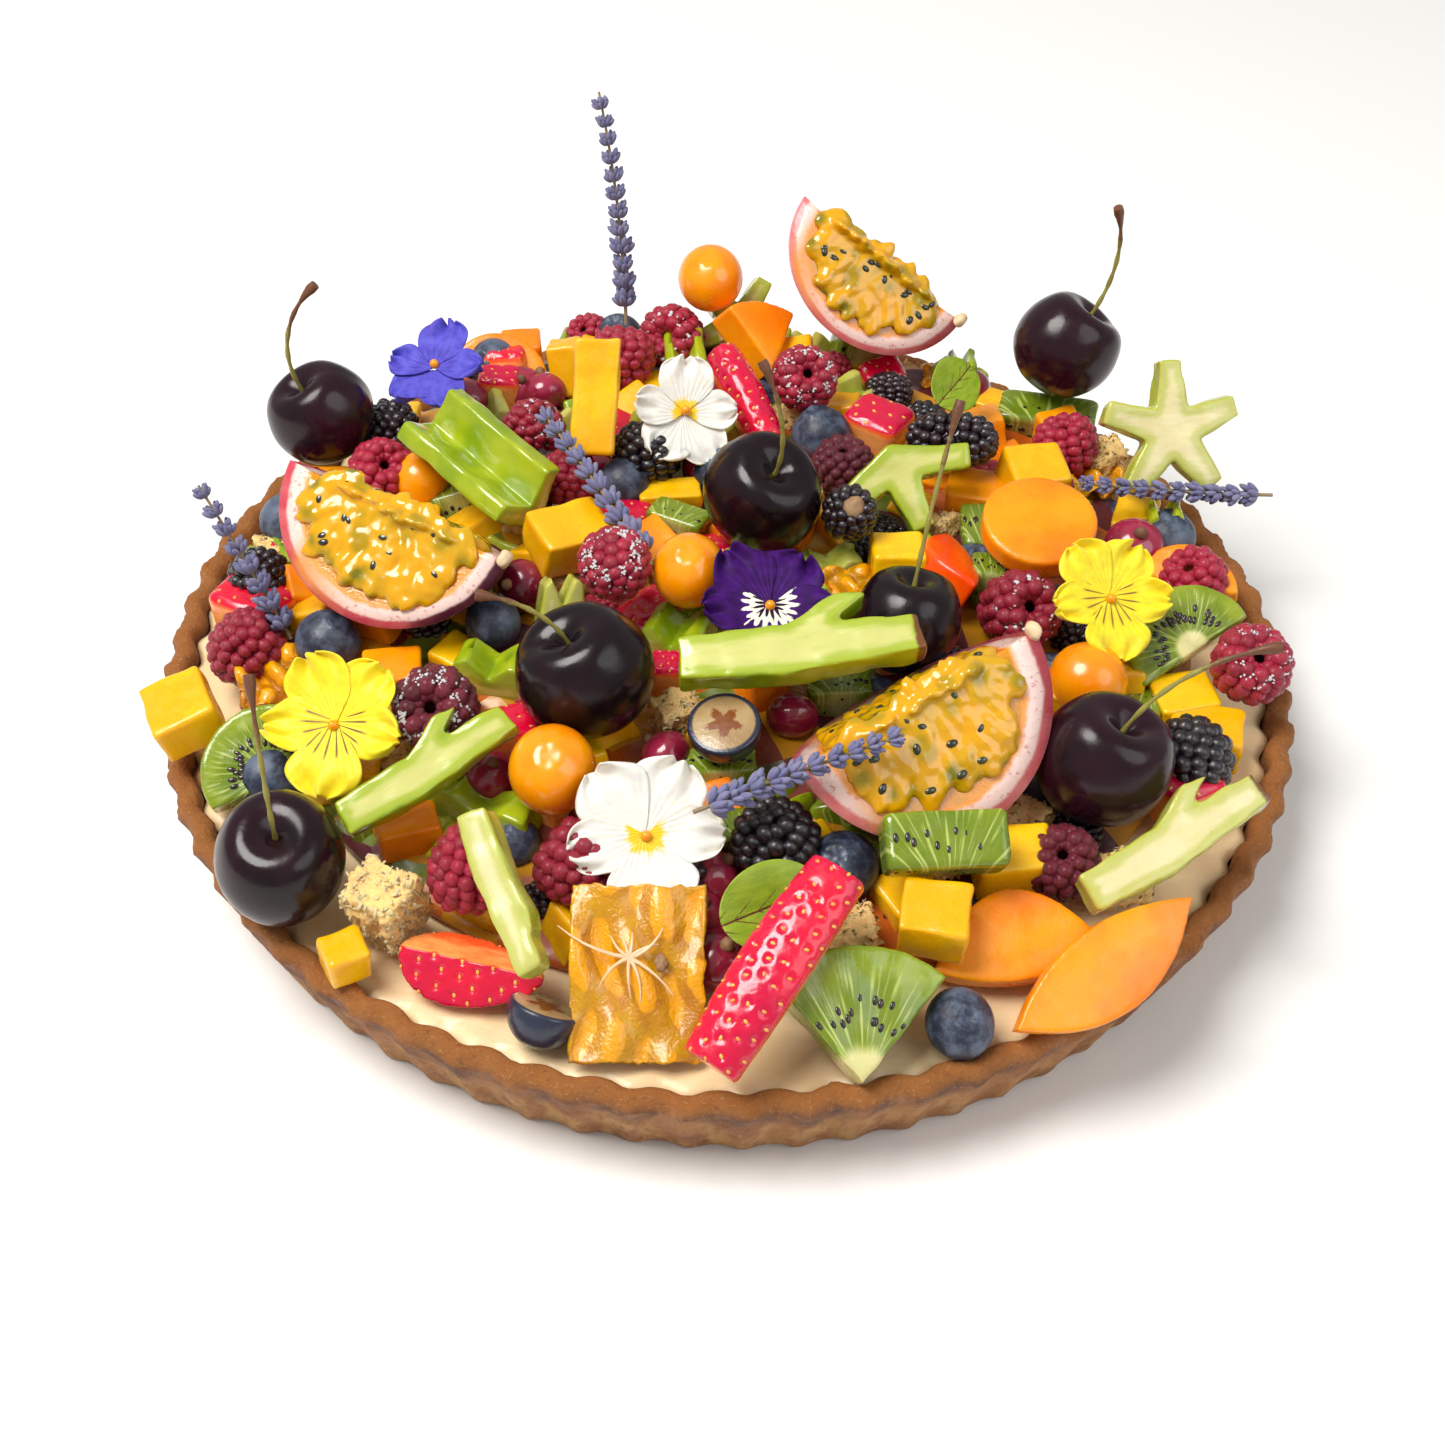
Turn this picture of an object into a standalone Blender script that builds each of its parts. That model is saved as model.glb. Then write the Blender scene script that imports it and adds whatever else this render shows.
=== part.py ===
"""A round fluted fruit tart: a baked shell, a cream filling, and a heap of cut fruit, berries and flowers.

Lengths are in metres, +Z is up and the front is the side that faces -Y. The origin is the middle of the shell's
underside. The shell, the cream and the core of the heap are turned shapes. Small fruit is fused to the core and makes
the heap. Every larger piece is a solid of its own, which is lowered onto what lies under it until it rests there.

The pieces are laid out from a picture of the tart. Each piece states the picture point at which its middle shows, and
the sight line through that point, met at the height at which the piece rests, gives its place on the tart.
"""

import math
import random
from dataclasses import dataclass

import bmesh
import bpy
from mathutils import Euler, Matrix, Vector
from mathutils.bvhtree import BVHTree

MM = 0.001

# The shell
RIM_RADIUS = 134 * MM
BASE_RADIUS = 125.5 * MM
SHELL_HEIGHT = 25.5 * MM
WALL = 5.5 * MM
FLOOR = 4 * MM
FLUTES = 70
FLUTE_DEPTH = 1.0 * MM
POINTS_PER_FLUTE = 2

# The cream, and the core of the heap on it
CREAM_TOP = 22 * MM
CORE_RADIUS = 111 * MM
CORE_SHIFT = 7 * MM
CORE_FRONT_EDGE = 1.5 * MM
CORE_BACK_EDGE = 12 * MM
CORE_RISE = 10 * MM
CORE_TOP = CREAM_TOP + (CORE_FRONT_EDGE + CORE_BACK_EDGE) / 2 + CORE_RISE
CORE_RINGS = 4
CORE_SEGMENTS = 24

# How closely pieces lie against each other
GAP = 0.32 * MM
STEP = 1.2 * MM
NEAREST = 0.04 * MM
SLIDE_COST = 0.7

# How deep the small fruit is sunk into the core
HEAP_SINK = 3 * MM

# The small fruit along the back of the heap
BACK_SEED = 7
BACK_COUNT = 17
BACK_SINK = 6 * MM

# How far a piece may slide from its place
SLIDE = 5 * MM

# How far from the middle of the tart the middle of a piece may lie
HEAP_REACH = 113 * MM
REACH = 128 * MM

# The picture: where it was taken from, its size in points and how many points one radian spans
EYE_DISTANCE = 512 * MM
EYE_ELEVATION = math.radians(44.5)
EYE_ROLL = math.radians(1.46)
AIM = Vector((-1.1, -0.6, -0.7)) * MM
PICTURE_MIDDLE = 722.5
PICTURE_FOCUS = 2064.5

# Colour and roughness of each material
MATERIALS = {
    "pastry": ((0.52, 0.24, 0.07), 0.75),
    "cream": ((0.86, 0.68, 0.44), 0.45),
    "heap": ((0.45, 0.16, 0.08), 0.4),
    "cherry": ((0.035, 0.006, 0.015), 0.15),
    "passion_fruit": ((0.62, 0.22, 0.03), 0.3),
    "physalis": ((0.9, 0.36, 0.01), 0.25),
    "raspberry": ((0.35, 0.01, 0.05), 0.4),
    "bramble": ((0.012, 0.008, 0.016), 0.25),
    "blueberry": ((0.03, 0.04, 0.075), 0.5),
    "strawberry": ((0.68, 0.01, 0.04), 0.3),
    "mango": ((0.93, 0.6, 0.02), 0.35),
    "papaya": ((0.93, 0.28, 0.01), 0.35),
    "star_fruit": ((0.5, 0.58, 0.03), 0.3),
    "kiwi": ((0.26, 0.42, 0.03), 0.3),
    "husk": ((0.72, 0.33, 0.02), 0.45),
    "coconut": ((0.85, 0.66, 0.33), 0.8),
    "yellow_petal": ((0.95, 0.8, 0.01), 0.6),
    "white_petal": ((0.85, 0.82, 0.76), 0.6),
    "violet_petal": ((0.07, 0.01, 0.14), 0.6),
    "blue_petal": ((0.1, 0.08, 0.55), 0.6),
    "leaf": ((0.22, 0.42, 0.03), 0.5),
    "lavender": ((0.14, 0.13, 0.26), 0.8),
}


@dataclass(frozen=True)
class Piece:
    """A piece of fruit or a flower.

    point is where its middle shows in the picture, turn is in degrees and lift is in millimetres above the core.
    """

    name: str
    mesh: bpy.types.Mesh
    material: str
    point: tuple
    turn: tuple
    lift: float


def clear_scene():
    for old in list(bpy.data.objects):
        bpy.data.objects.remove(old)


def material_named(name):
    found = bpy.data.materials.get(name)
    if found:
        return found
    colour, roughness = MATERIALS[name]
    made = bpy.data.materials.new(name)
    made.use_nodes = True
    shader = made.node_tree.nodes["Principled BSDF"]
    shader.inputs["Base Color"].default_value = (*colour, 1)
    shader.inputs["Roughness"].default_value = roughness
    shader.inputs["Metallic"].default_value = 0
    return made


def mesh_of(bm, name):
    """The bmesh as a mesh whose faces point outwards."""
    bmesh.ops.recalc_face_normals(bm, faces=bm.faces)
    made = bpy.data.meshes.new(name)
    bm.to_mesh(made)
    bm.free()
    return made


def object_of(name, mesh, material, matrix=None):
    made = bpy.data.objects.new(name, mesh)
    bpy.context.scene.collection.objects.link(made)
    mesh.materials.clear()
    mesh.materials.append(material_named(material))
    made.matrix_world = matrix or Matrix.Identity(4)
    return made


def fuse(name, objects):
    """One mesh from overlapping objects, which are removed."""
    bpy.context.view_layer.update()
    others = bpy.data.collections.new("fused_" + name)
    for other in objects[1:]:
        others.objects.link(other)
    union = objects[0].modifiers.new("union", "BOOLEAN")
    union.operation = "UNION"
    union.operand_type = "COLLECTION"
    union.collection = others
    union.solver = "MANIFOLD"
    graph = bpy.context.evaluated_depsgraph_get()
    made = bpy.data.meshes.new_from_object(objects[0].evaluated_get(graph))
    made.transform(objects[0].matrix_world)
    for old in objects:
        bpy.data.objects.remove(old)
    bpy.data.collections.remove(others)
    return made


def outer_skin(mesh):
    """Keeps only the largest closed skin of a mesh, so that no hollow is left sealed between fused pieces."""
    bm = bmesh.new()
    bm.from_mesh(mesh)
    left = set(bm.verts)
    skins = []
    while left:
        skin, edge = set(), [left.pop()]
        while edge:
            vert = edge.pop()
            skin.add(vert)
            for link in vert.link_edges:
                other = link.other_vert(vert)
                if other in left:
                    left.remove(other)
                    edge.append(other)
        skins.append(skin)
    skins.sort(key=len)
    bmesh.ops.delete(bm, geom=[vert for skin in skins[:-1] for vert in skin], context="VERTS")
    bm.to_mesh(mesh)
    bm.free()
    return mesh


# Turned shapes: the shell, the cream and the core


def turned(name, rows, count):
    """A closed solid from rows of (radius function, height), lowest outside first and round to the inside floor."""
    bm = bmesh.new()
    rings = []
    for radius_at, height in rows:
        ring = []
        for i in range(count):
            angle = 2 * math.pi * i / count
            radius = radius_at(angle)
            ring.append(bm.verts.new((radius * math.cos(angle), radius * math.sin(angle), height)))
        rings.append(ring)
    for lower, upper in zip(rings, rings[1:]):
        for i in range(count):
            j = (i + 1) % count
            bm.faces.new((lower[i], lower[j], upper[j], upper[i]))
    bm.faces.new(reversed(rings[0]))
    bm.faces.new(rings[-1])
    return mesh_of(bm, name)


def fluted(radius, share=1.0):
    """The radius at each angle of a fluted ring, with a share of the full depth of the flutes."""
    return lambda angle: radius + share * FLUTE_DEPTH * math.cos(FLUTES * angle)


def shell_mesh():
    rows = (
        (fluted(BASE_RADIUS), 0),
        (fluted(RIM_RADIUS - 0.8 * MM, 0.9), SHELL_HEIGHT - 2.5 * MM),
        (fluted(RIM_RADIUS - WALL + 1.5 * MM, 0.8), SHELL_HEIGHT),
        (fluted(RIM_RADIUS - WALL - 0.8 * MM), CREAM_TOP - 0.5 * MM),
        (fluted(BASE_RADIUS - WALL), FLOOR),
    )
    return turned("shell", rows, FLUTES * POINTS_PER_FLUTE)


def cream_mesh():
    rows = (
        (fluted(BASE_RADIUS - WALL - GAP), FLOOR + GAP),
        (fluted(RIM_RADIUS - WALL - 0.8 * MM - GAP), CREAM_TOP - 0.5 * MM),
        (fluted(RIM_RADIUS - WALL - 2.2 * MM, 1.0), CREAM_TOP),
    )
    return turned("cream", rows, FLUTES * POINTS_PER_FLUTE)


def core_height(x, y):
    """The height of the core's top at a place on the tart."""
    distance = math.hypot(x, y - CORE_SHIFT) / CORE_RADIUS
    back = 0.5 + 0.5 * (y - CORE_SHIFT) / CORE_RADIUS
    edge = CORE_FRONT_EDGE + (CORE_BACK_EDGE - CORE_FRONT_EDGE) * back
    return CREAM_TOP + GAP + edge + CORE_RISE * max(0.0, 1 - distance**2) ** 0.7


def core_mesh():
    bm = bmesh.new()
    top = bm.verts.new((0, CORE_SHIFT, core_height(0, CORE_SHIFT)))
    bottom = bm.verts.new((0, CORE_SHIFT, CREAM_TOP + GAP))
    rings = []
    for k in range(1, CORE_RINGS + 2):
        radius = CORE_RADIUS * min(k, CORE_RINGS) / CORE_RINGS
        ring = []
        for i in range(CORE_SEGMENTS):
            angle = 2 * math.pi * i / CORE_SEGMENTS
            x, y = radius * math.cos(angle), radius * math.sin(angle) + CORE_SHIFT
            height = core_height(x, y) if k <= CORE_RINGS else CREAM_TOP + GAP
            ring.append(bm.verts.new((x, y, height)))
        rings.append(ring)
    for i in range(CORE_SEGMENTS):
        j = (i + 1) % CORE_SEGMENTS
        bm.faces.new((top, rings[0][i], rings[0][j]))
        bm.faces.new((bottom, rings[-1][j], rings[-1][i]))
        for inner, outer in zip(rings, rings[1:]):
            bm.faces.new((inner[i], outer[i], outer[j], inner[j]))
    return mesh_of(bm, "core")


# Fruit


def ball(width, segments=12, rings=8, shape=None):
    """A ball as a bmesh. shape(angle from the top, angle round, ring, segment) scales each point's distance."""
    bm = bmesh.new()
    bmesh.ops.create_uvsphere(bm, u_segments=segments, v_segments=rings, radius=width / 2)
    for vert in bm.verts:
        down = math.acos(max(-1.0, min(1.0, vert.co.z / (width / 2))))
        around = math.atan2(vert.co.y, vert.co.x)
        if shape:
            ring = round(down / math.pi * rings)
            vert.co *= shape(down, around, ring, round(around / (2 * math.pi) * segments))
    return bm


def hollow_at_top(depth, reach):
    """The shape of a ball with a dimple at its top, reach radians wide."""
    return lambda down, around, ring, seg: 1 - depth * math.exp(-((down / reach) ** 2))


def tube(name, points, radii, sides=5):
    """A closed tube through the points, with its own radius at each."""
    bm = bmesh.new()
    rings = []
    for k, (point, radius) in enumerate(zip(points, radii)):
        before, after = points[max(k - 1, 0)], points[min(k + 1, len(points) - 1)]
        turn = (after - before).to_track_quat("Z", "Y")
        ring = []
        for i in range(sides):
            angle = 2 * math.pi * i / sides
            reach = radius(angle) if callable(radius) else radius
            offset = turn @ Vector((reach * math.cos(angle), reach * math.sin(angle), 0))
            ring.append(bm.verts.new(point + offset))
        rings.append(ring)
    for lower, upper in zip(rings, rings[1:]):
        for i in range(sides):
            j = (i + 1) % sides
            bm.faces.new((lower[i], lower[j], upper[j], upper[i]))
    bm.faces.new(reversed(rings[0]))
    bm.faces.new(rings[-1])
    return mesh_of(bm, name)


def arc_points(start, length, bend, steps):
    """Points along an arc that leaves start along +Z and turns towards +X by bend radians in all."""
    points = [start]
    for k in range(steps):
        angle = bend * (k + 0.5) / steps
        points.append(points[-1] + Vector((math.sin(angle), 0, math.cos(angle))) * length / steps)
    return points


def cherry(width, stem, bend):
    """A cherry with its stem along +Z, bent towards +X by bend degrees."""
    wide, low = 1.05, 0.95
    body = ball(width, 11, 7, hollow_at_top(0.3, 0.5))
    for vert in body.verts:
        vert.co.x *= wide
        vert.co.z *= low
    start = Vector((0, 0, 0.28 * width))
    steps = 4
    thin, thicker, knob = 0.65 * MM, 1.15 * MM, 1.4 * MM
    radii = [thin] * (steps - 1) + [thicker, knob]
    parts = [
        object_of("body", mesh_of(body, "body"), "cherry"),
        object_of("stem", tube("stem", arc_points(start, stem, math.radians(bend), steps), radii), "cherry"),
    ]
    return fuse("cherry", parts)


def passion_fruit(length, width, share=90, stations=9, arc=6):
    """A wedge cut lengthwise from a passion fruit: it lies along X on its rind, with its cut edge on top."""
    rind, hollow = 4.5 * MM, 1.2 * MM
    least_pulp = 0.3
    half = math.radians(share / 2)
    right, left = half - math.pi / 2, -half - math.pi / 2
    bm = bmesh.new()
    ends = [bm.verts.new((side * length / 2, 0, width / 4)) for side in (-1, 1)]
    rings = []
    for k in range(1, stations):
        x = -length / 2 * math.cos(math.pi * k / stations)
        radius = width / 2 * math.sin(math.pi * k / stations)
        pulp = max(radius - rind, least_pulp * radius)
        sunk_y, sunk_z = hollow * math.sin(half), hollow * math.cos(half)
        section = [(0, 0), (pulp * math.cos(right) - sunk_y, pulp * math.sin(right) - sunk_z)]
        for i in range(arc + 1):
            angle = right + (left - right) * i / arc
            section.append((radius * math.cos(angle), radius * math.sin(angle)))
        section.append((pulp * math.cos(left) + sunk_y, pulp * math.sin(left) - sunk_z))
        rings.append([bm.verts.new((x, y, z + width / 4)) for y, z in section])
    count = len(rings[0])
    for i in range(count):
        j = (i + 1) % count
        bm.faces.new((ends[0], rings[0][i], rings[0][j]))
        bm.faces.new((ends[1], rings[-1][j], rings[-1][i]))
        for one, two in zip(rings, rings[1:]):
            bm.faces.new((one[i], two[i], two[j], one[j]))
    return mesh_of(bm, "passion_fruit")


def bumpy(width, length, segments=12, rings=8, hollow=0.0, taper=0.25, depth=0.06):
    """A raspberry or a bramble: staggered bumps on a blunt cone, with a hollow at the top where the stalk was."""

    def shape(down, around, ring, seg):
        bump = depth if (ring + seg) % 2 else -depth
        return (1 + bump) * (1 - hollow * math.exp(-((down / 0.45) ** 2)))

    bm = ball(width, segments, rings, shape)
    for vert in bm.verts:
        share = (vert.co.z / (width / 2) + 1) / 2
        narrow = 1 - taper * (1 - share)
        vert.co = Vector((vert.co.x * narrow, vert.co.y * narrow, vert.co.z * length / width))
    return mesh_of(bm, "bumpy")


def berry(width, segments=10, rings=7, crown=0.12):
    """A smooth berry with a small sunken crown at the top."""
    bm = ball(width, segments, rings, hollow_at_top(crown, 0.35))
    for vert in bm.verts:
        vert.co.z *= 0.92
    return mesh_of(bm, "berry")


def half_berry(width, segments=12, rings=8):
    """A berry cut across, with the cut face up."""
    bm = ball(width, segments, rings)
    everything = bm.verts[:] + bm.edges[:] + bm.faces[:]
    cut = bmesh.ops.bisect_plane(
        bm, geom=everything, plane_co=(0, 0, 0.1 * width), plane_no=(0, 0, 1), clear_outer=True
    )
    bmesh.ops.edgeloop_fill(bm, edges=[e for e in cut["geom_cut"] if isinstance(e, bmesh.types.BMEdge)])
    for vert in bm.verts:
        vert.co.z += 0.15 * width
    return mesh_of(bm, "half_berry")


def chunk(size, seed, bevel=1.0 * MM, uneven=0.09):
    """A knife-cut block with uneven corners. bevel may be 0 for sharp edges."""
    draw = random.Random(seed)
    bm = bmesh.new()
    bmesh.ops.create_cube(bm, size=1)
    for vert in bm.verts:
        vert.co = Vector([vert.co[k] * size[k] * (1 + draw.uniform(-uneven, uneven)) for k in range(3)])
    if bevel:
        bmesh.ops.bevel(bm, geom=bm.edges[:], offset=bevel, segments=1, affect="EDGES")
    return mesh_of(bm, "chunk")


def slab(outline, thickness, narrow=1.0):
    """A slice with a given outline, its faces level. narrow is the top face's share of the bottom one's width."""
    bm = bmesh.new()
    lower = [bm.verts.new((x, y, -thickness / 2)) for x, y in outline]
    upper = [bm.verts.new((x * narrow, y * narrow, thickness / 2)) for x, y in outline]
    bm.faces.new(reversed(lower))
    bm.faces.new(upper)
    for i in range(len(outline)):
        j = (i + 1) % len(outline)
        bm.faces.new((lower[i], lower[j], upper[j], upper[i]))
    return mesh_of(bm, "slab")


def star_outline(width, arms=5):
    """A slice of star fruit as an outline. With fewer than five arms, the rest was cut away through the middle."""
    reach, valley, blunt = width / 2, 0.2 * width, 0.16
    points = []
    for k in range(arms):
        middle = 2 * math.pi * (k - (arms - 1) / 2) / 5 + math.pi / 2
        points.append((reach * math.cos(middle - blunt), reach * math.sin(middle - blunt)))
        points.append((reach * math.cos(middle + blunt), reach * math.sin(middle + blunt)))
        if arms == 5 or k < arms - 1:
            between = middle + math.pi / 5
            points.append((valley * math.cos(between), valley * math.sin(between)))
    if arms < 5:
        points.append((0, -0.12 * width))
    return centred(points)


def sector_outline(radius, angle, steps=8):
    """A slice of a round fruit that spans angle degrees, pointing along +Y."""
    half = math.radians(angle) / 2
    arc = [math.pi / 2 - half + 2 * half * k / steps for k in range(steps + 1)]
    points = [(radius * math.cos(a), radius * math.sin(a)) for a in arc]
    if angle < 180:
        points.append((0, 0))
    return centred(points)


def long_star_slice(length, branch):
    """A lengthwise slice of star fruit: a long arm along X with a short one that leaves it by branch of its width."""
    narrow, wide = 0.1 * length, 0.13 * length
    outline = [
        (-0.5 * length, -0.8 * narrow),
        (-0.1 * length, -wide),
        (0.5 * length, -narrow),
        (0.48 * length, 0.5 * narrow),
        (0.15 * length, 0.6 * wide),
        (0.3 * length, 0.6 * wide + branch * narrow),
        (0.18 * length, 0.8 * wide + branch * narrow),
        (-0.05 * length, 0.7 * wide),
        (-0.48 * length, narrow),
    ]
    return slab(centred(outline), 8 * MM)


def star_rib(length, width):
    """A chunk of star fruit with two ribs and the groove between them, all along Z."""
    return slab(star_outline(width, 2), length)


def ring_outline(radius, inside, steps=8):
    """A bent slice of a hollow fruit, open towards -Y."""
    outer = [math.pi * k / steps for k in range(steps + 1)]
    points = [(radius * math.cos(a), radius * math.sin(a)) for a in outer]
    points += [(inside * math.cos(a), inside * math.sin(a)) for a in reversed(outer)]
    return centred(points)


def lens_outline(length, width, steps=6, bulge=0.5):
    """Two arcs that meet in points at both ends, with bulge of the width on the +Y side."""
    there = [(length * (0.5 - k / steps), bulge) for k in range(steps)]
    back = [(-length * (0.5 - k / steps), bulge - 1) for k in range(steps)]
    return [(x, side * width * (1 - (2 * x / length) ** 2)) for x, side in there + back]


def centred(points):
    """The same outline with the middle of its box at the origin."""
    xs, ys = [x for x, _ in points], [y for _, y in points]
    middle_x, middle_y = (min(xs) + max(xs)) / 2, (min(ys) + max(ys)) / 2
    return [(x - middle_x, y - middle_y) for x, y in points]


def strawberry_quarter(length, width):
    """A quarter of a strawberry that lies along X on its skin, with its tip at +X."""
    bm = bmesh.new()
    bmesh.ops.create_uvsphere(bm, u_segments=12, v_segments=8, radius=0.5)
    for vert in bm.verts:
        along = vert.co.z + 0.5
        narrow = 1 - 0.45 * along
        vert.co = Vector((vert.co.z * length, vert.co.x * width * narrow, vert.co.y * width * narrow))
    half = math.radians(55)
    for side in (-1, 1):
        everything = bm.verts[:] + bm.edges[:] + bm.faces[:]
        normal = (0, side * math.cos(half), math.sin(half))
        cut = bmesh.ops.bisect_plane(bm, geom=everything, plane_co=(0, 0, 0), plane_no=normal, clear_outer=True)
        bmesh.ops.edgeloop_fill(bm, edges=[e for e in cut["geom_cut"] if isinstance(e, bmesh.types.BMEdge)])
    for vert in bm.verts:
        vert.co.z += 0.2 * width
    return mesh_of(bm, "strawberry_quarter")


# Half widths and heights across a long slice, as shares of its width and thickness
STRIP_PROFILE = ((-0.5, -0.5), (-0.5, 0.1), (-0.25, 0.42), (0.0, 0.5), (0.25, 0.42), (0.5, 0.1), (0.5, -0.5))


def bent_strip(length, width, thickness, bow, steps=5):
    """A long slice along X whose skin side, on top, is rounded across and bowed along its length."""
    bm = bmesh.new()
    rows = []
    for k in range(steps + 1):
        share = k / steps - 0.5
        x, lift = share * length, -bow * (2 * share) ** 2
        narrow = 1 - 0.15 * (2 * share) ** 2
        rows.append([bm.verts.new((x, p * width * narrow, q * thickness + lift)) for p, q in STRIP_PROFILE])
    for one, two in zip(rows, rows[1:]):
        for i in range(len(one)):
            j = (i + 1) % len(one)
            bm.faces.new((one[i], one[j], two[j], two[i]))
    bm.faces.new(reversed(rows[0]))
    bm.faces.new(rows[-1])
    return mesh_of(bm, "strip")


# Flowers and leaves


def thin_disc(radius_at, height_at, thickness, sectors, rings=2):
    """A thin wavy solid whose two faces are split into triangles alike."""
    bm = bmesh.new()
    sides = []
    for side in (0, 1):
        layers = [[bm.verts.new((0, 0, height_at(0, 0) + side * thickness))]]
        for k in range(1, rings + 1):
            layer = []
            for i in range(sectors):
                angle = 2 * math.pi * i / sectors
                radius = radius_at(angle) * k / rings
                height = height_at(radius, angle) + side * thickness
                layer.append(bm.verts.new((radius * math.cos(angle), radius * math.sin(angle), height)))
            layers.append(layer)
        sides.append(layers)
    for layers in sides:
        for i in range(sectors):
            j = (i + 1) % sectors
            bm.faces.new((layers[0][0], layers[1][i], layers[1][j]))
            for inner, outer in zip(layers[1:], layers[2:]):
                bm.faces.new((inner[i], outer[i], outer[j]))
                bm.faces.new((inner[i], outer[j], inner[j]))
    low, high = sides[0][-1], sides[1][-1]
    for i in range(sectors):
        j = (i + 1) % sectors
        bm.faces.new((low[i], low[j], high[j]))
        bm.faces.new((low[i], high[j], high[i]))
    return mesh_of(bm, "thin_disc")


def viola(width, cup=0.12, wave=0.05):
    """A viola face up: five petals of four points each, the lowest and widest petal towards -Y."""
    steps = 4
    sectors = 5 * steps
    reaches = (0.5, 0.46, 0.33, 0.46)

    def radius_at(angle):
        sector = round(angle / (2 * math.pi) * sectors)
        lowest = 1.06 if abs(sector - 15) < 2 else 1
        return width * lowest * reaches[(sector - 15) % steps]

    def height_at(radius, angle):
        return cup * radius**2 / width + wave * radius * math.sin(5 * angle + 0.6)

    return thin_disc(radius_at, height_at, 0.8 * MM, sectors, rings=1)


def round_leaf(length, width, sectors=12):
    """A rounded leaf along X, folded a little along its middle rib."""

    def radius_at(angle):
        return 0.5 / math.hypot(math.cos(angle) / length, math.sin(angle) / width)

    def height_at(radius, angle):
        return 0.18 * abs(radius * math.sin(angle)) + 0.06 * radius * math.cos(2 * angle)

    return thin_disc(radius_at, height_at, 0.8 * MM, sectors)


def husk(width, length, steps=5, thickness=1.6 * MM):
    """A square of wrinkled papery fruit skin."""
    wrinkle, waves = 2.2 * MM, 2.2
    bm = bmesh.new()
    layers = []
    for side in (0, 1):
        grid = []
        for i in range(steps + 1):
            row = []
            for j in range(steps + 1):
                u, v = i / steps - 0.5, j / steps - 0.5
                ridge = wrinkle * math.cos(2 * waves * math.pi * u) * math.cos(waves * math.pi * v)
                row.append(bm.verts.new((u * width, v * length, ridge + side * thickness)))
            grid.append(row)
        layers.append(grid)
    for grid in layers:
        for i in range(steps):
            for j in range(steps):
                bm.faces.new((grid[i][j], grid[i + 1][j], grid[i + 1][j + 1]))
                bm.faces.new((grid[i][j], grid[i + 1][j + 1], grid[i][j + 1]))
    low, high = layers
    border = [(i, 0) for i in range(steps)] + [(steps, j) for j in range(steps)]
    border += [(steps - i, steps) for i in range(steps)] + [(0, steps - j) for j in range(steps)]
    for (i, j), (k, m) in zip(border, border[1:] + border[:1]):
        bm.faces.new((low[i][j], low[k][m], high[k][m], high[i][j]))
    return mesh_of(bm, "husk")


def lavender(length, whorls, bend, bare=0.12):
    """A sprig of lavender from its cut end upwards: rings of buds on a thin stem."""
    wide, thin = 3.4 * MM, 0.9 * MM
    steps = 2 * whorls + 2
    spine = arc_points(Vector((0, 0, 0)), length, math.radians(bend), steps)
    radii = [thin, thin]
    for k in range(whorls):
        size = wide * (1 - 0.45 * k / whorls)
        radii += [
            lambda angle, r=size, s=k: r * (1 + 0.25 * math.cos(3 * angle + s)),
            thin * 1.1,
        ]
    radii.append(thin * 0.7)
    middle = (spine[0] + spine[-1]) / 2
    return tube("lavender", [point - middle for point in spine], radii, sides=6)


# Laying out


def eye_axes():
    """The eye's place, and its axes to the right, up and ahead."""
    eye = Vector((0, -math.cos(EYE_ELEVATION), math.sin(EYE_ELEVATION))) * EYE_DISTANCE
    ahead = (AIM - eye).normalized()
    right = ahead.cross(Vector((0, 0, 1))).normalized()
    up = right.cross(ahead)
    cos, sin = math.cos(EYE_ROLL), math.sin(EYE_ROLL)
    return eye, right * cos + up * sin, up * cos - right * sin, ahead


def spot(point, height, reach):
    """Where the sight line through a picture point meets a height, brought in to within reach of the middle."""
    eye, right, up, ahead = eye_axes()
    line = ahead * PICTURE_FOCUS + right * (point[0] - PICTURE_MIDDLE) - up * (point[1] - PICTURE_MIDDLE)
    place = eye + line * ((height - eye.z) / line.z)
    inwards = min(1, reach / place.xy.length)
    return Vector((place.x * inwards, place.y * inwards, height))


class Ground:
    """What has been laid so far, as triangle trees with their boxes."""

    def __init__(self):
        self.laid = []

    def add(self, made):
        made.data.calc_loop_triangles()
        points = [made.matrix_world @ v.co for v in made.data.vertices]
        faces = [tuple(t.vertices) for t in made.data.loop_triangles]
        low = [min(p[k] for p in points) for k in range(3)]
        high = [max(p[k] for p in points) for k in range(3)]
        self.laid.append((BVHTree.FromPolygons(points, faces), low, high))

    def near(self, low, high):
        """What lies, in plan, under a box."""
        return [
            entry
            for entry in self.laid
            if all(entry[1][k] <= high[k] and entry[2][k] >= low[k] for k in (0, 1))
        ]


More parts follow.
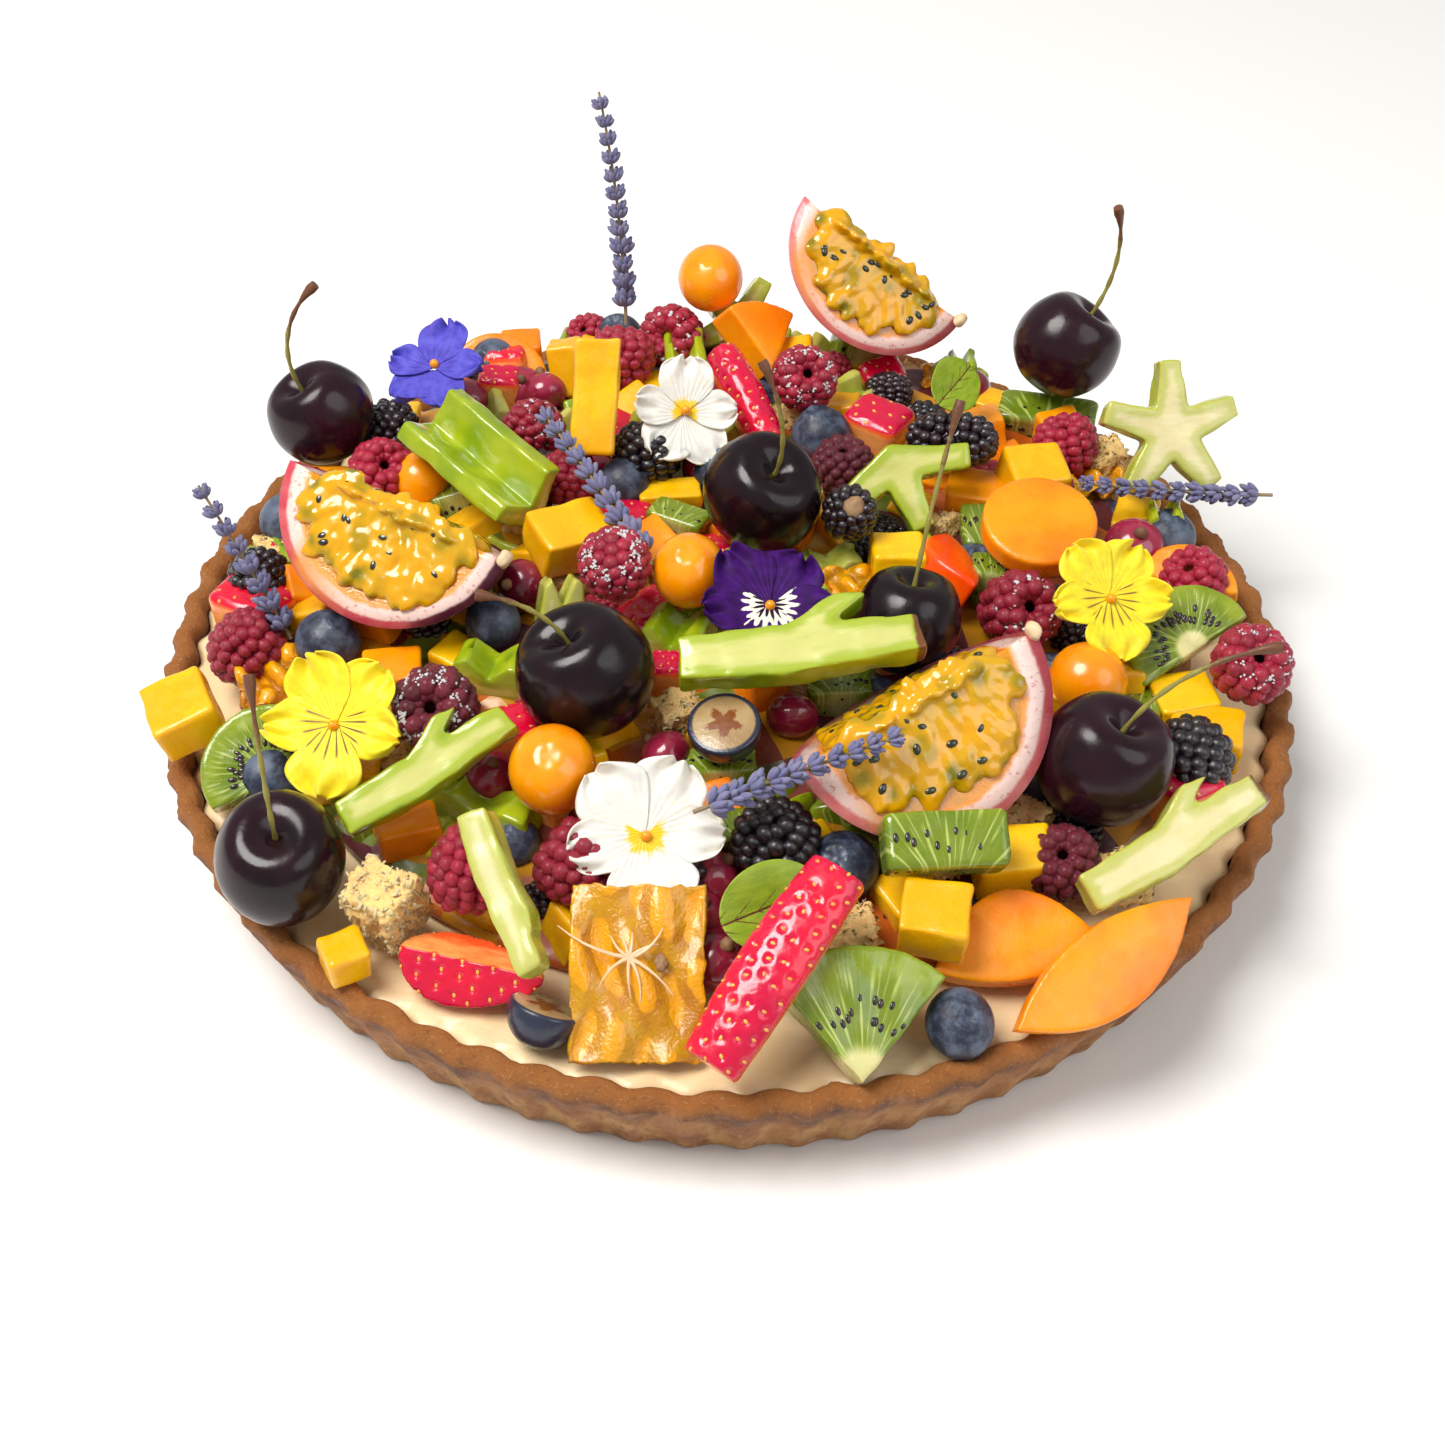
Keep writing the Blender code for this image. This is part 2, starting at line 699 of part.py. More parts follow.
class Settler:
    """Lowers one turned mesh onto the ground, with GAP left between them."""

    def __init__(self, mesh, rotation, ground):
        mesh.calc_loop_triangles()
        self.points = [rotation @ (v.co + v.normal * GAP) for v in mesh.vertices]
        self.faces = [tuple(t.vertices) for t in mesh.loop_triangles]
        self.low = [min(p[k] for p in self.points) for k in range(3)]
        self.high = [max(p[k] for p in self.points) for k in range(3)]
        self.ground = ground

    def touches(self, place, under):
        tree = BVHTree.FromPolygons([p + place for p in self.points], self.faces)
        bottom, top = place.z + self.low[2], place.z + self.high[2]
        return any(
            entry[1][2] <= top and entry[2][2] >= bottom and tree.overlap(entry[0]) for entry in under
        )

    def rest(self, x, y, height):
        """The nearest height at or above which the mesh lies free at (x, y), with something just under it."""
        box = [(self.low[k] + (x, y)[k], self.high[k] + (x, y)[k]) for k in (0, 1)]
        under = self.ground.near([b[0] for b in box], [b[1] for b in box])
        low = high = height
        if self.touches(Vector((x, y, height)), under):
            while self.touches(Vector((x, y, high)), under):
                low, high = high, high + STEP
        else:
            while low + self.low[2] > 0 and not self.touches(Vector((x, y, low)), under):
                high, low = low, low - STEP
        while high - low > NEAREST:
            middle = (low + high) / 2
            if self.touches(Vector((x, y, middle)), under):
                low = middle
            else:
                high = middle
        return high

    def best_near(self, place):
        """Where the mesh rests closest to a place, when it may slide a little way."""
        found = []
        for reach in (0, SLIDE / 3, 2 * SLIDE / 3, SLIDE):
            for k in range(6 if reach else 1):
                x = place.x + reach * math.cos(math.pi * k / 3)
                y = place.y + reach * math.sin(math.pi * k / 3)
                if reach and math.hypot(x, y) > REACH:
                    continue
                height = self.rest(x, y, place.z)
                found.append((abs(height - place.z) + SLIDE_COST * reach, x, y, height))
        return Vector(min(found)[1:])


def rotation_of(turn):
    return Euler([math.radians(a) for a in turn], "XYZ").to_matrix()


def depth_below(mesh, turn):
    """How far a turned mesh reaches below its origin."""
    rotation = rotation_of(turn)
    return -min((rotation @ v.co).z for v in mesh.vertices)


def spot_over_core(point, lift, reach):
    """Where a sight line comes to lift above the core's top."""
    place = spot(point, CORE_TOP, reach)
    for _ in range(12):
        place = spot(point, (place.z + core_height(place.x, place.y) + lift) / 2, reach)
    return place


def settle(piece, ground):
    """Lays a piece so that its middle shows at its picture point, and returns its object."""
    rotation = rotation_of(piece.turn)
    settler = Settler(piece.mesh, rotation, ground)
    place = settler.best_near(spot_over_core(piece.point, piece.lift * MM, REACH))
    made = object_of(piece.name, piece.mesh, piece.material, Matrix.Translation(place) @ rotation.to_4x4())
    ground.add(made)
    return made


# The small fruit of the heap: picture point, size and turn of each


def heap_pieces():
    """The pieces that are fused to the core, as (mesh, picture point, turn), the lower ones first."""
    chunks = (
        ((560, 608), (11, 8, 15), (-25, 10, 15)),
        ((408, 833), (14, 9, 9), (0, 0, 20)),
        ((393, 677), (14, 12, 9), (0, 0, 10)),
        ((488, 807), (26, 9, 9), (0, 0, -25)),
        ((495, 670), (20, 10, 11), (0, 0, -12)),
        ((510, 735), (12, 11, 11), (0, 0, 20)),
        ((677, 716), (12, 11, 11), (0, 0, 30)),
        ((718, 771), (17, 8, 8), (0, 0, 5)),
        ((740, 835), (13, 9, 9), (0, 0, 10)),
        ((838, 693), (15, 9, 9), (0, 0, 5)),
        ((829, 567), (17, 8, 8), (0, 0, 15)),
        ((852, 590), (17, 13, 8), (20, 0, 10)),
        ((679, 636), (17, 12, 11), (0, 0, -20)),
        ((679, 523), (15, 8, 8), (0, 0, -25)),
        ((670, 498), (16, 8, 7), (0, 0, 8)),
        ((985, 498), (20, 13, 9), (0, 0, -10)),
        ((987, 581), (8, 9, 12), (0, 0, 0)),
        ((974, 363), (17, 9, 8), (0, 0, -40)),
        ((987, 342), (16, 10, 9), (0, 0, -10)),
        ((1007, 412), (16, 9, 7), (0, 0, -25)),
        ((1066, 408), (26, 11, 10), (10, 0, -10)),
        ((1094, 479), (15, 12, 9), (0, 0, 20)),
        ((1116, 456), (12, 12, 12), (0, 0, 15)),
        ((1187, 523), (10, 9, 14), (0, 0, 0)),
        ((1154, 574), (9, 9, 8), (0, 0, 0)),
        ((1076, 703), (15, 10, 9), (0, 0, -20)),
        ((1182, 703), (15, 13, 9), (0, 0, 15)),
        ((1235, 744), (17, 13, 10), (0, 0, -10)),
        ((1231, 813), (15, 12, 13), (0, 0, 30)),
        ((1178, 913), (13, 11, 13), (0, 0, 15)),
        ((843, 939), (15, 12, 14), (0, 0, 10)),
        ((278, 675), (18, 15, 9), (20, 0, 15)),
        ((240, 545), (13, 10, 9), (0, 0, 20)),
        ((202, 556), (12, 12, 9), (0, 0, 30)),
        ((347, 776), (16, 10, 9), (0, 0, 5)),
        ((200, 607), (19, 13, 11), (0, 0, -25)),
        ((500, 390), (11, 9, 12), (0, 0, 0)),
        ((568, 369), (9, 9, 15), (-20, -10, 0)),
        ((521, 356), (11, 10, 13), (0, 0, 10)),
        ((1006, 329), (9, 9, 12), (0, 0, 0)),
        ((666, 675), (8, 8, 10), (0, 0, 0)),
        ((878, 430), (16, 14, 13), (0, 0, -30)),
        ((552, 303), (12, 10, 9), (0, 0, -10)),
    )
    rough = (
        ((578, 316), 13), ((674, 338), 18), ((621, 362), 18), ((532, 432), 16), ((568, 481), 15),
        ((380, 474), 17), ((390, 431), 16), ((540, 476), 13), ((281, 487), 14), ((239, 579), 16),
        ((230, 650), 18), ((584, 868), 20), ((673, 874), 16), ((775, 844), 20), ((1062, 866), 17),
        ((1187, 760), 20), ((1265, 580), 17), ((1066, 448), 17), ((842, 470), 16), ((646, 457), 18),
    )
    smooth = (
        ((544, 389), 12), ((716, 398), 13), ((702, 462), 13), ((470, 398), 13), ((1095, 427), 12),
        ((1074, 521), 12), ((519, 586), 13), ((697, 914), 13), ((474, 345), 15), ((248, 513), 15),
        ((718, 472), 13), ((624, 483), 13), ((843, 866), 15), ((1225, 527), 14), ((269, 778), 15),
        ((493, 622), 13), ((328, 641), 15), ((1088, 682), 18), ((421, 480), 14), ((821, 435), 15),
    )
    shaped = (
        (slab(sector_outline(15 * MM, 200), 11 * MM), (234, 757), (35, -10, 25)),
        (slab(sector_outline(15 * MM, 190), 8 * MM), (1172, 628), (25, -20, 30)),
        (slab(sector_outline(20 * MM, 62), 10 * MM), (757, 342), (35, 20, 25)),
        (slab(ring_outline(13.5 * MM, 8 * MM), 9 * MM), (466, 331), (38, 0, 6)),
        (slab(sector_outline(13 * MM, 150), 9 * MM), (1208, 573), (35, 0, -20)),
        (slab(star_outline(29 * MM, 4), 9 * MM), (738, 270), (48, 0, 10)),
        (chunk((17 * MM, 13 * MM, 13 * MM), 6, bevel=0), (1012, 864), (5, 0, 8)),
        (chunk((13 * MM, 12 * MM, 14 * MM), 9, bevel=0), (897, 568), (-8, 0, 4)),
        (slab(lens_outline(25 * MM, 14 * MM, bulge=0.7), 8 * MM), (944, 568), (30, 10, 100)),
        (chunk((16 * MM, 14 * MM, 15 * MM), 7, bevel=0), (1031, 482), (10, 5, 18)),
        (bumpy(19 * MM, 20 * MM, segments=8, rings=6), (1018, 612), (165, -15, 0)),
    )
    for seed, (point, size, turn) in enumerate(chunks):
        yield chunk([s * MM for s in size], seed, bevel=0), point, turn
    for point, width in rough:
        yield bumpy(width * MM, width * MM, segments=7, rings=4, depth=0.08), point, (0, 0, 20)
    for point, width in smooth:
        yield berry(width * MM, segments=6, rings=4), point, (0, 0, 0)
    yield from shaped


def back_pieces():
    """The small fruit along the back of the heap, as (mesh, plan place, turn)."""
    draw = random.Random(BACK_SEED)
    for k in range(BACK_COUNT):
        angle = math.radians(20 + 140 * k / (BACK_COUNT - 1))
        reach = (108, 92)[k % 2] * MM + draw.uniform(-2, 2) * MM
        place = Vector((reach * math.cos(angle), reach * math.sin(angle) + CORE_SHIFT / 2))
        size = [draw.uniform(10, 15) * MM for _ in range(3)]
        turn = [draw.uniform(-20, 20) for _ in range(3)]
        yield chunk(size, 50 + k, bevel=0), place, turn


def heap():
    """The core with the small fruit fused to it: each piece is sunk into the core by up to HEAP_SINK."""
    parts = [object_of("core", core_mesh(), "heap")]
    for mesh, point, turn in heap_pieces():
        below = depth_below(mesh, turn)
        place = spot_over_core(point, below - HEAP_SINK, HEAP_REACH)
        parts.append(object_of("small", mesh, "heap", Matrix.Translation(place) @ rotation_of(turn).to_4x4()))
    for mesh, place, turn in back_pieces():
        height = core_height(place.x, place.y) + depth_below(mesh, turn) - BACK_SINK
        matrix = Matrix.Translation((place.x, place.y, height)) @ rotation_of(turn).to_4x4()
        parts.append(object_of("small", mesh, "heap", matrix))
    return outer_skin(fuse("heap", parts))


# The larger pieces, each a solid of its own


def large_pieces():
    """The largest pieces, which settle first and leave the others the room between them."""
    return (
        Piece(
            "passion_fruit_right", passion_fruit(60 * MM, 64 * MM), "passion_fruit",
            (935, 752), (0, -14, 30), 15,
        ),
        Piece(
            "passion_fruit_left", passion_fruit(58 * MM, 58 * MM), "passion_fruit",
            (398, 553), (0, 9, -24), 15,
        ),
        Piece(
            "passion_fruit_back", passion_fruit(54 * MM, 52 * MM), "passion_fruit",
            (862, 310), (0, 34, -14), 15,
        ),
        Piece("cherry_centre", cherry(30 * MM, 26 * MM, 62), "cherry", (594, 684), (0, 20, 186), 14),
        Piece("cherry_back", cherry(28.5 * MM, 32 * MM, 72), "cherry", (770, 505), (0, -26, 135), 14),
        Piece("cherry_right", cherry(29.5 * MM, 40 * MM, 68), "cherry", (1092, 784), (0, 18, 6), 14),
        Piece("cherry_front_left", cherry(28 * MM, 40 * MM, 58), "cherry", (281, 855), (0, -14, 102), 14),
        Piece("cherry_middle_right", cherry(25.5 * MM, 44 * MM, 24), "cherry", (920, 637), (0, 18, 68), 12),
        Piece("cherry_back_left", cherry(26 * MM, 34 * MM, 78), "cherry", (330, 424), (0, -28, 12), 14),
        Piece("cherry_back_right", cherry(27 * MM, 34 * MM, -58), "cherry", (1061, 380), (0, 36, 20), 14),
        Piece("kiwi_front", slab(sector_outline(27 * MM, 82), 9 * MM), "kiwi", (860, 1024), (34, 6, 8), 9),
        Piece("husk_front", husk(30 * MM, 36 * MM), "husk", (632, 968), (36, 2, 3), 13),
    )


def low_pieces():
    """The pieces that lie on the cream and on the heap."""
    return (
        Piece("blueberry_front", berry(15 * MM), "blueberry", (961, 1020), (30, 0, 20), 7),
        Piece(
            "papaya_front", slab(lens_outline(36 * MM, 20 * MM, bulge=0.75), 7 * MM), "papaya",
            (1024, 945), (24, -6, 10), 7,
        ),
        Piece("mango_front", chunk((14 * MM, 13 * MM, 11 * MM), 1), "mango", (919, 961), (8, 0, -8), 7),
        Piece(
            "strawberry_cut", strawberry_quarter(31 * MM, 25 * MM), "strawberry",
            (474, 967), (15, 0, -14), 5,
        ),
        Piece(
            "coconut_cube", chunk((15 * MM, 14 * MM, 18 * MM), 2), "coconut",
            (385, 903), (10, 0, -28), 9,
        ),
        Piece("mango_left_front", chunk((9 * MM, 9 * MM, 8 * MM), 3), "mango", (345, 960), (0, 0, 28), 5),
        Piece("mango_left", chunk((14 * MM, 16 * MM, 10 * MM), 4), "mango", (184, 715), (0, -14, 25), 9),
        Piece(
            "kiwi_block", chunk((25 * MM, 12 * MM, 10 * MM), 5, bevel=2 * MM), "kiwi",
            (930, 895), (30, 0, 6), 9,
        ),
        Piece(
            "star_fruit_right", long_star_slice(46 * MM, 0.8), "star_fruit",
            (1150, 838), (25, -12, 34), 12,
        ),
        Piece(
            "papaya_disc", slab(sector_outline(13.5 * MM, 359), 7 * MM), "papaya",
            (1030, 550), (10, 0, 0), 11,
        ),
        Piece("star_fruit_left", star_rib(38 * MM, 30 * MM), "star_fruit", (482, 470), (98, -14, 44), 11),
        Piece("mango_centre", chunk((18 * MM, 14 * MM, 11 * MM), 8), "mango", (574, 534), (8, 5, 30), 10),
        Piece(
            "bramble_right", bumpy(16 * MM, 24 * MM, segments=12, rings=8), "bramble",
            (958, 446), (10, 86, -4), 11,
        ),
        Piece(
            "star_fruit_centre", slab(star_outline(36 * MM, 3), 7 * MM), "star_fruit",
            (906, 485), (-42, 15, 200), 12,
        ),
        Piece("mango_stick", chunk((11 * MM, 10 * MM, 27 * MM), 10), "mango", (596, 428), (-38, 4, 2), 13),
        Piece(
            "strawberry_stick", bent_strip(30 * MM, 10 * MM, 9 * MM, 1.5 * MM), "strawberry",
            (746, 400), (10, 22, -62), 11,
        ),
        Piece("golden_berry_back", berry(18.5 * MM, crown=0.05), "physalis", (713, 309), (20, 0, 0), 13),
        Piece("golden_berry_centre", berry(18 * MM, crown=0.05), "physalis", (689, 581), (20, 0, 0), 13),
        Piece("golden_berry_front", berry(20 * MM, crown=0.05), "physalis", (553, 779), (25, 0, 0), 12),
        Piece(
            "raspberry_back", bumpy(19 * MM, 18 * MM, hollow=0.45), "raspberry",
            (811, 387), (38, 12, 0), 12,
        ),
        Piece(
            "raspberry_centre", bumpy(19 * MM, 19 * MM, hollow=0.45), "raspberry",
            (615, 586), (22, -5, 0), 13,
        ),
        Piece(
            "raspberry_left", bumpy(22 * MM, 19 * MM, hollow=0.45), "raspberry",
            (442, 709), (42, -8, 0), 12,
        ),
        Piece("raspberry_front", bumpy(19 * MM, 20 * MM), "raspberry", (446, 873), (150, 12, 0), 11),
        Piece(
            "raspberry_right", bumpy(21 * MM, 20 * MM, hollow=0.45), "raspberry",
            (1238, 659), (28, 8, 0), 13,
        ),
        Piece(
            "bramble_middle", bumpy(15 * MM, 16 * MM, segments=12, rings=8), "bramble",
            (855, 526), (35, 8, 0), 11,
        ),
        Piece("blueberry_cut", half_berry(16 * MM), "blueberry", (725, 739), (12, -5, 0), 9),
    )


def upper_pieces():
    """The pieces that lie over others, the lower ones first."""
    return (
        Piece("star_fruit_long", long_star_slice(54 * MM, 1.0), "star_fruit", (797, 668), (20, -4, 10), 15),
        Piece("star_fruit_low", long_star_slice(42 * MM, 0.9), "star_fruit", (415, 786), (28, -14, 36), 14),
        Piece(
            "star_fruit_front", long_star_slice(35 * MM, 0.1), "star_fruit",
            (522, 906), (28, 26, -62), 13,
        ),
        Piece(
            "papaya_front_right", slab(lens_outline(46 * MM, 18 * MM, bulge=0.4), 6 * MM), "papaya",
            (1087, 948), (30, -14, 36), 10,
        ),
        Piece(
            "star_fruit_upright", slab(star_outline(35 * MM, 5), 7 * MM), "star_fruit",
            (1166, 440), (52, 0, 8), 18,
        ),
        Piece(
            "strawberry_strip", bent_strip(46 * MM, 14 * MM, 6 * MM, 2.5 * MM), "strawberry",
            (772, 996), (8, -25, 54), 13,
        ),
        Piece("sorrel_front", round_leaf(23 * MM, 18 * MM), "leaf", (772, 897), (36, 0, 30), 18),
        Piece("sorrel_back", round_leaf(19 * MM, 14 * MM), "leaf", (947, 396), (38, 0, 62), 18),
        Piece("viola_yellow_left", viola(33 * MM), "yellow_petal", (335, 718), (36, -6, -12), 17),
        Piece("viola_yellow_right", viola(30 * MM), "yellow_petal", (1109, 598), (34, 8, 14), 18),
        Piece("viola_white_front", viola(35 * MM), "white_petal", (645, 824), (30, 0, 12), 18),
        Piece("viola_purple", viola(33 * MM), "violet_petal", (769, 602), (18, 4, 8), 18),
        Piece("viola_white_back", viola(28 * MM), "white_petal", (685, 410), (-40, -10, 190), 18),
        Piece("viola_blue", viola(27 * MM), "blue_petal", (439, 377), (-16, 8, 165), 18),
        Piece("lavender_back", lavender(60 * MM, 7, -12), "lavender", (610, 246), (-22, -2, 0), 30),
        Piece("lavender_centre", lavender(50 * MM, 6, 10), "lavender", (597, 481), (0, 68, 127), 19),
        Piece("lavender_left", lavender(41 * MM, 5, 8), "lavender", (247, 558), (0, 34, 142), 22),
        Piece("lavender_front", lavender(46 * MM, 6, 6), "lavender", (812, 778), (0, 76, 19), 30),
        Piece("lavender_right", lavender(50 * MM, 6, -8), "lavender", (1178, 485), (0, 86, 186), 17),
    )


def build():
    clear_scene()
    ground = Ground()
    ground.add(object_of("tart_shell", shell_mesh(), "pastry"))
    ground.add(object_of("pastry_cream", cream_mesh(), "cream"))
    ground.add(object_of("fruit_heap", heap(), "heap"))
    for piece in large_pieces() + low_pieces() + upper_pieces():
        settle(piece, ground)


build()
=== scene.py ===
"""The looks of a round fruit tart: a fluted crust, custard cream, and a heap of fruit, berries and flowers.

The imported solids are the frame. Every node is replaced by a detailed piece that fills the same space. A piece
is modelled around the origin in its own directions and then turned and laid into the space of its node. The
small fruit of the heap is laid by the same rule as its solids, as one joined piece for each kind of fruit. A
row of it along the back, which closes the core's plain edge, and half a blueberry in front have no solids.

Lengths are in metres, +Z is up and the front is the side that faces -Y.
"""

import logging
import math
import random
from collections.abc import Callable, Iterable, Iterator
from contextlib import contextmanager
from dataclasses import dataclass, field
from enum import Enum

import bmesh
import bpy
import numpy as np
from mathutils import Euler, Matrix, Vector, noise


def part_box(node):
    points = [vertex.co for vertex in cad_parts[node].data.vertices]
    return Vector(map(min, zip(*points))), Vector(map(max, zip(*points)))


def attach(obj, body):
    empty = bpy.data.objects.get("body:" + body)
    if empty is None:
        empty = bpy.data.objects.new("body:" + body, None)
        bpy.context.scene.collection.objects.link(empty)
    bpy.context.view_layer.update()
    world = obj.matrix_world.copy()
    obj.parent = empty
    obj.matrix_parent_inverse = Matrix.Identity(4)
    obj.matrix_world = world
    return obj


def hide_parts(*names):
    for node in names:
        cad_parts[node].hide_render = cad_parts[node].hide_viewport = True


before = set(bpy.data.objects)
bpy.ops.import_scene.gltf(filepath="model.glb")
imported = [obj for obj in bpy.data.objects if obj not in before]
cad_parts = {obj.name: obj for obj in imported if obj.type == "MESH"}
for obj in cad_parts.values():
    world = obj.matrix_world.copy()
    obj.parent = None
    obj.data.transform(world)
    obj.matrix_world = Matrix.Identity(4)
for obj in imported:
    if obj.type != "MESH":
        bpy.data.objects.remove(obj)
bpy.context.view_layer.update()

log = logging.getLogger("tart")

MM = 0.001
FLUTES = 70
CREAM_TOP = 21.0 * MM
ROUND = 2 * math.pi
BED_NODES = ("tart_shell", "pastry_cream", "fruit_heap")
Piece = bpy.types.Object
Socket = bpy.types.NodeSocket
Value = float | tuple | Socket
Colour = tuple[float, float, float]
Turn = tuple[float, float, float]
Size = tuple[float, float, float]
Outline = list[tuple[float, float]]
UP = Vector((0, 0, 1))


class Slot(Enum):
    """The record's material slots."""

    PASTRY = "pastry"
    CREAM = "cream"
    HEAP = "heap"
    CHERRY = "cherry"
    PASSION_FRUIT = "passion_fruit"
    PHYSALIS = "physalis"
    RASPBERRY = "raspberry"
    BRAMBLE = "bramble"
    BLUEBERRY = "blueberry"
    STRAWBERRY = "strawberry"
    MANGO = "mango"
    PAPAYA = "papaya"
    STAR_FRUIT = "star_fruit"
    KIWI = "kiwi"
    HUSK = "husk"
    COCONUT = "coconut"
    YELLOW_PETAL = "yellow_petal"
    WHITE_PETAL = "white_petal"
    VIOLET_PETAL = "violet_petal"
    BLUE_PETAL = "blue_petal"
    LEAF = "leaf"
    LAVENDER = "lavender"


# Handling meshes


def pick(*pieces: Piece) -> None:
    """Select only these objects, the first of them active.

    Args:
        pieces: The objects to select.
    """
    bpy.ops.object.select_all(action="DESELECT")
    for piece in pieces:
        piece.select_set(True)
    bpy.context.view_layer.objects.active = pieces[0]


@contextmanager
def editing(piece: Piece) -> Iterator[None]:
    """Hold one object in edit mode.

    Args:
        piece: The mesh object to edit.
    """
    pick(piece)
    bpy.ops.object.mode_set(mode="EDIT")
    yield
    bpy.ops.object.mode_set(mode="OBJECT")


def apply_modifier(piece: Piece, kind: str, **settings: object) -> None:
    """Add a modifier, set it and apply it.

    Args:
        piece: The mesh object.
        kind: The modifier's type.
        settings: Its settings by name.
    """
    pick(piece)
    modifier = piece.modifiers.new(kind.lower(), kind)
    for name, value in settings.items():
        setattr(modifier, name, value)
    bpy.ops.object.modifier_apply(modifier=modifier.name)


def sculpt(piece: Piece, move: Callable[[Vector], Vector]) -> Piece:
    """Move every vertex to where a rule puts it.

    Args:
        piece: The mesh object.
        move: Gives a vertex's new place from its old one.

    Returns:
        The same object.
    """
    for vertex in piece.data.vertices:
        vertex.co = move(vertex.co.copy())
    piece.data.update()
    return piece


def waver(piece: Piece, depth: float, size: float, seed: float = 0.0) -> Piece:
    """Make a surface uneven by pushing it in and out along its normals.

    Args:
        piece: The mesh object.
        depth: How far it goes in or out.
        size: How wide one swell is.
        seed: Which unevenness, out of many.

    Returns:
        The same object.
    """
    shift = Vector((seed * 7.3, seed * 3.1, seed * 5.7))
    normals = [vertex.normal.copy() for vertex in piece.data.vertices]
    for vertex, normal in zip(piece.data.vertices, normals):
        vertex.co += normal * depth * noise.noise(vertex.co / size + shift)
    piece.data.update()
    return piece


def ball(width: float, segments: int = 40, rings: int = 26) -> Piece:
    """Add a ball at the origin.

    Args:
        width: Its diameter.
        segments: Faces round it.
        rings: Faces from pole to pole.

    Returns:
        The new object.
    """
    bpy.ops.mesh.primitive_uv_sphere_add(segments=segments, ring_count=rings, radius=width / 2)
    return bpy.context.object


def bead(width: float, level: int = 2) -> Piece:
    """Add a small ball of few even faces at the origin.

    Args:
        width: Its diameter.
        level: How finely it is divided.

    Returns:
        The new object.
    """
    bpy.ops.mesh.primitive_ico_sphere_add(subdivisions=level, radius=width / 2)
    return bpy.context.object


def sheet(steps_x: int, steps_y: int) -> Piece:
    """Add a flat sheet from -0.5 to 0.5 both ways.

    Args:
        steps_x: Faces along X.
        steps_y: Faces along Y.

    Returns:
        The new object.
    """
    bpy.ops.mesh.primitive_grid_add(x_subdivisions=steps_x, y_subdivisions=steps_y, size=1)
    return bpy.context.object


def slice_of(outline: Outline, thickness: float) -> Piece:
    """Add a level slice with a given outline, its middle height at the origin.

    Args:
        outline: The points round it.
        thickness: Its height.

    Returns:
        The new object.
    """
    bpy.ops.mesh.primitive_circle_add(vertices=len(outline), radius=1, fill_type="NGON")
    piece = bpy.context.object
    for vertex, (x, y) in zip(piece.data.vertices, outline):
        vertex.co = (x, y, -thickness / 2)
    with editing(piece):
        bpy.ops.mesh.select_all(action="SELECT")
        bpy.ops.mesh.extrude_region_move(TRANSFORM_OT_translate={"value": (0, 0, thickness)})
        bpy.ops.mesh.select_all(action="SELECT")
        bpy.ops.mesh.normals_make_consistent(inside=False)
    return piece


def block(size: Size, uneven: float = 0.0, seed: int = 0) -> Piece:
    """Add a knife-cut block at the origin.

    Args:
        size: Its width, depth and height.
        uneven: How far its corners are off, as a share of its size.
        seed: Which unevenness, out of many.

    Returns:
        The new object.
    """
    bpy.ops.mesh.primitive_cube_add(size=1)
    piece = bpy.context.object
    draw = random.Random(seed)
    for vertex in piece.data.vertices:
        vertex.co = [vertex.co[k] * size[k] * (1 - draw.uniform(0, uneven)) for k in range(3)]
    return piece


def turned(profile: Outline, steps: int) -> Piece:
    """Spin a closed profile round the upright axis.

    Args:
        profile: Points as (radius, height), the first and the last of them on the axis.
        steps: Faces round.

    Returns:
        The new object.
    """
    bpy.ops.mesh.primitive_circle_add(vertices=len(profile), radius=1, fill_type="NOTHING")
    piece = bpy.context.object
    for vertex, (radius, height) in zip(piece.data.vertices, profile):
        vertex.co = (radius, 0, height)
    with editing(piece):
        bpy.ops.mesh.select_all(action="SELECT")
        bpy.ops.mesh.spin(steps=steps, angle=ROUND, center=(0, 0, 0), axis=(0, 0, 1))
        bpy.ops.mesh.select_all(action="SELECT")
        bpy.ops.mesh.remove_doubles(threshold=1e-6)
        bpy.ops.mesh.delete_loose(use_verts=True, use_edges=True, use_faces=False)
        bpy.ops.mesh.select_all(action="SELECT")
        bpy.ops.mesh.normals_make_consistent(inside=False)
    return piece


def stalk(points: Iterable[Vector], radii: Iterable[float], resolution: int = 2) -> Piece:
    """Make a round stalk through points, with its own radius at each.

    Args:
        points: Where it goes.
        radii: Its radius at each point.
        resolution: How round it is.

    Returns:
        The new mesh object.
    """
    line = bpy.data.curves.new("stalk", "CURVE")
    line.dimensions = "3D"
    line.bevel_depth = MM
    line.bevel_resolution = resolution
    line.use_fill_caps = True
    places = list(points)
    spline = line.splines.new("POLY")
    spline.points.add(len(places) - 1)
    for point, place, radius in zip(spline.points, places, radii):
        point.co = (*place, 1)
        point.radius = radius / MM
    piece = bpy.data.objects.new("stalk", line)
    bpy.context.scene.collection.objects.link(piece)
    pick(piece)
    bpy.ops.object.convert(target="MESH")
    return bpy.context.object


def even(piece: Piece, cell: float, rounds: int = 3) -> Piece:
    """Give a closed shape one even skin of small faces, with its edges eased.

    Args:
        piece: The mesh object.
        cell: The size of the faces.
        rounds: How often it is smoothed.

    Returns:
        The same object.
    """
    apply_modifier(piece, "REMESH", mode="VOXEL", voxel_size=cell)
    apply_modifier(piece, "SMOOTH", factor=0.5, iterations=rounds)
    return piece


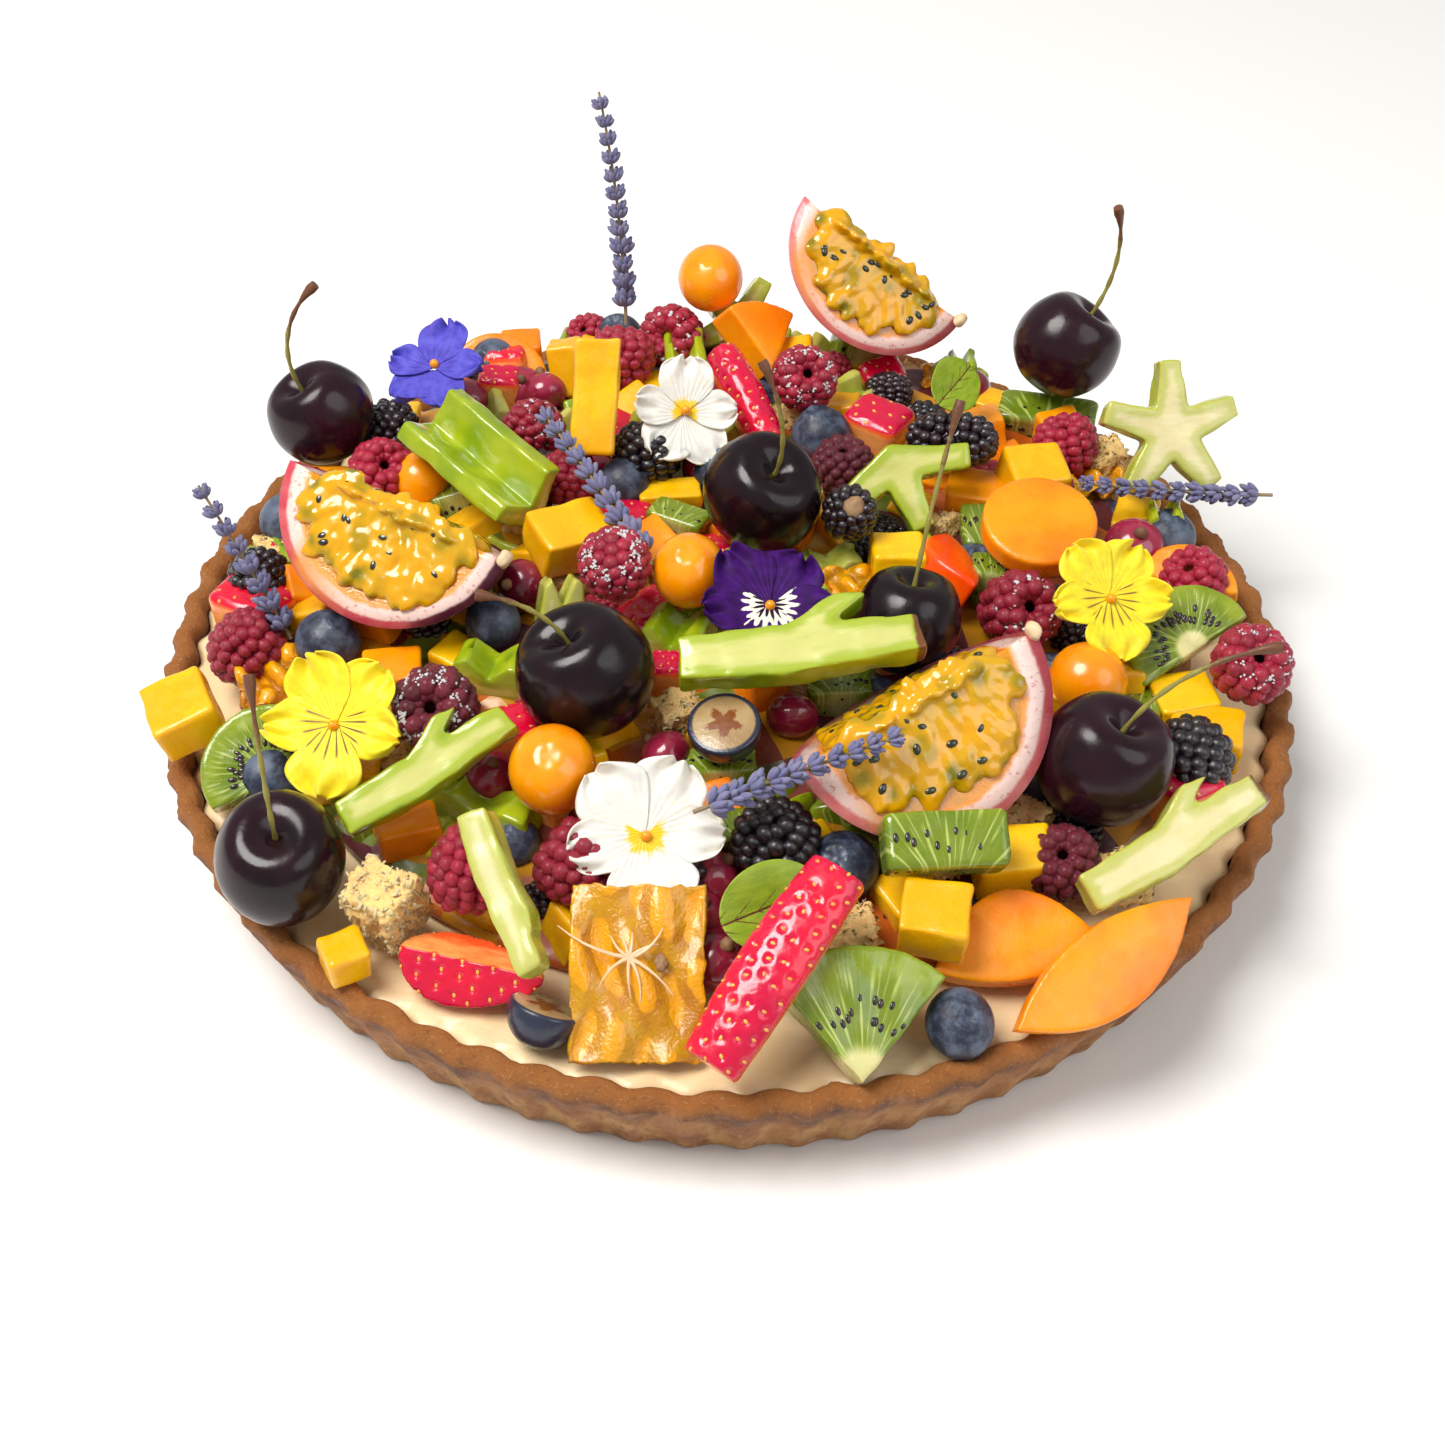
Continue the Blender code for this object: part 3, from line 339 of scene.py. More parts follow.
def bisected(piece: Piece, normal: Vector, place: Vector = Vector(), fill: bool = True) -> None:
    """Cut away what lies on the normal's side of a plane.

    Args:
        piece: The mesh object.
        normal: The plane's normal.
        place: A point on the plane.
        fill: Whether the cut is closed with a face.
    """
    with editing(piece):
        bpy.ops.mesh.select_all(action="SELECT")
        bpy.ops.mesh.bisect(plane_co=place, plane_no=normal, use_fill=fill, clear_outer=True)


def write(piece: Piece, name: str, kind: str, field_name: str, values: np.ndarray) -> None:
    """Write one attribute on every vertex.

    Args:
        piece: The mesh object.
        name: The attribute's name.
        kind: Its data type.
        field_name: The data's field that takes the values.
        values: One value or vector for each vertex.
    """
    found = piece.data.attributes.get(name) or piece.data.attributes.new(name, kind, "POINT")
    found.data.foreach_set(field_name, np.ascontiguousarray(values, np.float32).ravel())


def coordinates(piece: Piece) -> np.ndarray:
    """Give the places of an object's vertices, one row each.

    Args:
        piece: The mesh object.

    Returns:
        The rows.
    """
    rows = np.empty(len(piece.data.vertices) * 3, np.float32)
    piece.data.vertices.foreach_get("co", rows)
    return rows.reshape(-1, 3)


def corners(piece: Piece) -> tuple[Vector, Vector]:
    """Give the lowest and highest corners of an object's box."""
    rows = coordinates(piece)
    return Vector(rows.min(0).tolist()), Vector(rows.max(0).tolist())


def stamp(
    piece: Piece,
    tone: float = 0.5,
    cut: Callable[[Vector, Vector], float] | None = None,
    own: Matrix | None = None,
) -> Piece:
    """Write what the finishes read: own coordinates, a tone, and how far each place is a cut face.

    Args:
        piece: The mesh object, in its own directions.
        tone: A number from 0 to 1 that varies from piece to piece.
        cut: Gives a number from 0 to 1 from a vertex's place and normal.
        own: Takes the piece's directions to those of the fruit that it was cut from.

    Returns:
        The same object, shaded smooth.
    """
    places = coordinates(piece)
    if own:
        turn = np.array(own, np.float32)
        places = places @ turn[:3, :3].T + turn[:3, 3]
    write(piece, "own", "FLOAT_VECTOR", "vector", places)
    write(piece, "tone", "FLOAT", "value", np.full(len(places), tone))
    shares = [cut(v.co, v.normal) if cut else 0.0 for v in piece.data.vertices]
    write(piece, "cut", "FLOAT", "value", np.array(shares))
    piece.data.shade_smooth()
    return piece


def joined(name: str, pieces: list[Piece]) -> Piece:
    """Join objects into one.

    Args:
        name: The name of the result.
        pieces: The objects, of which the first one stays.

    Returns:
        The joined object.
    """
    if len(pieces) > 1:
        pick(*pieces)
        bpy.ops.object.join()
    pieces[0].name = pieces[0].data.name = name
    return pieces[0]


def scattered(name: str, model: Piece, places: list[Matrix], seed: int = 0) -> Piece:
    """Make one mesh from many copies of a stamped model, and remove the model.

    Args:
        name: The name of the result.
        model: What is copied.
        places: A matrix for each copy.
        seed: Draws the tone of each copy.

    Returns:
        The new object.
    """
    source = model.data
    points = coordinates(model)
    own = np.empty(points.size, np.float32)
    source.attributes["own"].data.foreach_get("vector", own)
    cut = np.empty(len(points), np.float32)
    source.attributes["cut"].data.foreach_get("value", cut)
    corners = np.empty(len(source.loops), np.int32)
    source.loops.foreach_get("vertex_index", corners)
    starts = np.empty(len(source.polygons), np.int32)
    source.polygons.foreach_get("loop_start", starts)
    finishes = np.empty(len(source.polygons), np.int32)
    source.polygons.foreach_get("material_index", finishes)
    count = len(places)
    turns = np.array([np.array(m, np.float32) for m in places])
    every = np.einsum("nij,pj->npi", turns[:, :3, :3], points) + turns[:, None, :3, 3]
    mesh = bpy.data.meshes.new(name)
    mesh.vertices.add(count * len(points))
    mesh.vertices.foreach_set("co", every.astype(np.float32).ravel())
    mesh.loops.add(count * len(corners))
    steps = np.arange(count, dtype=np.int32)[:, None]
    mesh.loops.foreach_set("vertex_index", (corners[None] + steps * len(points)).ravel())
    mesh.polygons.add(count * len(starts))
    mesh.polygons.foreach_set("loop_start", (starts[None] + steps * len(corners)).ravel())
    mesh.polygons.foreach_set("material_index", np.tile(finishes, count))
    mesh.update(calc_edges=True)
    mesh.validate()
    made = bpy.data.objects.new(name, mesh)
    bpy.context.scene.collection.objects.link(made)
    write(made, "own", "FLOAT_VECTOR", "vector", np.tile(own, count))
    write(made, "cut", "FLOAT", "value", np.tile(cut, count))
    tones = np.random.default_rng(seed).random(count)
    write(made, "tone", "FLOAT", "value", np.repeat(tones, len(points)))
    for finish in source.materials:
        mesh.materials.append(finish)
    mesh.shade_smooth()
    bpy.data.objects.remove(model)
    return made


def facing(place: Vector, normal: Vector, spin: float = 0.0, scale: float | tuple = 1.0) -> Matrix:
    """Stand something upright on a surface.

    Args:
        place: Where it stands.
        normal: Which way its Z then points.
        spin: How far it is turned about that.
        scale: Its size, or its size along each of its own directions.

    Returns:
        The matrix that puts it there.
    """
    sizes = scale if isinstance(scale, tuple) else (scale, scale, scale)
    lean = normal.to_track_quat("Z", "Y").to_matrix().to_4x4()
    return Matrix.Translation(place) @ lean @ Matrix.Rotation(spin, 4, "Z") @ Matrix.Diagonal((*sizes, 1))


def span(low: float, high: float, value: float) -> float:
    """Give how far a value has gone from low to high, eased at both ends and kept from 0 to 1."""
    share = min(1.0, max(0.0, (value - low) / (high - low)))
    return share * share * (3 - 2 * share)


def single_boxes() -> list[tuple[Vector, Vector]]:
    """Give the boxes of the nodes that lie on the heap or beside it."""
    return [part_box(name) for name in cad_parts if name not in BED_NODES]


def turn_of(turn: Turn) -> Matrix:
    """Give the rotation for a turn in degrees about X, Y and Z."""
    return Euler([math.radians(a) for a in turn], "XYZ").to_matrix()


def half_height(size: tuple[float, ...], turn: Turn) -> float:
    """Give half the height of a turned box."""
    rotation = turn_of(turn)
    return sum(abs(rotation[2][k]) * size[k] / 2 for k in range(3))


@dataclass(frozen=True)
class Seat:
    """The space of a node, measured in the directions in which its piece was modelled."""

    rotation: Matrix
    middle: Vector
    size: Vector

    @classmethod
    def of(cls, node: str, turn: Turn) -> "Seat":
        """Measure a node.

        Args:
            node: The node's name.
            turn: The turn with which its piece lies there, in degrees.

        Returns:
            The seat.
        """
        rotation = turn_of(turn)
        back = np.array(rotation.transposed(), np.float32)
        rows = coordinates(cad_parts[node]) @ back.T
        low, high = Vector(rows.min(0).tolist()), Vector(rows.max(0).tolist())
        return cls(rotation, (low + high) / 2, high - low)

    def take(self, piece: Piece, fit: tuple[bool, bool, bool] = (True, True, True)) -> None:
        """Lay a piece into this space.

        Args:
            piece: The piece, in its own directions.
            fit: Along which of them it is brought to the space's size.
        """
        low, high = corners(piece)
        size = high - low
        scale = [self.size[k] / size[k] if fit[k] else 1.0 for k in range(3)]
        centre = Matrix.Translation(-(low + high) / 2)
        place = Matrix.Translation(self.middle)
        piece.data.transform(self.rotation.to_4x4() @ place @ Matrix.Diagonal((*scale, 1)) @ centre)
        piece.data.update()


def hand_in(piece: Piece, name: str, slot: Slot, *nodes: str) -> Piece:
    """Name a finished piece, tie it to the tart's body and report it.

    Args:
        piece: The finished object.
        name: Its name.
        slot: The record's slot for its finish. Not used.
        nodes: The nodes that it stands for.

    Returns:
        The same object.
    """
    piece.name = piece.data.name = name
    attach(piece, "root")
    if nodes:
        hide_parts(*nodes)
    log.info("%s: %d faces", name, len(piece.data.polygons))
    return piece


# Finishes


class Graph:
    """Places nodes in a material's or a group's tree and links them."""

    def __init__(self, tree: bpy.types.NodeTree) -> None:
        """Take the tree to fill.

        Args:
            tree: The node tree.
        """
        self.tree = tree

    def feed(self, socket: Socket, value: Value) -> None:
        """Link a socket, or set it.

        Args:
            socket: The input.
            value: Another node's output, a number, a vector or a colour.
        """
        if isinstance(value, Socket):
            self.tree.links.new(value, socket)
        elif isinstance(value, tuple) and socket.type == "RGBA":
            socket.default_value = (*value[:3], 1)
        else:
            socket.default_value = value

    def add(
        self, kind: str, inputs: dict[str | int, Value] | None = None, **settings: object
    ) -> bpy.types.Node:
        """Add a node.

        Args:
            kind: The node's type.
            inputs: What goes into its sockets, by name or number.
            settings: Its own settings.

        Returns:
            The node.
        """
        node = self.tree.nodes.new(kind)
        for name, value in settings.items():
            setattr(node, name, value)
        for key, value in (inputs or {}).items():
            self.feed(node.inputs[key], value)
        return node

    def read(self, name: str) -> Socket:
        """Give one of the piece's own attributes."""
        node = self.add("ShaderNodeAttribute", attribute_name=name)
        return node.outputs["Vector" if name == "own" else "Fac"]

    def place(self) -> Socket:
        """Give the place on the tart."""
        return self.add("ShaderNodeTexCoord").outputs["Object"]

    def math(self, operation: str, a: Value, b: Value = 0.0) -> Socket:
        """Work out a sum.

        Args:
            operation: Which sum.
            a: The first number.
            b: The second number.

        Returns:
            The result.
        """
        return self.add("ShaderNodeMath", {0: a, 1: b}, operation=operation).outputs[0]

    def plus(self, a: Value, b: Value) -> Socket:
        """Add two numbers."""
        return self.math("ADD", a, b)

    def less(self, a: Value, b: Value) -> Socket:
        """Take the second number from the first."""
        return self.math("SUBTRACT", a, b)

    def times(self, a: Value, b: Value) -> Socket:
        """Multiply two numbers."""
        return self.math("MULTIPLY", a, b)

    def rest(self, share: Value) -> Socket:
        """Give what a share leaves of 1."""
        return self.less(1.0, share)

    def sway(self, value: Value, reach: Value) -> Socket:
        """Centre a noise on 0 and scale it."""
        return self.times(self.less(value, 0.5), reach)

    def fall(self, value: Value, low: float, high: float) -> Socket:
        """Give 1 below low, 0 above high, and an eased share between them."""
        return self.rest(self.step(value, low, high))

    def step(self, value: Value, low: float, high: float) -> Socket:
        """Give how far a value has gone from low to high, eased at both ends.

        Args:
            value: The value.
            low: Where the result is 0.
            high: Where the result is 1.

        Returns:
            The share.
        """
        inputs = {"Value": value, "From Min": low, "From Max": high}
        return self.add("ShaderNodeMapRange", inputs, interpolation_type="SMOOTHSTEP").outputs[0]

    def mix(self, share: Value, a: Value, b: Value, blend: str = "MIX") -> Socket:
        """Mix two colours.

        Args:
            share: How much of the second one.
            a: The first colour.
            b: The second colour.
            blend: How they mix.

        Returns:
            The colour.
        """
        node = self.add("ShaderNodeMix", {0: share, 6: a, 7: b}, data_type="RGBA", blend_type=blend)
        return node.outputs[2]

    def noise(self, vector: Value, scale: float, detail: float = 3.0, rough: float = 0.5) -> Socket:
        """Give soft noise from about 0.3 to 0.7.

        Args:
            vector: Where.
            scale: How fine, in swells for each metre.
            detail: How many finer layers.
            rough: How strong those are.

        Returns:
            The value.
        """
        inputs = {"Vector": vector, "Scale": scale, "Detail": detail, "Roughness": rough}
        return self.add("ShaderNodeTexNoise", inputs).outputs[0]

    def stretch(self, vector: Value, x: float, y: float, z: float) -> Socket:
        """Scale a vector along each direction."""
        return self.add("ShaderNodeMapping", {"Vector": vector, "Scale": (x, y, z)}).outputs[0]

    def split(self, vector: Value) -> list[Socket]:
        """Give a vector's three numbers."""
        return list(self.add("ShaderNodeSeparateXYZ", {0: vector}).outputs)

    def bump(self, height: Value, distance: float, strength: float = 1.0) -> Socket:
        """Turn a height into a normal.

        Args:
            height: The height, from 0 to 1.
            distance: How deep that is.
            strength: How strongly it shows.

        Returns:
            The normal.
        """
        inputs = {"Height": height, "Distance": distance, "Strength": strength}
        return self.add("ShaderNodeBump", inputs).outputs[0]


def group_of(
    name: str, build: Callable[[Graph, bpy.types.Node], dict[str, Value]], sockets: dict[str, str]
) -> bpy.types.NodeTree:
    """Build a group once.

    Args:
        name: The group's name.
        build: Fills the group and gives what goes to each output.
        sockets: Each socket's name with its direction and type, as "INPUT NodeSocketFloat".

    Returns:
        The group.
    """
    found = bpy.data.node_groups.get(name)
    if found:
        return found
    tree = bpy.data.node_groups.new(name, "ShaderNodeTree")
    for socket, words in sockets.items():
        way, kind = words.split()
        tree.interface.new_socket(name=socket, in_out=way, socket_type=kind)
    graph = Graph(tree)
    results = build(graph, graph.add("NodeGroupInput"))
    graph.add("NodeGroupOutput", results)
    return tree


def wet_film(graph: Graph, given: bpy.types.Node) -> dict[str, Value]:
    """Fill the group for moist surfaces: beads and runs of juice that are smoother than the rest.

    Args:
        graph: The group's graph.
        given: The group's inputs.

    Returns:
        What goes to each output.
    """
    where, fine = given.outputs["Vector"], given.outputs["Scale"]
    swell = graph.add("ShaderNodeTexNoise", {"Vector": where, "Scale": fine, "Detail": 4.0}).outputs[0]
    film = graph.step(swell, 0.42, 0.6)
    inputs = {"Value": film, "To Min": given.outputs["Dry"], "To Max": given.outputs["Wet"]}
    rough = graph.add("ShaderNodeMapRange", inputs).outputs[0]
    return {"Roughness": rough}


def mottle(graph: Graph, given: bpy.types.Node) -> dict[str, Value]:
    """Fill the group for uneven colour: patches of a second colour, and a shift of tone from piece to piece.

    Args:
        graph: The group's graph.
        given: The group's inputs.

    Returns:
        What goes to each output.
    """
    where, fine = given.outputs["Vector"], given.outputs["Scale"]
    patches = graph.add("ShaderNodeTexNoise", {"Vector": where, "Scale": fine, "Detail": 4.0}).outputs[0]
    tone = graph.times(graph.less(graph.read("tone"), 0.5), 0.35)
    share = graph.step(graph.plus(patches, tone), 0.35, 0.68)
    return {"Colour": graph.mix(share, given.outputs["First"], given.outputs["Second"]), "Share": share}


WET_SOCKETS = {
    "Vector": "INPUT NodeSocketVector",
    "Scale": "INPUT NodeSocketFloat",
    "Dry": "INPUT NodeSocketFloat",
    "Wet": "INPUT NodeSocketFloat",
    "Roughness": "OUTPUT NodeSocketFloat",
}
MOTTLE_SOCKETS = {
    "Vector": "INPUT NodeSocketVector",
    "Scale": "INPUT NodeSocketFloat",
    "First": "INPUT NodeSocketColor",
    "Second": "INPUT NodeSocketColor",
    "Colour": "OUTPUT NodeSocketColor",
    "Share": "OUTPUT NodeSocketFloat",
}


@dataclass(frozen=True)
class Finish:
    """A surface of two mottled colours under a film of juice. The fruits add their own patterns to it."""

    name: str
    first: Colour
    second: Colour
    dry: float = 0.45
    wet: float = 0.25
    patch: float = 140.0
    coat: float = 0.0
    glow: float = 0.0
    glow_depth: float = 2 * MM
    relief: float = 0.12 * MM
    specular: float = 0.5
    sheen: float = 0.0

    def base(self, graph: Graph) -> tuple[Value, Value]:
        """Give the mottled colour and the patches behind it.

        Args:
            graph: The material's graph.

        Returns:
            The colour, and the share of the second one.
        """
        tree = group_of("mottle", mottle, MOTTLE_SOCKETS)
        inputs = {
            "Vector": graph.read("own"), "Scale": self.patch, "First": self.first, "Second": self.second
        }
        node = graph.add("ShaderNodeGroup", node_tree=tree)
        for key, value in inputs.items():
            graph.feed(node.inputs[key], value)
        return node.outputs["Colour"], node.outputs["Share"]

    def paint(self, graph: Graph) -> tuple[Value, Value]:
        """Give the colour, and the height of the fine relief.

        Args:
            graph: The material's graph.

        Returns:
            The colour and the height.
        """
        colour, _ = self.base(graph)
        return colour, graph.noise(graph.read("own"), 900.0)

    def material(self) -> bpy.types.Material:
        """Build the material, or give the one that was built before.

        Returns:
            The material.
        """
        found = bpy.data.materials.get(self.name)
        if found:
            return found
        made = bpy.data.materials.new(self.name)
        made.use_nodes = True
        graph = Graph(made.node_tree)
        shader = made.node_tree.nodes["Principled BSDF"]
        colour, height = self.paint(graph)
        film = graph.add("ShaderNodeGroup", node_tree=group_of("wet_film", wet_film, WET_SOCKETS))
        for key, value in {"Vector": graph.place(), "Scale": 260.0, "Dry": self.dry, "Wet": self.wet}.items():
            graph.feed(film.inputs[key], value)
        graph.feed(shader.inputs["Base Color"], colour)
        graph.feed(shader.inputs["Roughness"], film.outputs["Roughness"])
        graph.feed(shader.inputs["Normal"], graph.bump(height, self.relief))
        shader.inputs["Subsurface Weight"].default_value = self.glow
        shader.inputs["Subsurface Radius"].default_value = (1.0, 0.5, 0.25)
        shader.inputs["Subsurface Scale"].default_value = self.glow_depth
        shader.inputs["Coat Weight"].default_value = self.coat
        shader.inputs["Coat Roughness"].default_value = 0.12
        shader.inputs["Specular IOR Level"].default_value = self.specular
        shader.inputs["Sheen Weight"].default_value = self.sheen
        return made


@dataclass(frozen=True)
class Crust(Finish):
    """Baked pastry: sandy, browner on the rim, with paler streaks low down the side and darker streaks high on
    it.
    """

    streak: Colour = (0.52, 0.27, 0.09)
    upper_dark: Colour = (0.12, 0.04, 0.02)
    rim: Colour = (0.36, 0.125, 0.02)
    grain: Colour = (0.8, 0.52, 0.24)
    speck: Colour = (0.14, 0.045, 0.012)
    rim_height: float = 23.6 * MM

    def paint(self, graph: Graph) -> tuple[Value, Value]:
        """Give the colour and the height.

        Args:
            graph: The material's graph.

        Returns:
            The colour and the height.
        """
        where = graph.place()
        _, _, z = graph.split(where)
        grain = graph.noise(where, 1300.0, 5.0, 0.7)
        blotch = graph.noise(graph.stretch(where, 1.0, 1.0, 0.6), 85.0, 4.0, 0.62)
        streaks = graph.noise(graph.stretch(where, 1.0, 1.0, 0.22), 170.0, 4.0, 0.65)
        side = graph.mix(graph.step(blotch, 0.38, 0.62), self.first, self.second)
        low = graph.fall(z, 10 * MM, 22 * MM)
        side = graph.mix(graph.times(graph.step(streaks, 0.42, 0.62), low), side, self.streak)
        # Darker streaks high on the side of the wall.
        uneven = graph.sway(blotch, 22 * MM)
        high = graph.step(graph.plus(z, uneven), 12 * MM, 20 * MM)
        side = graph.mix(
            graph.times(high, graph.times(graph.step(streaks, 0.36, 0.6), 0.85)), side, self.upper_dark
        )
        wobble = graph.sway(streaks, 5 * MM)
        top = graph.step(graph.plus(z, wobble), self.rim_height - 2.4 * MM, self.rim_height)
        colour = graph.mix(graph.times(top, 0.9), side, self.rim)
        colour = graph.mix(graph.times(graph.step(grain, 0.57, 0.72), 0.5), colour, self.grain)
        dark = graph.times(graph.step(graph.noise(where, 620.0, 4.0, 0.72), 0.57, 0.7), 0.6)
        return graph.mix(dark, colour, self.speck), graph.plus(grain, graph.times(streaks, 0.8))


@dataclass(frozen=True)
class Custard(Finish):
    """Smooth custard cream with faint spatula lines."""

    def paint(self, graph: Graph) -> tuple[Value, Value]:
        """Give the colour and the height.

        Args:
            graph: The material's graph.

        Returns:
            The colour and the height.
        """
        where = graph.place()
        colour, _ = self.base(graph)
        return colour, graph.noise(graph.stretch(where, 1.0, 2.0, 1.0), 120.0, 3.0, 0.55)


@dataclass(frozen=True)
class Rind(Finish):
    """The rind of a passion fruit: skin, speckled pith in the cut, and an orange lining at one end."""

    pith: Colour = (0.9, 0.66, 0.6)
    fleck: Colour = (0.6, 0.2, 0.18)
    lining: Colour = (0.85, 0.3, 0.02)
    dark_end: Colour = (0.09, 0.012, 0.03)
    dark_from: float = 0.6
    lining_end: float = -1.0
    reach: float = 29 * MM

    def paint(self, graph: Graph) -> tuple[Value, Value]:
        """Give the colour and the height.

        Args:
            graph: The material's graph.

        Returns:
            The colour and the height.
        """
        own, depth = graph.read("own"), graph.read("cut")
        x, _, _ = graph.split(own)
        skin, _ = self.base(graph)
        along = graph.math("DIVIDE", x, self.reach)
        patches = graph.noise(own, 90.0, 4.0, 0.6)
        end = graph.step(graph.plus(along, graph.times(patches, 0.4)), self.dark_from, self.dark_from + 0.35)
        skin = graph.mix(end, skin, self.dark_end)
        fibres = graph.noise(graph.stretch(own, 1.0, 0.35, 1.6), 620.0, 5.0, 0.7)
        pith = graph.mix(graph.times(graph.step(fibres, 0.56, 0.66), 0.8), self.pith, self.fleck)
        edge = graph.step(graph.plus(depth, graph.sway(patches, 0.4)), 0.26, 0.4)
        colour = graph.mix(edge, skin, pith)
        inner = graph.step(graph.plus(depth, graph.sway(patches, 0.9)), 0.72, 0.95)
        colour = graph.mix(inner, colour, self.lining)
        glowing = graph.step(graph.times(along, self.lining_end), -0.15, 0.75)
        glowing = graph.times(glowing, graph.fall(graph.times(along, self.lining_end), 0.62, 0.86))
        low = graph.times(glowing, graph.step(depth, 0.0, 0.12))
        return graph.mix(graph.times(low, 0.85), colour, self.lining), fibres


@dataclass(frozen=True)
class Pulp(Finish):
    """Pulp of a passion fruit: golden gel with dim olive seeds, and pale threads between the sacs."""

    seed: Colour = (0.13, 0.14, 0.004)
    deep: Colour = (0.34, 0.24, 0.0)
    thread: Colour = (0.95, 0.6, 0.06)

    def paint(self, graph: Graph) -> tuple[Value, Value]:
        """Give the colour and the height.

        Args:
            graph: The material's graph.

        Returns:
            The colour and the height.
        """
        own = graph.read("own")
        colour, _ = self.base(graph)
        wander = graph.noise(own, 260.0, 3.0)
        cell = graph.add("ShaderNodeTexVoronoi", {"Vector": own, "Scale": 165.0})
        reach = graph.plus(cell.outputs["Distance"], graph.times(wander, 0.35))
        halo = graph.fall(reach, 0.4, 0.72)
        heart = graph.fall(reach, 0.32, 0.5)
        some = graph.step(graph.split(cell.outputs["Color"])[0], 0.35, 0.6)
        colour = graph.mix(graph.times(halo, 0.8), colour, self.deep)
        colour = graph.mix(graph.times(graph.times(heart, some), 0.75), colour, self.seed)
        thin = graph.times(graph.step(graph.noise(own, 520.0, 4.0, 0.7), 0.6, 0.7), 0.2)
        return graph.mix(thin, colour, self.thread), graph.noise(own, 500.0, 2.0)


@dataclass(frozen=True)
class Kiwi(Finish):
    """Kiwi flesh: a pale core, pale rays and a darker band round it, seen on the cut faces."""

    core: Colour = (0.66, 0.62, 0.27)
    ray: Colour = (0.42, 0.5, 0.12)
    band: Colour = (0.1, 0.17, 0.008)
    radius: float = 27 * MM

    def paint(self, graph: Graph) -> tuple[Value, Value]:
        """Give the colour and the height.

        Args:
            graph: The material's graph.

        Returns:
            The colour and the height.
        """
        own = graph.read("own")
        x, y, _ = graph.split(own)
        flesh, _ = self.base(graph)
        flat = graph.add("ShaderNodeCombineXYZ", {0: x, 1: y}).outputs[0]
        reach = graph.add("ShaderNodeVectorMath", {0: flat}, operation="LENGTH").outputs["Value"]
        out = graph.math("DIVIDE", reach, self.radius)
        angle = graph.math("ARCTAN2", y, x)
        ring = graph.add(
            "ShaderNodeCombineXYZ", {0: graph.times(angle, 9.0), 1: graph.times(out, 0.8)}
        ).outputs[0]
        rays = graph.noise(ring, 1.9, 2.0, 0.5)
        mid = graph.times(graph.step(out, 0.2, 0.34), graph.fall(out, 0.62, 0.86))
        face = graph.mix(graph.times(mid, 0.55), flesh, self.band)
        face = graph.mix(
            graph.times(graph.step(rays, 0.52, 0.64), graph.fall(out, 0.7, 0.95)), face, self.ray
        )
        core = graph.fall(graph.plus(out, graph.times(rays, 0.14)), 0.26, 0.36)
        face = graph.mix(core, face, self.core)
        return graph.mix(graph.read("cut"), flesh, face), graph.plus(graph.noise(own, 500.0), rays)


@dataclass(frozen=True)
class Carambola(Finish):
    """Star fruit: waxy green skin, moist flesh that pales inwards where it was cut, and a brown tip."""

    flesh: Colour = (0.6, 0.6, 0.2)
    flesh_deep: Colour = (0.38, 0.47, 0.05)
    bruise: Colour = (0.16, 0.06, 0.015)

    def paint(self, graph: Graph) -> tuple[Value, Value]:
        """Give the colour and the height.

        Args:
            graph: The material's graph.

        Returns:
            The colour and the height.
        """
        own = graph.read("own")
        skin, _ = self.base(graph)
        fibres = graph.noise(graph.stretch(own, 0.35, 1.5, 1.5), 300.0, 3.0, 0.55)
        soft = graph.sway(fibres, 0.8)
        cut = graph.read("cut")
        flesh = graph.mix(graph.step(graph.plus(cut, soft), 0.55, 1.05), self.flesh_deep, self.flesh)
        colour = graph.mix(graph.step(cut, 0.12, 0.5), skin, flesh)
        ragged = graph.plus(graph.read("tip"), graph.times(soft, 0.8))
        return graph.mix(graph.step(ragged, 0.45, 0.75), colour, self.bruise), fibres


@dataclass(frozen=True)
class StrawberryFlesh(Finish):
    """Strawberry: red skin, and paler flesh with a white heart where it was cut."""

    flesh: Colour = (0.88, 0.1, 0.02)
    heart: Colour = (0.95, 0.38, 0.1)

    def paint(self, graph: Graph) -> tuple[Value, Value]:
        """Give the colour and the height.

        Args:
            graph: The material's graph.

        Returns:
            The colour and the height.
        """
        own, cut = graph.read("own"), graph.read("cut")
        skin, _ = self.base(graph)
        rays = graph.noise(graph.stretch(own, 0.5, 1.5, 1.5), 380.0, 3.0, 0.6)
        flesh = graph.mix(
            graph.step(graph.plus(cut, graph.times(rays, 0.7)), 1.0, 1.45), self.flesh, self.heart
        )
        return graph.mix(graph.step(cut, 0.1, 0.4), skin, flesh), graph.noise(own, 700.0, 3.0)


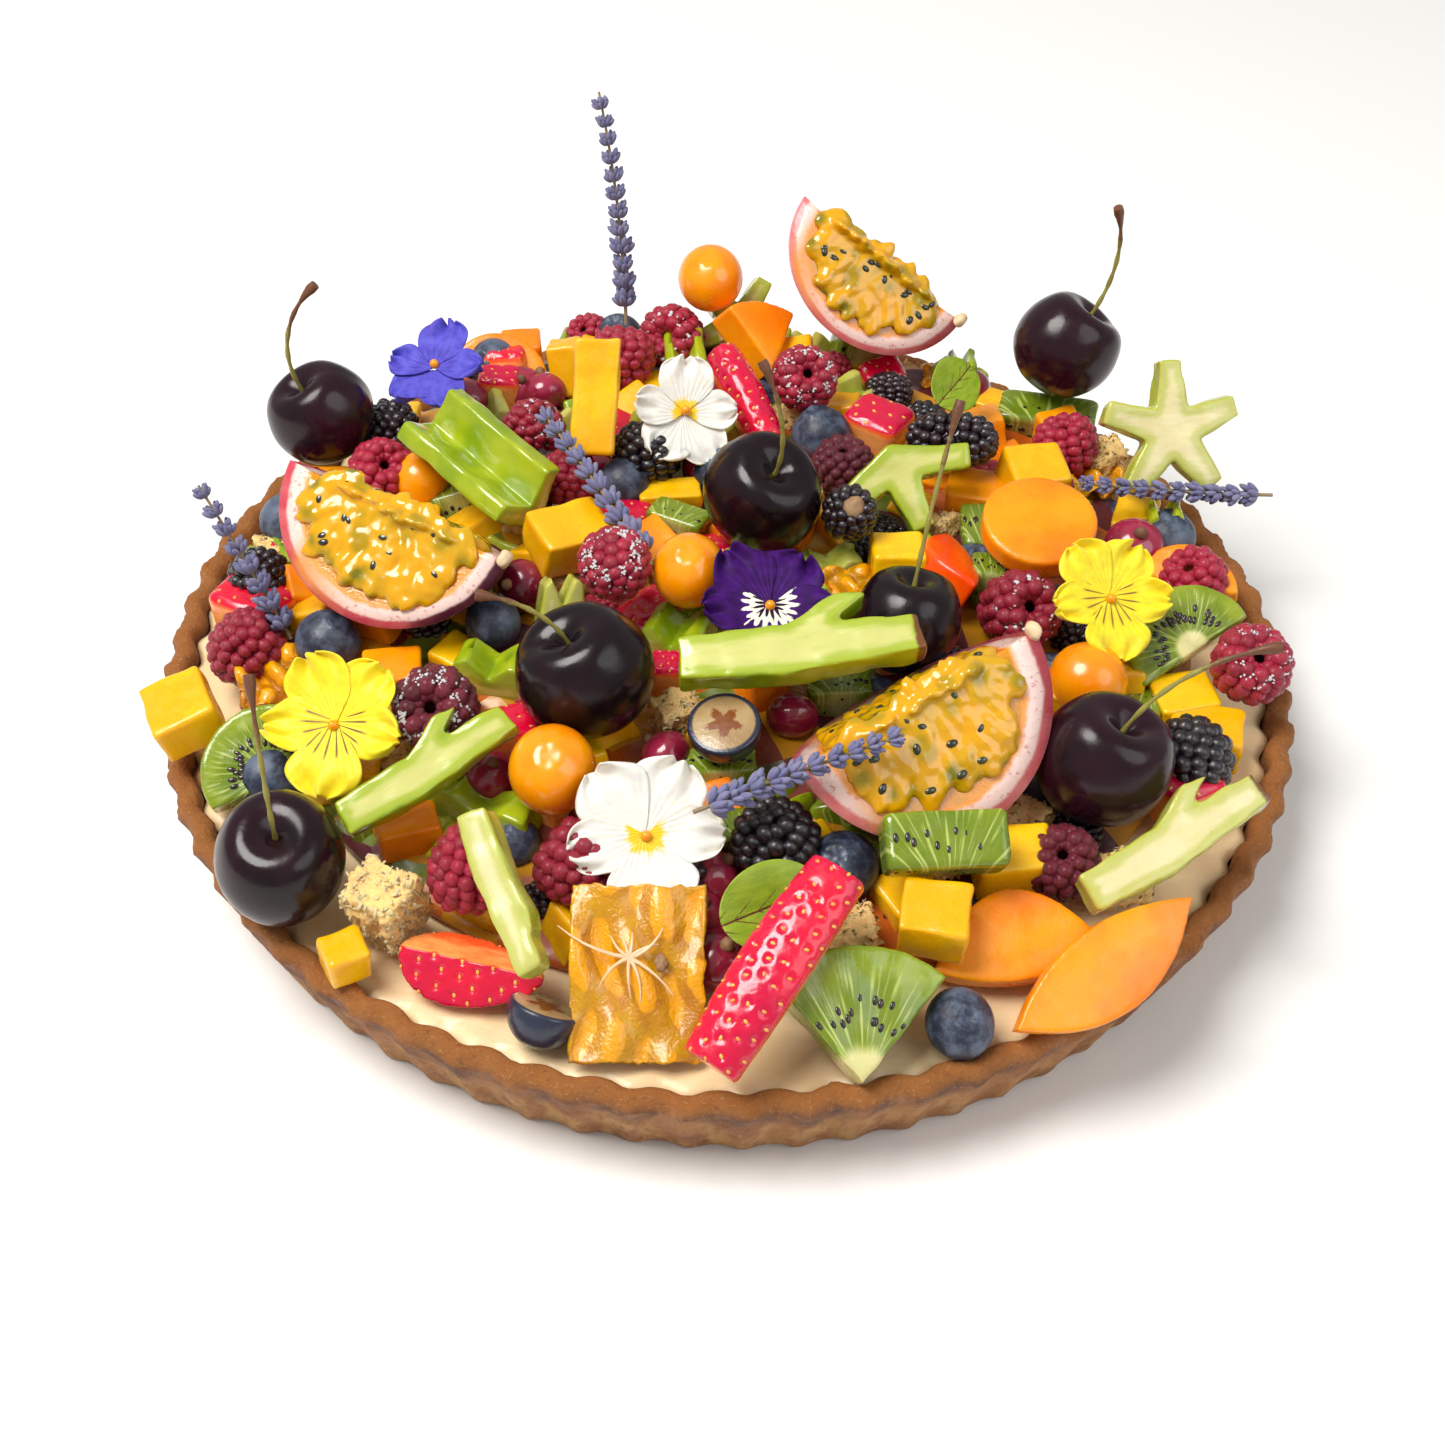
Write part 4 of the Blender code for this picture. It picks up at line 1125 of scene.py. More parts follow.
@dataclass(frozen=True)
class Petal(Finish):
    """A velvety petal, with lines that run out of the throat and an eye."""

    line: Colour = (0.12, 0.03, 0.01)
    face: Colour = (0.9, 0.85, 0.7)
    eye: Colour = (0.9, 0.55, 0.0)
    lines: float = 0.0
    faced: float = 0.0
    eyed: float = 0.0

    def paint(self, graph: Graph) -> tuple[Value, Value]:
        """Give the colour and the height. Here own holds (across, along) for each petal.

        Args:
            graph: The material's graph.

        Returns:
            The colour and the height.
        """
        across, along, kind = graph.split(graph.read("own"))
        colour, _ = self.base(graph)
        wide = graph.math("ABSOLUTE", across)
        fan = graph.math("DIVIDE", across, graph.plus(along, 0.12))
        ribs = graph.math("SINE", graph.times(fan, 21.0))
        rough = graph.noise(graph.read("own"), 9.0, 3.0)
        reach = graph.less(graph.plus(along, graph.times(rough, 0.25)), graph.times(wide, -0.3))
        near = graph.fall(reach, 0.5, 0.66)
        lower = graph.step(kind, 0.25, 0.75)
        if self.faced:
            frill = graph.plus(reach, graph.times(ribs, 0.07))
            pale = graph.times(graph.fall(frill, 0.46, 0.5), lower)
            colour = graph.mix(graph.times(pale, self.faced), colour, self.face)
            dark = graph.times(graph.fall(frill, 0.27, 0.31), lower)
            colour = graph.mix(graph.times(dark, self.faced), colour, self.line)
        if self.lines:
            thin = graph.times(graph.step(ribs, 0.6, 0.95), graph.times(near, lower))
            colour = graph.mix(graph.times(thin, self.lines), colour, self.line)
        if self.eyed:
            spot = graph.fall(reach, 0.3, 0.4)
            colour = graph.mix(graph.times(graph.times(spot, lower), self.eyed), colour, self.eye)
        veins = graph.math("SINE", graph.times(fan, 40.0))
        return colour, graph.plus(graph.times(veins, 0.3), rough)


@dataclass(frozen=True)
class LeafSkin(Finish):
    """A fresh leaf with dark red veins. Here own holds (along, across) as shares of its size."""

    vein: Colour = (0.11, 0.012, 0.008)

    def paint(self, graph: Graph) -> tuple[Value, Value]:
        """Give the colour and the height.

        Args:
            graph: The material's graph.

        Returns:
            The colour and the height.
        """
        along, across, _ = graph.split(graph.read("own"))
        colour, _ = self.base(graph)
        wide = graph.math("ABSOLUTE", across)
        bent = graph.less(along, graph.times(wide, 0.75))
        ribs = graph.math("ABSOLUTE", graph.less(graph.math("FRACT", graph.times(bent, 4.2)), 0.5))
        side = graph.times(graph.fall(ribs, 0.02, 0.055), graph.fall(wide, 0.2, 0.36))
        middle = graph.fall(wide, 0.012, 0.035)
        shown = graph.math("MAXIMUM", side, middle)
        broken = graph.step(graph.noise(graph.read("own"), 9.0, 3.0), 0.4, 0.5)
        veins = graph.times(shown, graph.math("MAXIMUM", broken, middle))
        return graph.mix(veins, colour, self.vein), graph.less(graph.noise(graph.read("own"), 30.0), veins)


@dataclass(frozen=True)
class TwoEnds(Finish):
    """A thing whose one end has another colour, such as a bud in its husk or a stem with its knob."""

    end: Colour = (0.3, 0.2, 0.1)
    low: float = 0.3
    high: float = 0.6

    def paint(self, graph: Graph) -> tuple[Value, Value]:
        """Give the colour and the height.

        Args:
            graph: The material's graph.

        Returns:
            The colour and the height.
        """
        own = graph.read("own")
        colour, _ = self.base(graph)
        share = graph.step(
            graph.plus(graph.read("cut"), graph.times(graph.less(graph.noise(own, 600.0), 0.5), 0.4)),
            self.low, self.high
        )
        return graph.mix(share, colour, self.end), graph.noise(own, 1300.0, 3.0)


@dataclass(frozen=True)
class Bloom(Finish):
    """A dark berry skin with a pale waxy bloom that is rubbed off in places."""

    bloom: Colour = (0.1, 0.135, 0.2)

    def paint(self, graph: Graph) -> tuple[Value, Value]:
        """Give the colour and the height.

        Args:
            graph: The material's graph.

        Returns:
            The colour and the height.
        """
        own = graph.read("own")
        colour, _ = self.base(graph)
        dust = graph.times(graph.step(graph.noise(own, 170.0, 5.0, 0.65), 0.4, 0.62), 0.85)
        return graph.mix(dust, colour, self.bloom), graph.noise(own, 800.0, 3.0)


@dataclass(frozen=True)
class BerryCut(Finish):
    """The cut face of a blueberry: tan flesh, a brown star and a dark skin round it."""

    star: Colour = (0.2, 0.06, 0.015)
    skin: Colour = (0.02, 0.025, 0.05)
    radius: float = 7.5 * MM

    def paint(self, graph: Graph) -> tuple[Value, Value]:
        """Give the colour and the height.

        Args:
            graph: The material's graph.

        Returns:
            The colour and the height.
        """
        own = graph.read("own")
        x, y, _ = graph.split(own)
        flesh, _ = self.base(graph)
        flat = graph.add("ShaderNodeCombineXYZ", {0: x, 1: y}).outputs[0]
        reach = graph.add("ShaderNodeVectorMath", {0: flat}, operation="LENGTH").outputs["Value"]
        out = graph.math("DIVIDE", reach, self.radius)
        arms = graph.times(graph.math("SINE", graph.times(graph.math("ARCTAN2", y, x), 5.0)), 0.12)
        ragged = graph.times(graph.noise(own, 900.0, 4.0, 0.7), 0.5)
        star = graph.fall(graph.plus(graph.plus(out, arms), ragged), 0.6, 0.72)
        face = graph.mix(star, flesh, self.star)
        rim = graph.step(out, 0.86, 0.94)
        face = graph.mix(rim, face, self.skin)
        return graph.mix(graph.read("cut"), self.skin, face), graph.noise(own, 700.0, 3.0)


@dataclass(frozen=True)
class ShadedMedley(Finish):
    """What shows deep between the pieces of the heap: more fruit of many colours, darkened as painted shade
    between the pieces.
    """

    def paint(self, graph: Graph) -> tuple[Value, Value]:
        """Give the colour and the height.

        Args:
            graph: The material's graph.

        Returns:
            The colour and the height.
        """
        where = graph.place()
        node = graph.add("ShaderNodeTexVoronoi", {"Vector": where, "Scale": 90.0})
        pick_one = graph.split(node.outputs["Color"])[0]
        # Fruit colours darkened as painted shade, with near-black cells as painted shadow deep between the
        # pieces.
        colour = graph.mix(graph.step(pick_one, 0.3, 0.32), (0.5, 0.22, 0.006), (0.42, 0.09, 0.008))
        colour = graph.mix(graph.step(pick_one, 0.55, 0.57), colour, (0.1, 0.012, 0.02))
        colour = graph.mix(graph.step(pick_one, 0.8, 0.82), colour, (0.12, 0.16, 0.012))
        return colour, node.outputs["Distance"]


CRUST = Crust("baked_crust", (0.42, 0.17, 0.05), (0.28, 0.095, 0.024), 0.75, 0.6, relief=0.8 * MM)
CREAM = Custard(
    "custard_cream", (0.86, 0.67, 0.4), (0.83, 0.6, 0.33), 0.42, 0.3, 40.0, glow=0.3, relief=0.5 * MM
)
SHADED_MEDLEY = ShadedMedley("fruit_beneath_painted_shade", (0.5, 0.2, 0.02), (0.3, 0.1, 0.02), relief=2 * MM)
CHERRY_SKIN = Finish(
    "cherry_skin", (0.008, 0.003, 0.005), (0.02, 0.004, 0.01), 0.26, 0.17, 60.0, relief=0.03 * MM,
    specular=0.35
)
CHERRY_STEM = TwoEnds(
    "cherry_stem", (0.24, 0.2, 0.04), (0.33, 0.3, 0.06), 0.55, 0.4, end=(0.14, 0.05, 0.02), low=0.75,
    high=0.95
)
PINK_RIND = Rind(
    "pink_rind", (0.74, 0.15, 0.17), (0.8, 0.27, 0.26), 0.36, 0.22, 120.0, coat=0.3, glow=0.15,
    dark_end=(0.5, 0.07, 0.09), dark_from=0.75
)
RED_RIND = Rind(
    "red_rind", (0.62, 0.06, 0.1), (0.74, 0.16, 0.17), 0.4, 0.26, 120.0, coat=0.2, glow=0.15, dark_from=0.55,
    lining_end=-1.2
)
PULP = Pulp(
    "passion_pulp", (0.76, 0.36, 0.0), (0.6, 0.34, 0.001), 0.24, 0.12, 90.0, coat=0.5, glow=0.2,
    relief=0.08 * MM
)
PULP_BED = Finish("pulp_bed", (0.72, 0.26, 0.002), (0.55, 0.24, 0.004), 0.2, 0.08, 150.0, coat=0.8, glow=0.3)
PASSION_SEED = Finish("passion_seed", (0.02, 0.022, 0.012), (0.045, 0.05, 0.02), 0.2, 0.1, coat=0.6)
GOLDEN_SKIN = Finish(
    "golden_berry_skin", (0.95, 0.34, 0.0), (0.92, 0.25, 0.0), 0.28, 0.18, 90.0, coat=0.35, glow=0.2,
    relief=0.03 * MM
)
RASPBERRY_SKIN = Finish(
    "raspberry_skin", (0.27, 0.002, 0.022), (0.42, 0.006, 0.04), 0.34, 0.2, 180.0, coat=0.2, glow=0.25,
    sheen=0.03, relief=0.08 * MM
)
# Also the body under a red raspberry's drupelets, where it is painted shade in the gaps between them.
DARK_RASPBERRY = Finish(
    "dark_raspberry_skin_and_gap_shade", (0.09, 0.002, 0.014), (0.19, 0.005, 0.025), 0.34, 0.22, 180.0, coat=0.2, glow=0.1,
    sheen=0.03
)
BRAMBLE_SKIN = Finish(
    "bramble_skin", (0.006, 0.004, 0.008), (0.016, 0.004, 0.01), 0.25, 0.12, coat=0.5, relief=0.04 * MM
)
BERRY_HEART = Finish("berry_heart", (0.35, 0.22, 0.1), (0.22, 0.1, 0.05), 0.6, 0.5)
SUGAR = Finish("sugar", (0.9, 0.85, 0.82), (0.95, 0.9, 0.9), 0.5, 0.35, glow=0.3)
BLUEBERRY_SKIN = Bloom("blueberry_skin", (0.012, 0.016, 0.035), (0.03, 0.035, 0.06), 0.5, 0.38, 120.0)
BLUEBERRY_FACE = BerryCut("blueberry_face", (0.42, 0.3, 0.14), (0.34, 0.21, 0.09), 0.35, 0.2, coat=0.2)
CURRANT_SKIN = Finish(
    "currant_skin", (0.2, 0.006, 0.03), (0.34, 0.02, 0.06), 0.2, 0.12, 100.0, coat=0.5, glow=0.3,
    relief=0.04 * MM
)
DRY_TIP = Finish("dry_tip", (0.3, 0.16, 0.07), (0.14, 0.06, 0.03), 0.7, 0.6)
STRAWBERRY_SKIN = StrawberryFlesh(
    "strawberry_flesh", (0.58, 0.0, 0.045), (0.74, 0.004, 0.035), 0.3, 0.15, 90.0, coat=0.4, glow=0.15
)
ACHENE = Finish("strawberry_seed", (0.85, 0.42, 0.08), (0.8, 0.25, 0.06), 0.4, 0.3, coat=0.2)
MANGO_FLESH = Finish(
    "mango_flesh", (0.86, 0.42, 0.0), (0.93, 0.54, 0.002), 0.42, 0.24, 110.0, coat=0.15, glow=0.3,
    relief=0.1 * MM
)
PAPAYA_FLESH = Finish(
    "papaya_flesh", (0.95, 0.33, 0.0), (0.88, 0.21, 0.0), 0.4, 0.26, 60.0, coat=0.1, glow=0.15,
    relief=0.08 * MM
)
RED_PAPAYA = Finish(
    "red_papaya_flesh", (0.9, 0.05, 0.0), (0.93, 0.14, 0.0), 0.3, 0.2, 60.0, coat=0.3, glow=0.3,
    relief=0.06 * MM
)
KIWI_FLESH = Kiwi(
    "kiwi_flesh", (0.17, 0.25, 0.006), (0.27, 0.34, 0.015), 0.3, 0.14, 120.0, coat=0.4, glow=0.25
)
KIWI_SEED = Finish("kiwi_seed", (0.012, 0.008, 0.008), (0.03, 0.015, 0.01), 0.3, 0.2, coat=0.4)
STAR_SKIN = Carambola(
    "star_fruit_flesh", (0.22, 0.33, 0.004), (0.36, 0.44, 0.01), 0.26, 0.12, 110.0, coat=0.5, glow=0.25
)
STAR_PALE = Carambola(
    "pale_star_fruit", (0.4, 0.45, 0.04), (0.5, 0.5, 0.1), 0.3, 0.18, 110.0, coat=0.3, glow=0.35,
    flesh=(0.74, 0.66, 0.36), flesh_deep=(0.52, 0.53, 0.15),
)
HUSK_SKIN = TwoEnds(
    "amber_skin", (0.6, 0.3, 0.0), (0.48, 0.18, 0.0), 0.24, 0.12, 110.0, coat=0.5, glow=0.35, relief=0.3 * MM,
    end=(0.85, 0.36, 0.0), low=0.25, high=0.8,
)
COCONUT_CRUMB = Finish(
    "coconut_crumb", (0.86, 0.6, 0.22), (0.78, 0.5, 0.2), 0.85, 0.75, 180.0, relief=0.5 * MM
)
COCONUT_FLAKE = Finish("coconut_flake", (0.92, 0.76, 0.44), (0.88, 0.66, 0.3), 0.7, 0.55, glow=0.15)
YELLOW_PETAL = Petal(
    "yellow_viola", (0.93, 0.74, 0.004), (0.87, 0.62, 0.0), 0.6, 0.5, 5.0, glow=0.3, sheen=0.2, lines=0.9
)
WHITE_PETAL = Petal(
    "white_viola", (0.85, 0.8, 0.7), (0.78, 0.72, 0.66), 0.6, 0.5, 5.0, glow=0.3, sheen=0.2, eyed=1.0
)
VIOLET_PETAL = Petal(
    "violet_viola", (0.028, 0.001, 0.075), (0.05, 0.003, 0.14), 0.7, 0.6, 5.0, specular=0.2, faced=1.0,
    line=(0.02, 0.002, 0.03)
)
BLUE_PETAL = Petal(
    "blue_viola", (0.1, 0.09, 0.55), (0.07, 0.055, 0.42), 0.7, 0.6, 5.0, specular=0.25, lines=0.5,
    line=(0.04, 0.02, 0.25)
)
LEAF_SKIN = LeafSkin("leaf_skin", (0.2, 0.32, 0.01), (0.28, 0.4, 0.02), 0.4, 0.28, 5.0, glow=0.2)
LAVENDER_BUD = TwoEnds(
    "lavender_bud", (0.13, 0.13, 0.27), (0.2, 0.19, 0.33), 0.75, 0.65, end=(0.28, 0.2, 0.12), low=0.6,
    high=0.95, sheen=0.3
)
LAVENDER_STEM = Finish("lavender_stem", (0.3, 0.22, 0.13), (0.2, 0.15, 0.08), 0.8, 0.7)
FILAMENT = Finish("dry_filament", (0.72, 0.5, 0.28), (0.8, 0.62, 0.4), 0.7, 0.6)


def dress(piece: Piece, *finishes: Finish) -> Piece:
    """Give a piece its materials.

    Args:
        piece: The mesh object.
        finishes: One for each material number of its faces.

    Returns:
        The same object.
    """
    for finish in finishes:
        piece.data.materials.append(finish.material())
    return piece


# The crust and the cream


@dataclass
class TartShell:
    """The baked shell: a fluted wall with a rough rim."""

    base_radius: float = 125.5 * MM
    rim_radius: float = 133.0 * MM
    height: float = 25.3 * MM
    wall: float = 5.3 * MM
    floor: float = 4 * MM
    flutes: int = FLUTES
    flute_depth: float = 0.95 * MM
    points_per_flute: int = 10
    crack_angle: float = math.radians(-79.3)
    crack_width: float = 1.4 * MM

    def profile(self) -> Outline:
        """Give the wall's section as (radius, height), from the middle of the underside round to the floor.

        Returns:
            The points.
        """
        points = [(0.0, 0.0)]
        points += [(self.base_radius * k / 6, 0.0) for k in range(2, 6)]
        points += [(self.base_radius - 1.2 * MM, 0.0), (self.base_radius, 0.9 * MM)]
        steps = 12
        top = self.height - 3 * MM
        for k in range(1, steps + 1):
            share = k / steps
            points.append((
                self.base_radius + (self.rim_radius - self.base_radius) * share,
                0.9 * MM + (top - 0.9 * MM) * share
            ))
        middle = self.rim_radius - self.wall / 2
        for k in range(1, 9):
            angle = math.pi * k / 9
            points.append((middle + self.wall / 2 * math.cos(angle), top + 3 * MM * math.sin(angle) ** 0.8))
        inner = self.rim_radius - self.wall
        points += [(inner - 0.1 * MM * k, top - 1.6 * MM * k) for k in range(1, 4)]
        points += [(self.base_radius - self.wall, self.floor)]
        points += [(0.0, self.floor)]
        return points

    def flute(self, place: Vector) -> Vector:
        """Push the wall out and in along its flutes, and break up the rim.

        Args:
            place: A vertex of the plain wall.

        Returns:
            Its place on the fluted wall.
        """
        radius = place.xy.length
        if radius < self.base_radius - self.wall - MM:
            return place
        angle = math.atan2(place.y, place.x)
        outward = Vector((math.cos(angle), math.sin(angle), 0))
        wave = math.cos(self.flutes * angle)
        crest = wave * (0.75 + 0.25 * wave)
        rim = span(17 * MM, 24 * MM, place.z)
        crumble = noise.noise(place * 300) * 0.5 * MM + noise.noise(place * 800) * 0.35 * MM
        lean = noise.noise(Vector((math.cos(angle), math.sin(angle), 0)) * 2.4) * 0.35 * MM
        shift = self.flute_depth * crest * (0.85 + 0.15 * rim) + crumble * (0.35 + 0.65 * rim) + lean * rim
        moved = place + outward * min(shift, 0.98 * MM)
        moved.z += rim * (crumble * 1.2 + 0.9 * MM * noise.noise(place * 70) - 0.45 * MM)
        moved.z = max(0.0, moved.z)
        return moved

    def crack(self, place: Vector) -> Vector:
        """Open the fine upright crack in the front of the wall.

        Args:
            place: A vertex of the wall.

        Returns:
            Its place with the crack beside it.
        """
        angle = math.atan2(place.y, place.x)
        line = self.crack_angle + 0.006 * math.sin(place.z * 500)
        away = (angle - line) * place.xy.length
        if place.xy.length < self.base_radius or abs(away) > self.crack_width:
            return place
        depth = 0.9 * MM * (1 - abs(away) / self.crack_width) * span(0.0, 6 * MM, place.z)
        inward = -Vector((place.x, place.y, 0)).normalized()
        return place + inward * depth

    def build(self) -> None:
        """Model the shell and lay it in its node's place."""
        piece = turned(self.profile(), self.flutes * self.points_per_flute)
        sculpt(piece, self.flute)
        sculpt(piece, self.crack)
        dress(stamp(piece), CRUST)
        hand_in(piece, "crust", Slot.PASTRY, "tart_shell")


@dataclass
class PastryCream:
    """The custard cream, pressed into the flutes and spread with a spatula."""

    radius: float = 127.3 * MM
    bottom_radius: float = 119.5 * MM
    top: float = 21.9 * MM
    bottom: float = 4.4 * MM
    rings: int = 46
    steps: int = 560

    def spread(self, place: Vector) -> Vector:
        """Wave the top of the cream and press its edge into the flutes.

        Args:
            place: A vertex of the plain cream.

        Returns:
            Its place on the spread cream.
        """
        radius = place.xy.length
        angle = math.atan2(place.y, place.x)
        edge = span(self.radius - 12 * MM, self.radius, radius)
        moved = place.copy()
        if place.z > self.top - 2 * MM:
            swell = noise.noise(place * 55) * 0.9 * MM + noise.noise(place * 160) * 0.35 * MM
            lap = 0.5 * MM * math.cos(FLUTES * angle) * span(self.radius - 5 * MM, self.radius, radius)
            moved.z += swell * (1 - 0.6 * edge) - 0.9 * MM + lap
            moved.z -= 1.1 * MM * span(self.radius - 1.5 * MM, self.radius, radius)
        if radius > self.bottom_radius - MM:
            outward = Vector((math.cos(angle), math.sin(angle), 0))
            moved += outward * 0.8 * MM * math.cos(FLUTES * angle)
        return moved

    def build(self) -> None:
        """Model the cream and lay it in its node's place."""
        profile = [(0.0, self.bottom), (self.bottom_radius, self.bottom)]
        wide, tall = self.radius - self.bottom_radius, self.top - MM - self.bottom
        profile += [(self.bottom_radius + wide * k / 3, self.bottom + tall * k / 3) for k in (1, 2, 3)]
        profile += [(self.radius * (1 - k / self.rings) ** 0.75, self.top) for k in range(self.rings)]
        profile += [(0.0, self.top)]
        piece = turned(profile, self.steps)
        sculpt(piece, self.spread)
        dress(stamp(piece), CREAM)
        hand_in(piece, "custard", Slot.CREAM, "pastry_cream")


# Round fruit


@dataclass
class Cherry:
    """A cherry with its stem."""

    node: str
    turn: Turn
    width: float
    stem: float
    bend: float
    heart: float = 0.05

    def swell(self, place: Vector) -> Vector:
        """Shape a plain ball like a cherry: a dimple at the stem, round shoulders and a seam.

        Args:
            place: A vertex of the ball.

        Returns:
            Its place on the cherry.
        """
        radius = place.length
        down = math.acos(max(-1.0, min(1.0, place.z / radius)))
        around = math.atan2(place.y, place.x)
        dimple = 0.38 * math.exp(-((down / 0.34) ** 2))
        shoulder = 0.045 * math.exp(-(((down - 0.75) / 0.3) ** 2))
        seam = 0.028 * math.exp(-((around / 0.13) ** 2)) * math.sin(down) ** 2
        cleft = self.heart * math.exp(-((around / 0.7) ** 2)) * math.exp(-(((down - 0.35) / 0.35) ** 2))
        tip = 0.02 * math.exp(-(((math.pi - down) / 0.25) ** 2))
        scale = 1 - dimple + shoulder - seam - cleft - tip
        return Vector((place.x * 1.02, place.y, place.z * 0.95)) * scale

    def stem_points(self) -> list[Vector]:
        """Give the points of the stem, which leaves the dimple and bends over.

        Returns:
            The points, from the fruit up.
        """
        points = [Vector((0, 0, 0.24 * self.width))]
        steps = 22
        bend = math.radians(self.bend)
        for k in range(steps):
            angle = bend * (k + 0.5) / steps
            points.append(points[-1] + Vector((math.sin(angle), 0, math.cos(angle))) * self.stem / steps)
        return points

    def build(self) -> None:
        """Model the cherry and lay it in its node's place."""
        body = sculpt(ball(self.width, 56, 40), self.swell)
        waver(body, 0.25 * MM, 9 * MM, self.width / MM)
        dress(stamp(body, random.Random(self.node).random()), CHERRY_SKIN)
        points = self.stem_points()
        count = len(points)
        radii = [0.55 * MM + 0.12 * MM * math.sin(k * 1.7) for k in range(count - 4)]
        radii += [0.75 * MM, 1.0 * MM, 1.35 * MM, 1.2 * MM]
        stem = stalk(points, radii)
        top = max(p.z for p in points)
        low = points[0].z
        stamp(stem, 0.5, cut=lambda place, normal: span(low, top, place.z))
        dress(stem, CHERRY_STEM)
        piece = joined(self.node, [body, stem])
        Seat.of(self.node, self.turn).take(piece)
        hand_in(piece, self.node + "_fruit", Slot.CHERRY, self.node)


# Berries of drupelets


@dataclass
class DrupeletBerry:
    """A raspberry or a bramble: rows of drupelets on a blunt cone, open at the top where the stalk was."""

    width: float
    length: float
    skin: Finish = RASPBERRY_SKIN
    open_share: float = 0.45
    sugar: int = 0
    plug: bool = False
    seed: int = 1
    taper: float = 0.25

    def surface(self, down: float, around: float, size: float) -> tuple[Vector, Vector]:
        """Give a place on the cone, and the way out of it.

        Args:
            down: The angle from the top.
            around: The angle round.
            size: The width of the drupelets that stand there.

        Returns:
            The place and the way out.
        """
        half, tall = self.width / 2 - size * 0.42, self.length / 2 - size * 0.42
        flat = 1 - self.taper * (1 - (math.cos(down) + 1) / 2)
        ring = max(0.0, math.sin(down)) ** 0.85 * half * flat
        out = Vector((math.cos(around) * math.sin(down), math.sin(around) * math.sin(down), math.cos(down)))
        return Vector((math.cos(around) * ring, math.sin(around) * ring, math.cos(down) * tall)), out

    def places(self) -> list[Matrix]:
        """Give a matrix for each drupelet, whose size is then 1.

        Returns:
            The matrices.
        """
        draw = random.Random(self.seed)
        size = self.width * 0.215
        made = []
        down = 0.52 if self.open_share else 0.0
        row = 0
        while down < math.pi - 0.02:
            middle, _ = self.surface(down, 0.0, size)
            count = max(1, round(ROUND * middle.x / (size * 0.78)))
            for k in range(count):
                around = ROUND * (k + 0.5 * (row % 2)) / count + draw.uniform(-0.06, 0.06)
                place, out = self.surface(down + draw.uniform(-0.04, 0.04), around, size)
                scale = size * draw.uniform(0.9, 1.08)
                made.append(facing(place, out, draw.uniform(0, 6), (scale, scale, scale * 1.05)))
            down += 0.31
            row += 1
        if self.open_share:
            for k in range(9):
                around = ROUND * k / 9
                place, out = self.surface(0.3, around, size)
                place.z -= size * 0.35
                made.append(facing(place, out, k, size * 0.8))
        return made

    def build(self) -> Piece:
        """Model the berry, with its opening along +Z.

        Returns:
            The joined object.
        """
        drop = stamp(sculpt(bead(1.0), lambda p: Vector((p.x, p.y, p.z * (1.1 if p.z > 0 else 0.9)))))
        dress(drop, self.skin)
        parts = [scattered("drupelets", drop, self.places(), self.seed)]
        body = ball(1.0, 24, 16)
        inner = self.width * 0.78
        dimple = 0.75 if self.open_share and not self.plug else 0.0

        def shape(p: Vector) -> Vector:
            """Bring a ball to the berry's body, with the hollow at its top.

            Args:
                p: A vertex of the ball.

            Returns:
                Its place on the body.
            """
            down = math.acos(max(-1.0, min(1.0, p.z * 2)))
            place, _ = self.surface(down, math.atan2(p.y, p.x), self.width * 0.3)
            place.z -= dimple * self.length * math.exp(-((down / 0.36) ** 2)) * 0.8
            return place

        # Under red drupelets the body takes the darker skin: painted shade in the gaps between the drupelets.
        dress(stamp(sculpt(body, shape)), DARK_RASPBERRY if self.skin is RASPBERRY_SKIN else self.skin)
        parts.append(body)
        if self.plug:
            core = sculpt(
                ball(inner * 0.5, 20, 12), lambda p: Vector((p.x, p.y, p.z * 0.5 + self.length * 0.4))
            )
            parts.append(dress(stamp(waver(core, 0.5 * MM, 2 * MM)), BERRY_HEART))
        if self.sugar:
            parts.append(self.grains())
        return joined("berry", parts)

    def grains(self) -> Piece:
        """Scatter sugar round the opening, thinning out down the sides.

        Returns:
            The grains as one object.
        """
        draw = random.Random(self.seed + 100)
        bpy.ops.mesh.primitive_cube_add(size=1)
        grain = dress(stamp(bpy.context.object), SUGAR)
        grain.data.shade_flat()
        places = []
        for _ in range(self.sugar):
            down = 0.45 + abs(draw.gauss(0, 0.4))
            place, out = self.surface(min(down, 2.4), draw.uniform(0, ROUND), 0)
            scale = tuple(draw.uniform(0.25, 0.6) * MM for _ in range(3))
            places.append(facing(place * 0.985, out, draw.uniform(0, 6), scale))
        made = scattered("grains", grain, places, self.seed)
        made.data.shade_flat()
        return made


# Small round fruit


def small_berry(width: float, finish: Finish, crown: float = 0.1, tip: Finish | None = None) -> Piece:
    """Model a smooth berry with its crown at +Z.

    Args:
        width: Its diameter.
        finish: Its skin.
        crown: How deep the dimple at the top is, with its ring of five lobes.
        tip: The finish of a dry tip, for a currant.

    Returns:
        The new object.
    """

    def shape(place: Vector) -> Vector:
        """Press the crown into a ball.

        Args:
            place: A vertex of the ball.

        Returns:
            Its place on the berry.
        """
        down = math.acos(max(-1.0, min(1.0, place.z / (width / 2))))
        around = math.atan2(place.y, place.x)
        lobes = 1 + 0.35 * math.cos(5 * around)
        ridge = crown * 0.9 * lobes * math.exp(-(((down - 0.34) / 0.1) ** 2))
        scale = 1 - crown * 1.4 * math.exp(-((down / 0.24) ** 2)) + ridge
        return Vector((place.x * scale, place.y * scale, place.z * scale * 0.92))

    piece = stamp(sculpt(ball(width, 40, 30), shape), 0.5)
    dress(piece, finish)
    if not tip:
        return piece
    cone = sculpt(ball(width * 0.22, 12, 8), lambda p: Vector((p.x, p.y, p.z * 1.2 + width * 0.47)))
    return joined("currant", [piece, dress(stamp(waver(cone, 0.4 * MM, MM)), tip)])


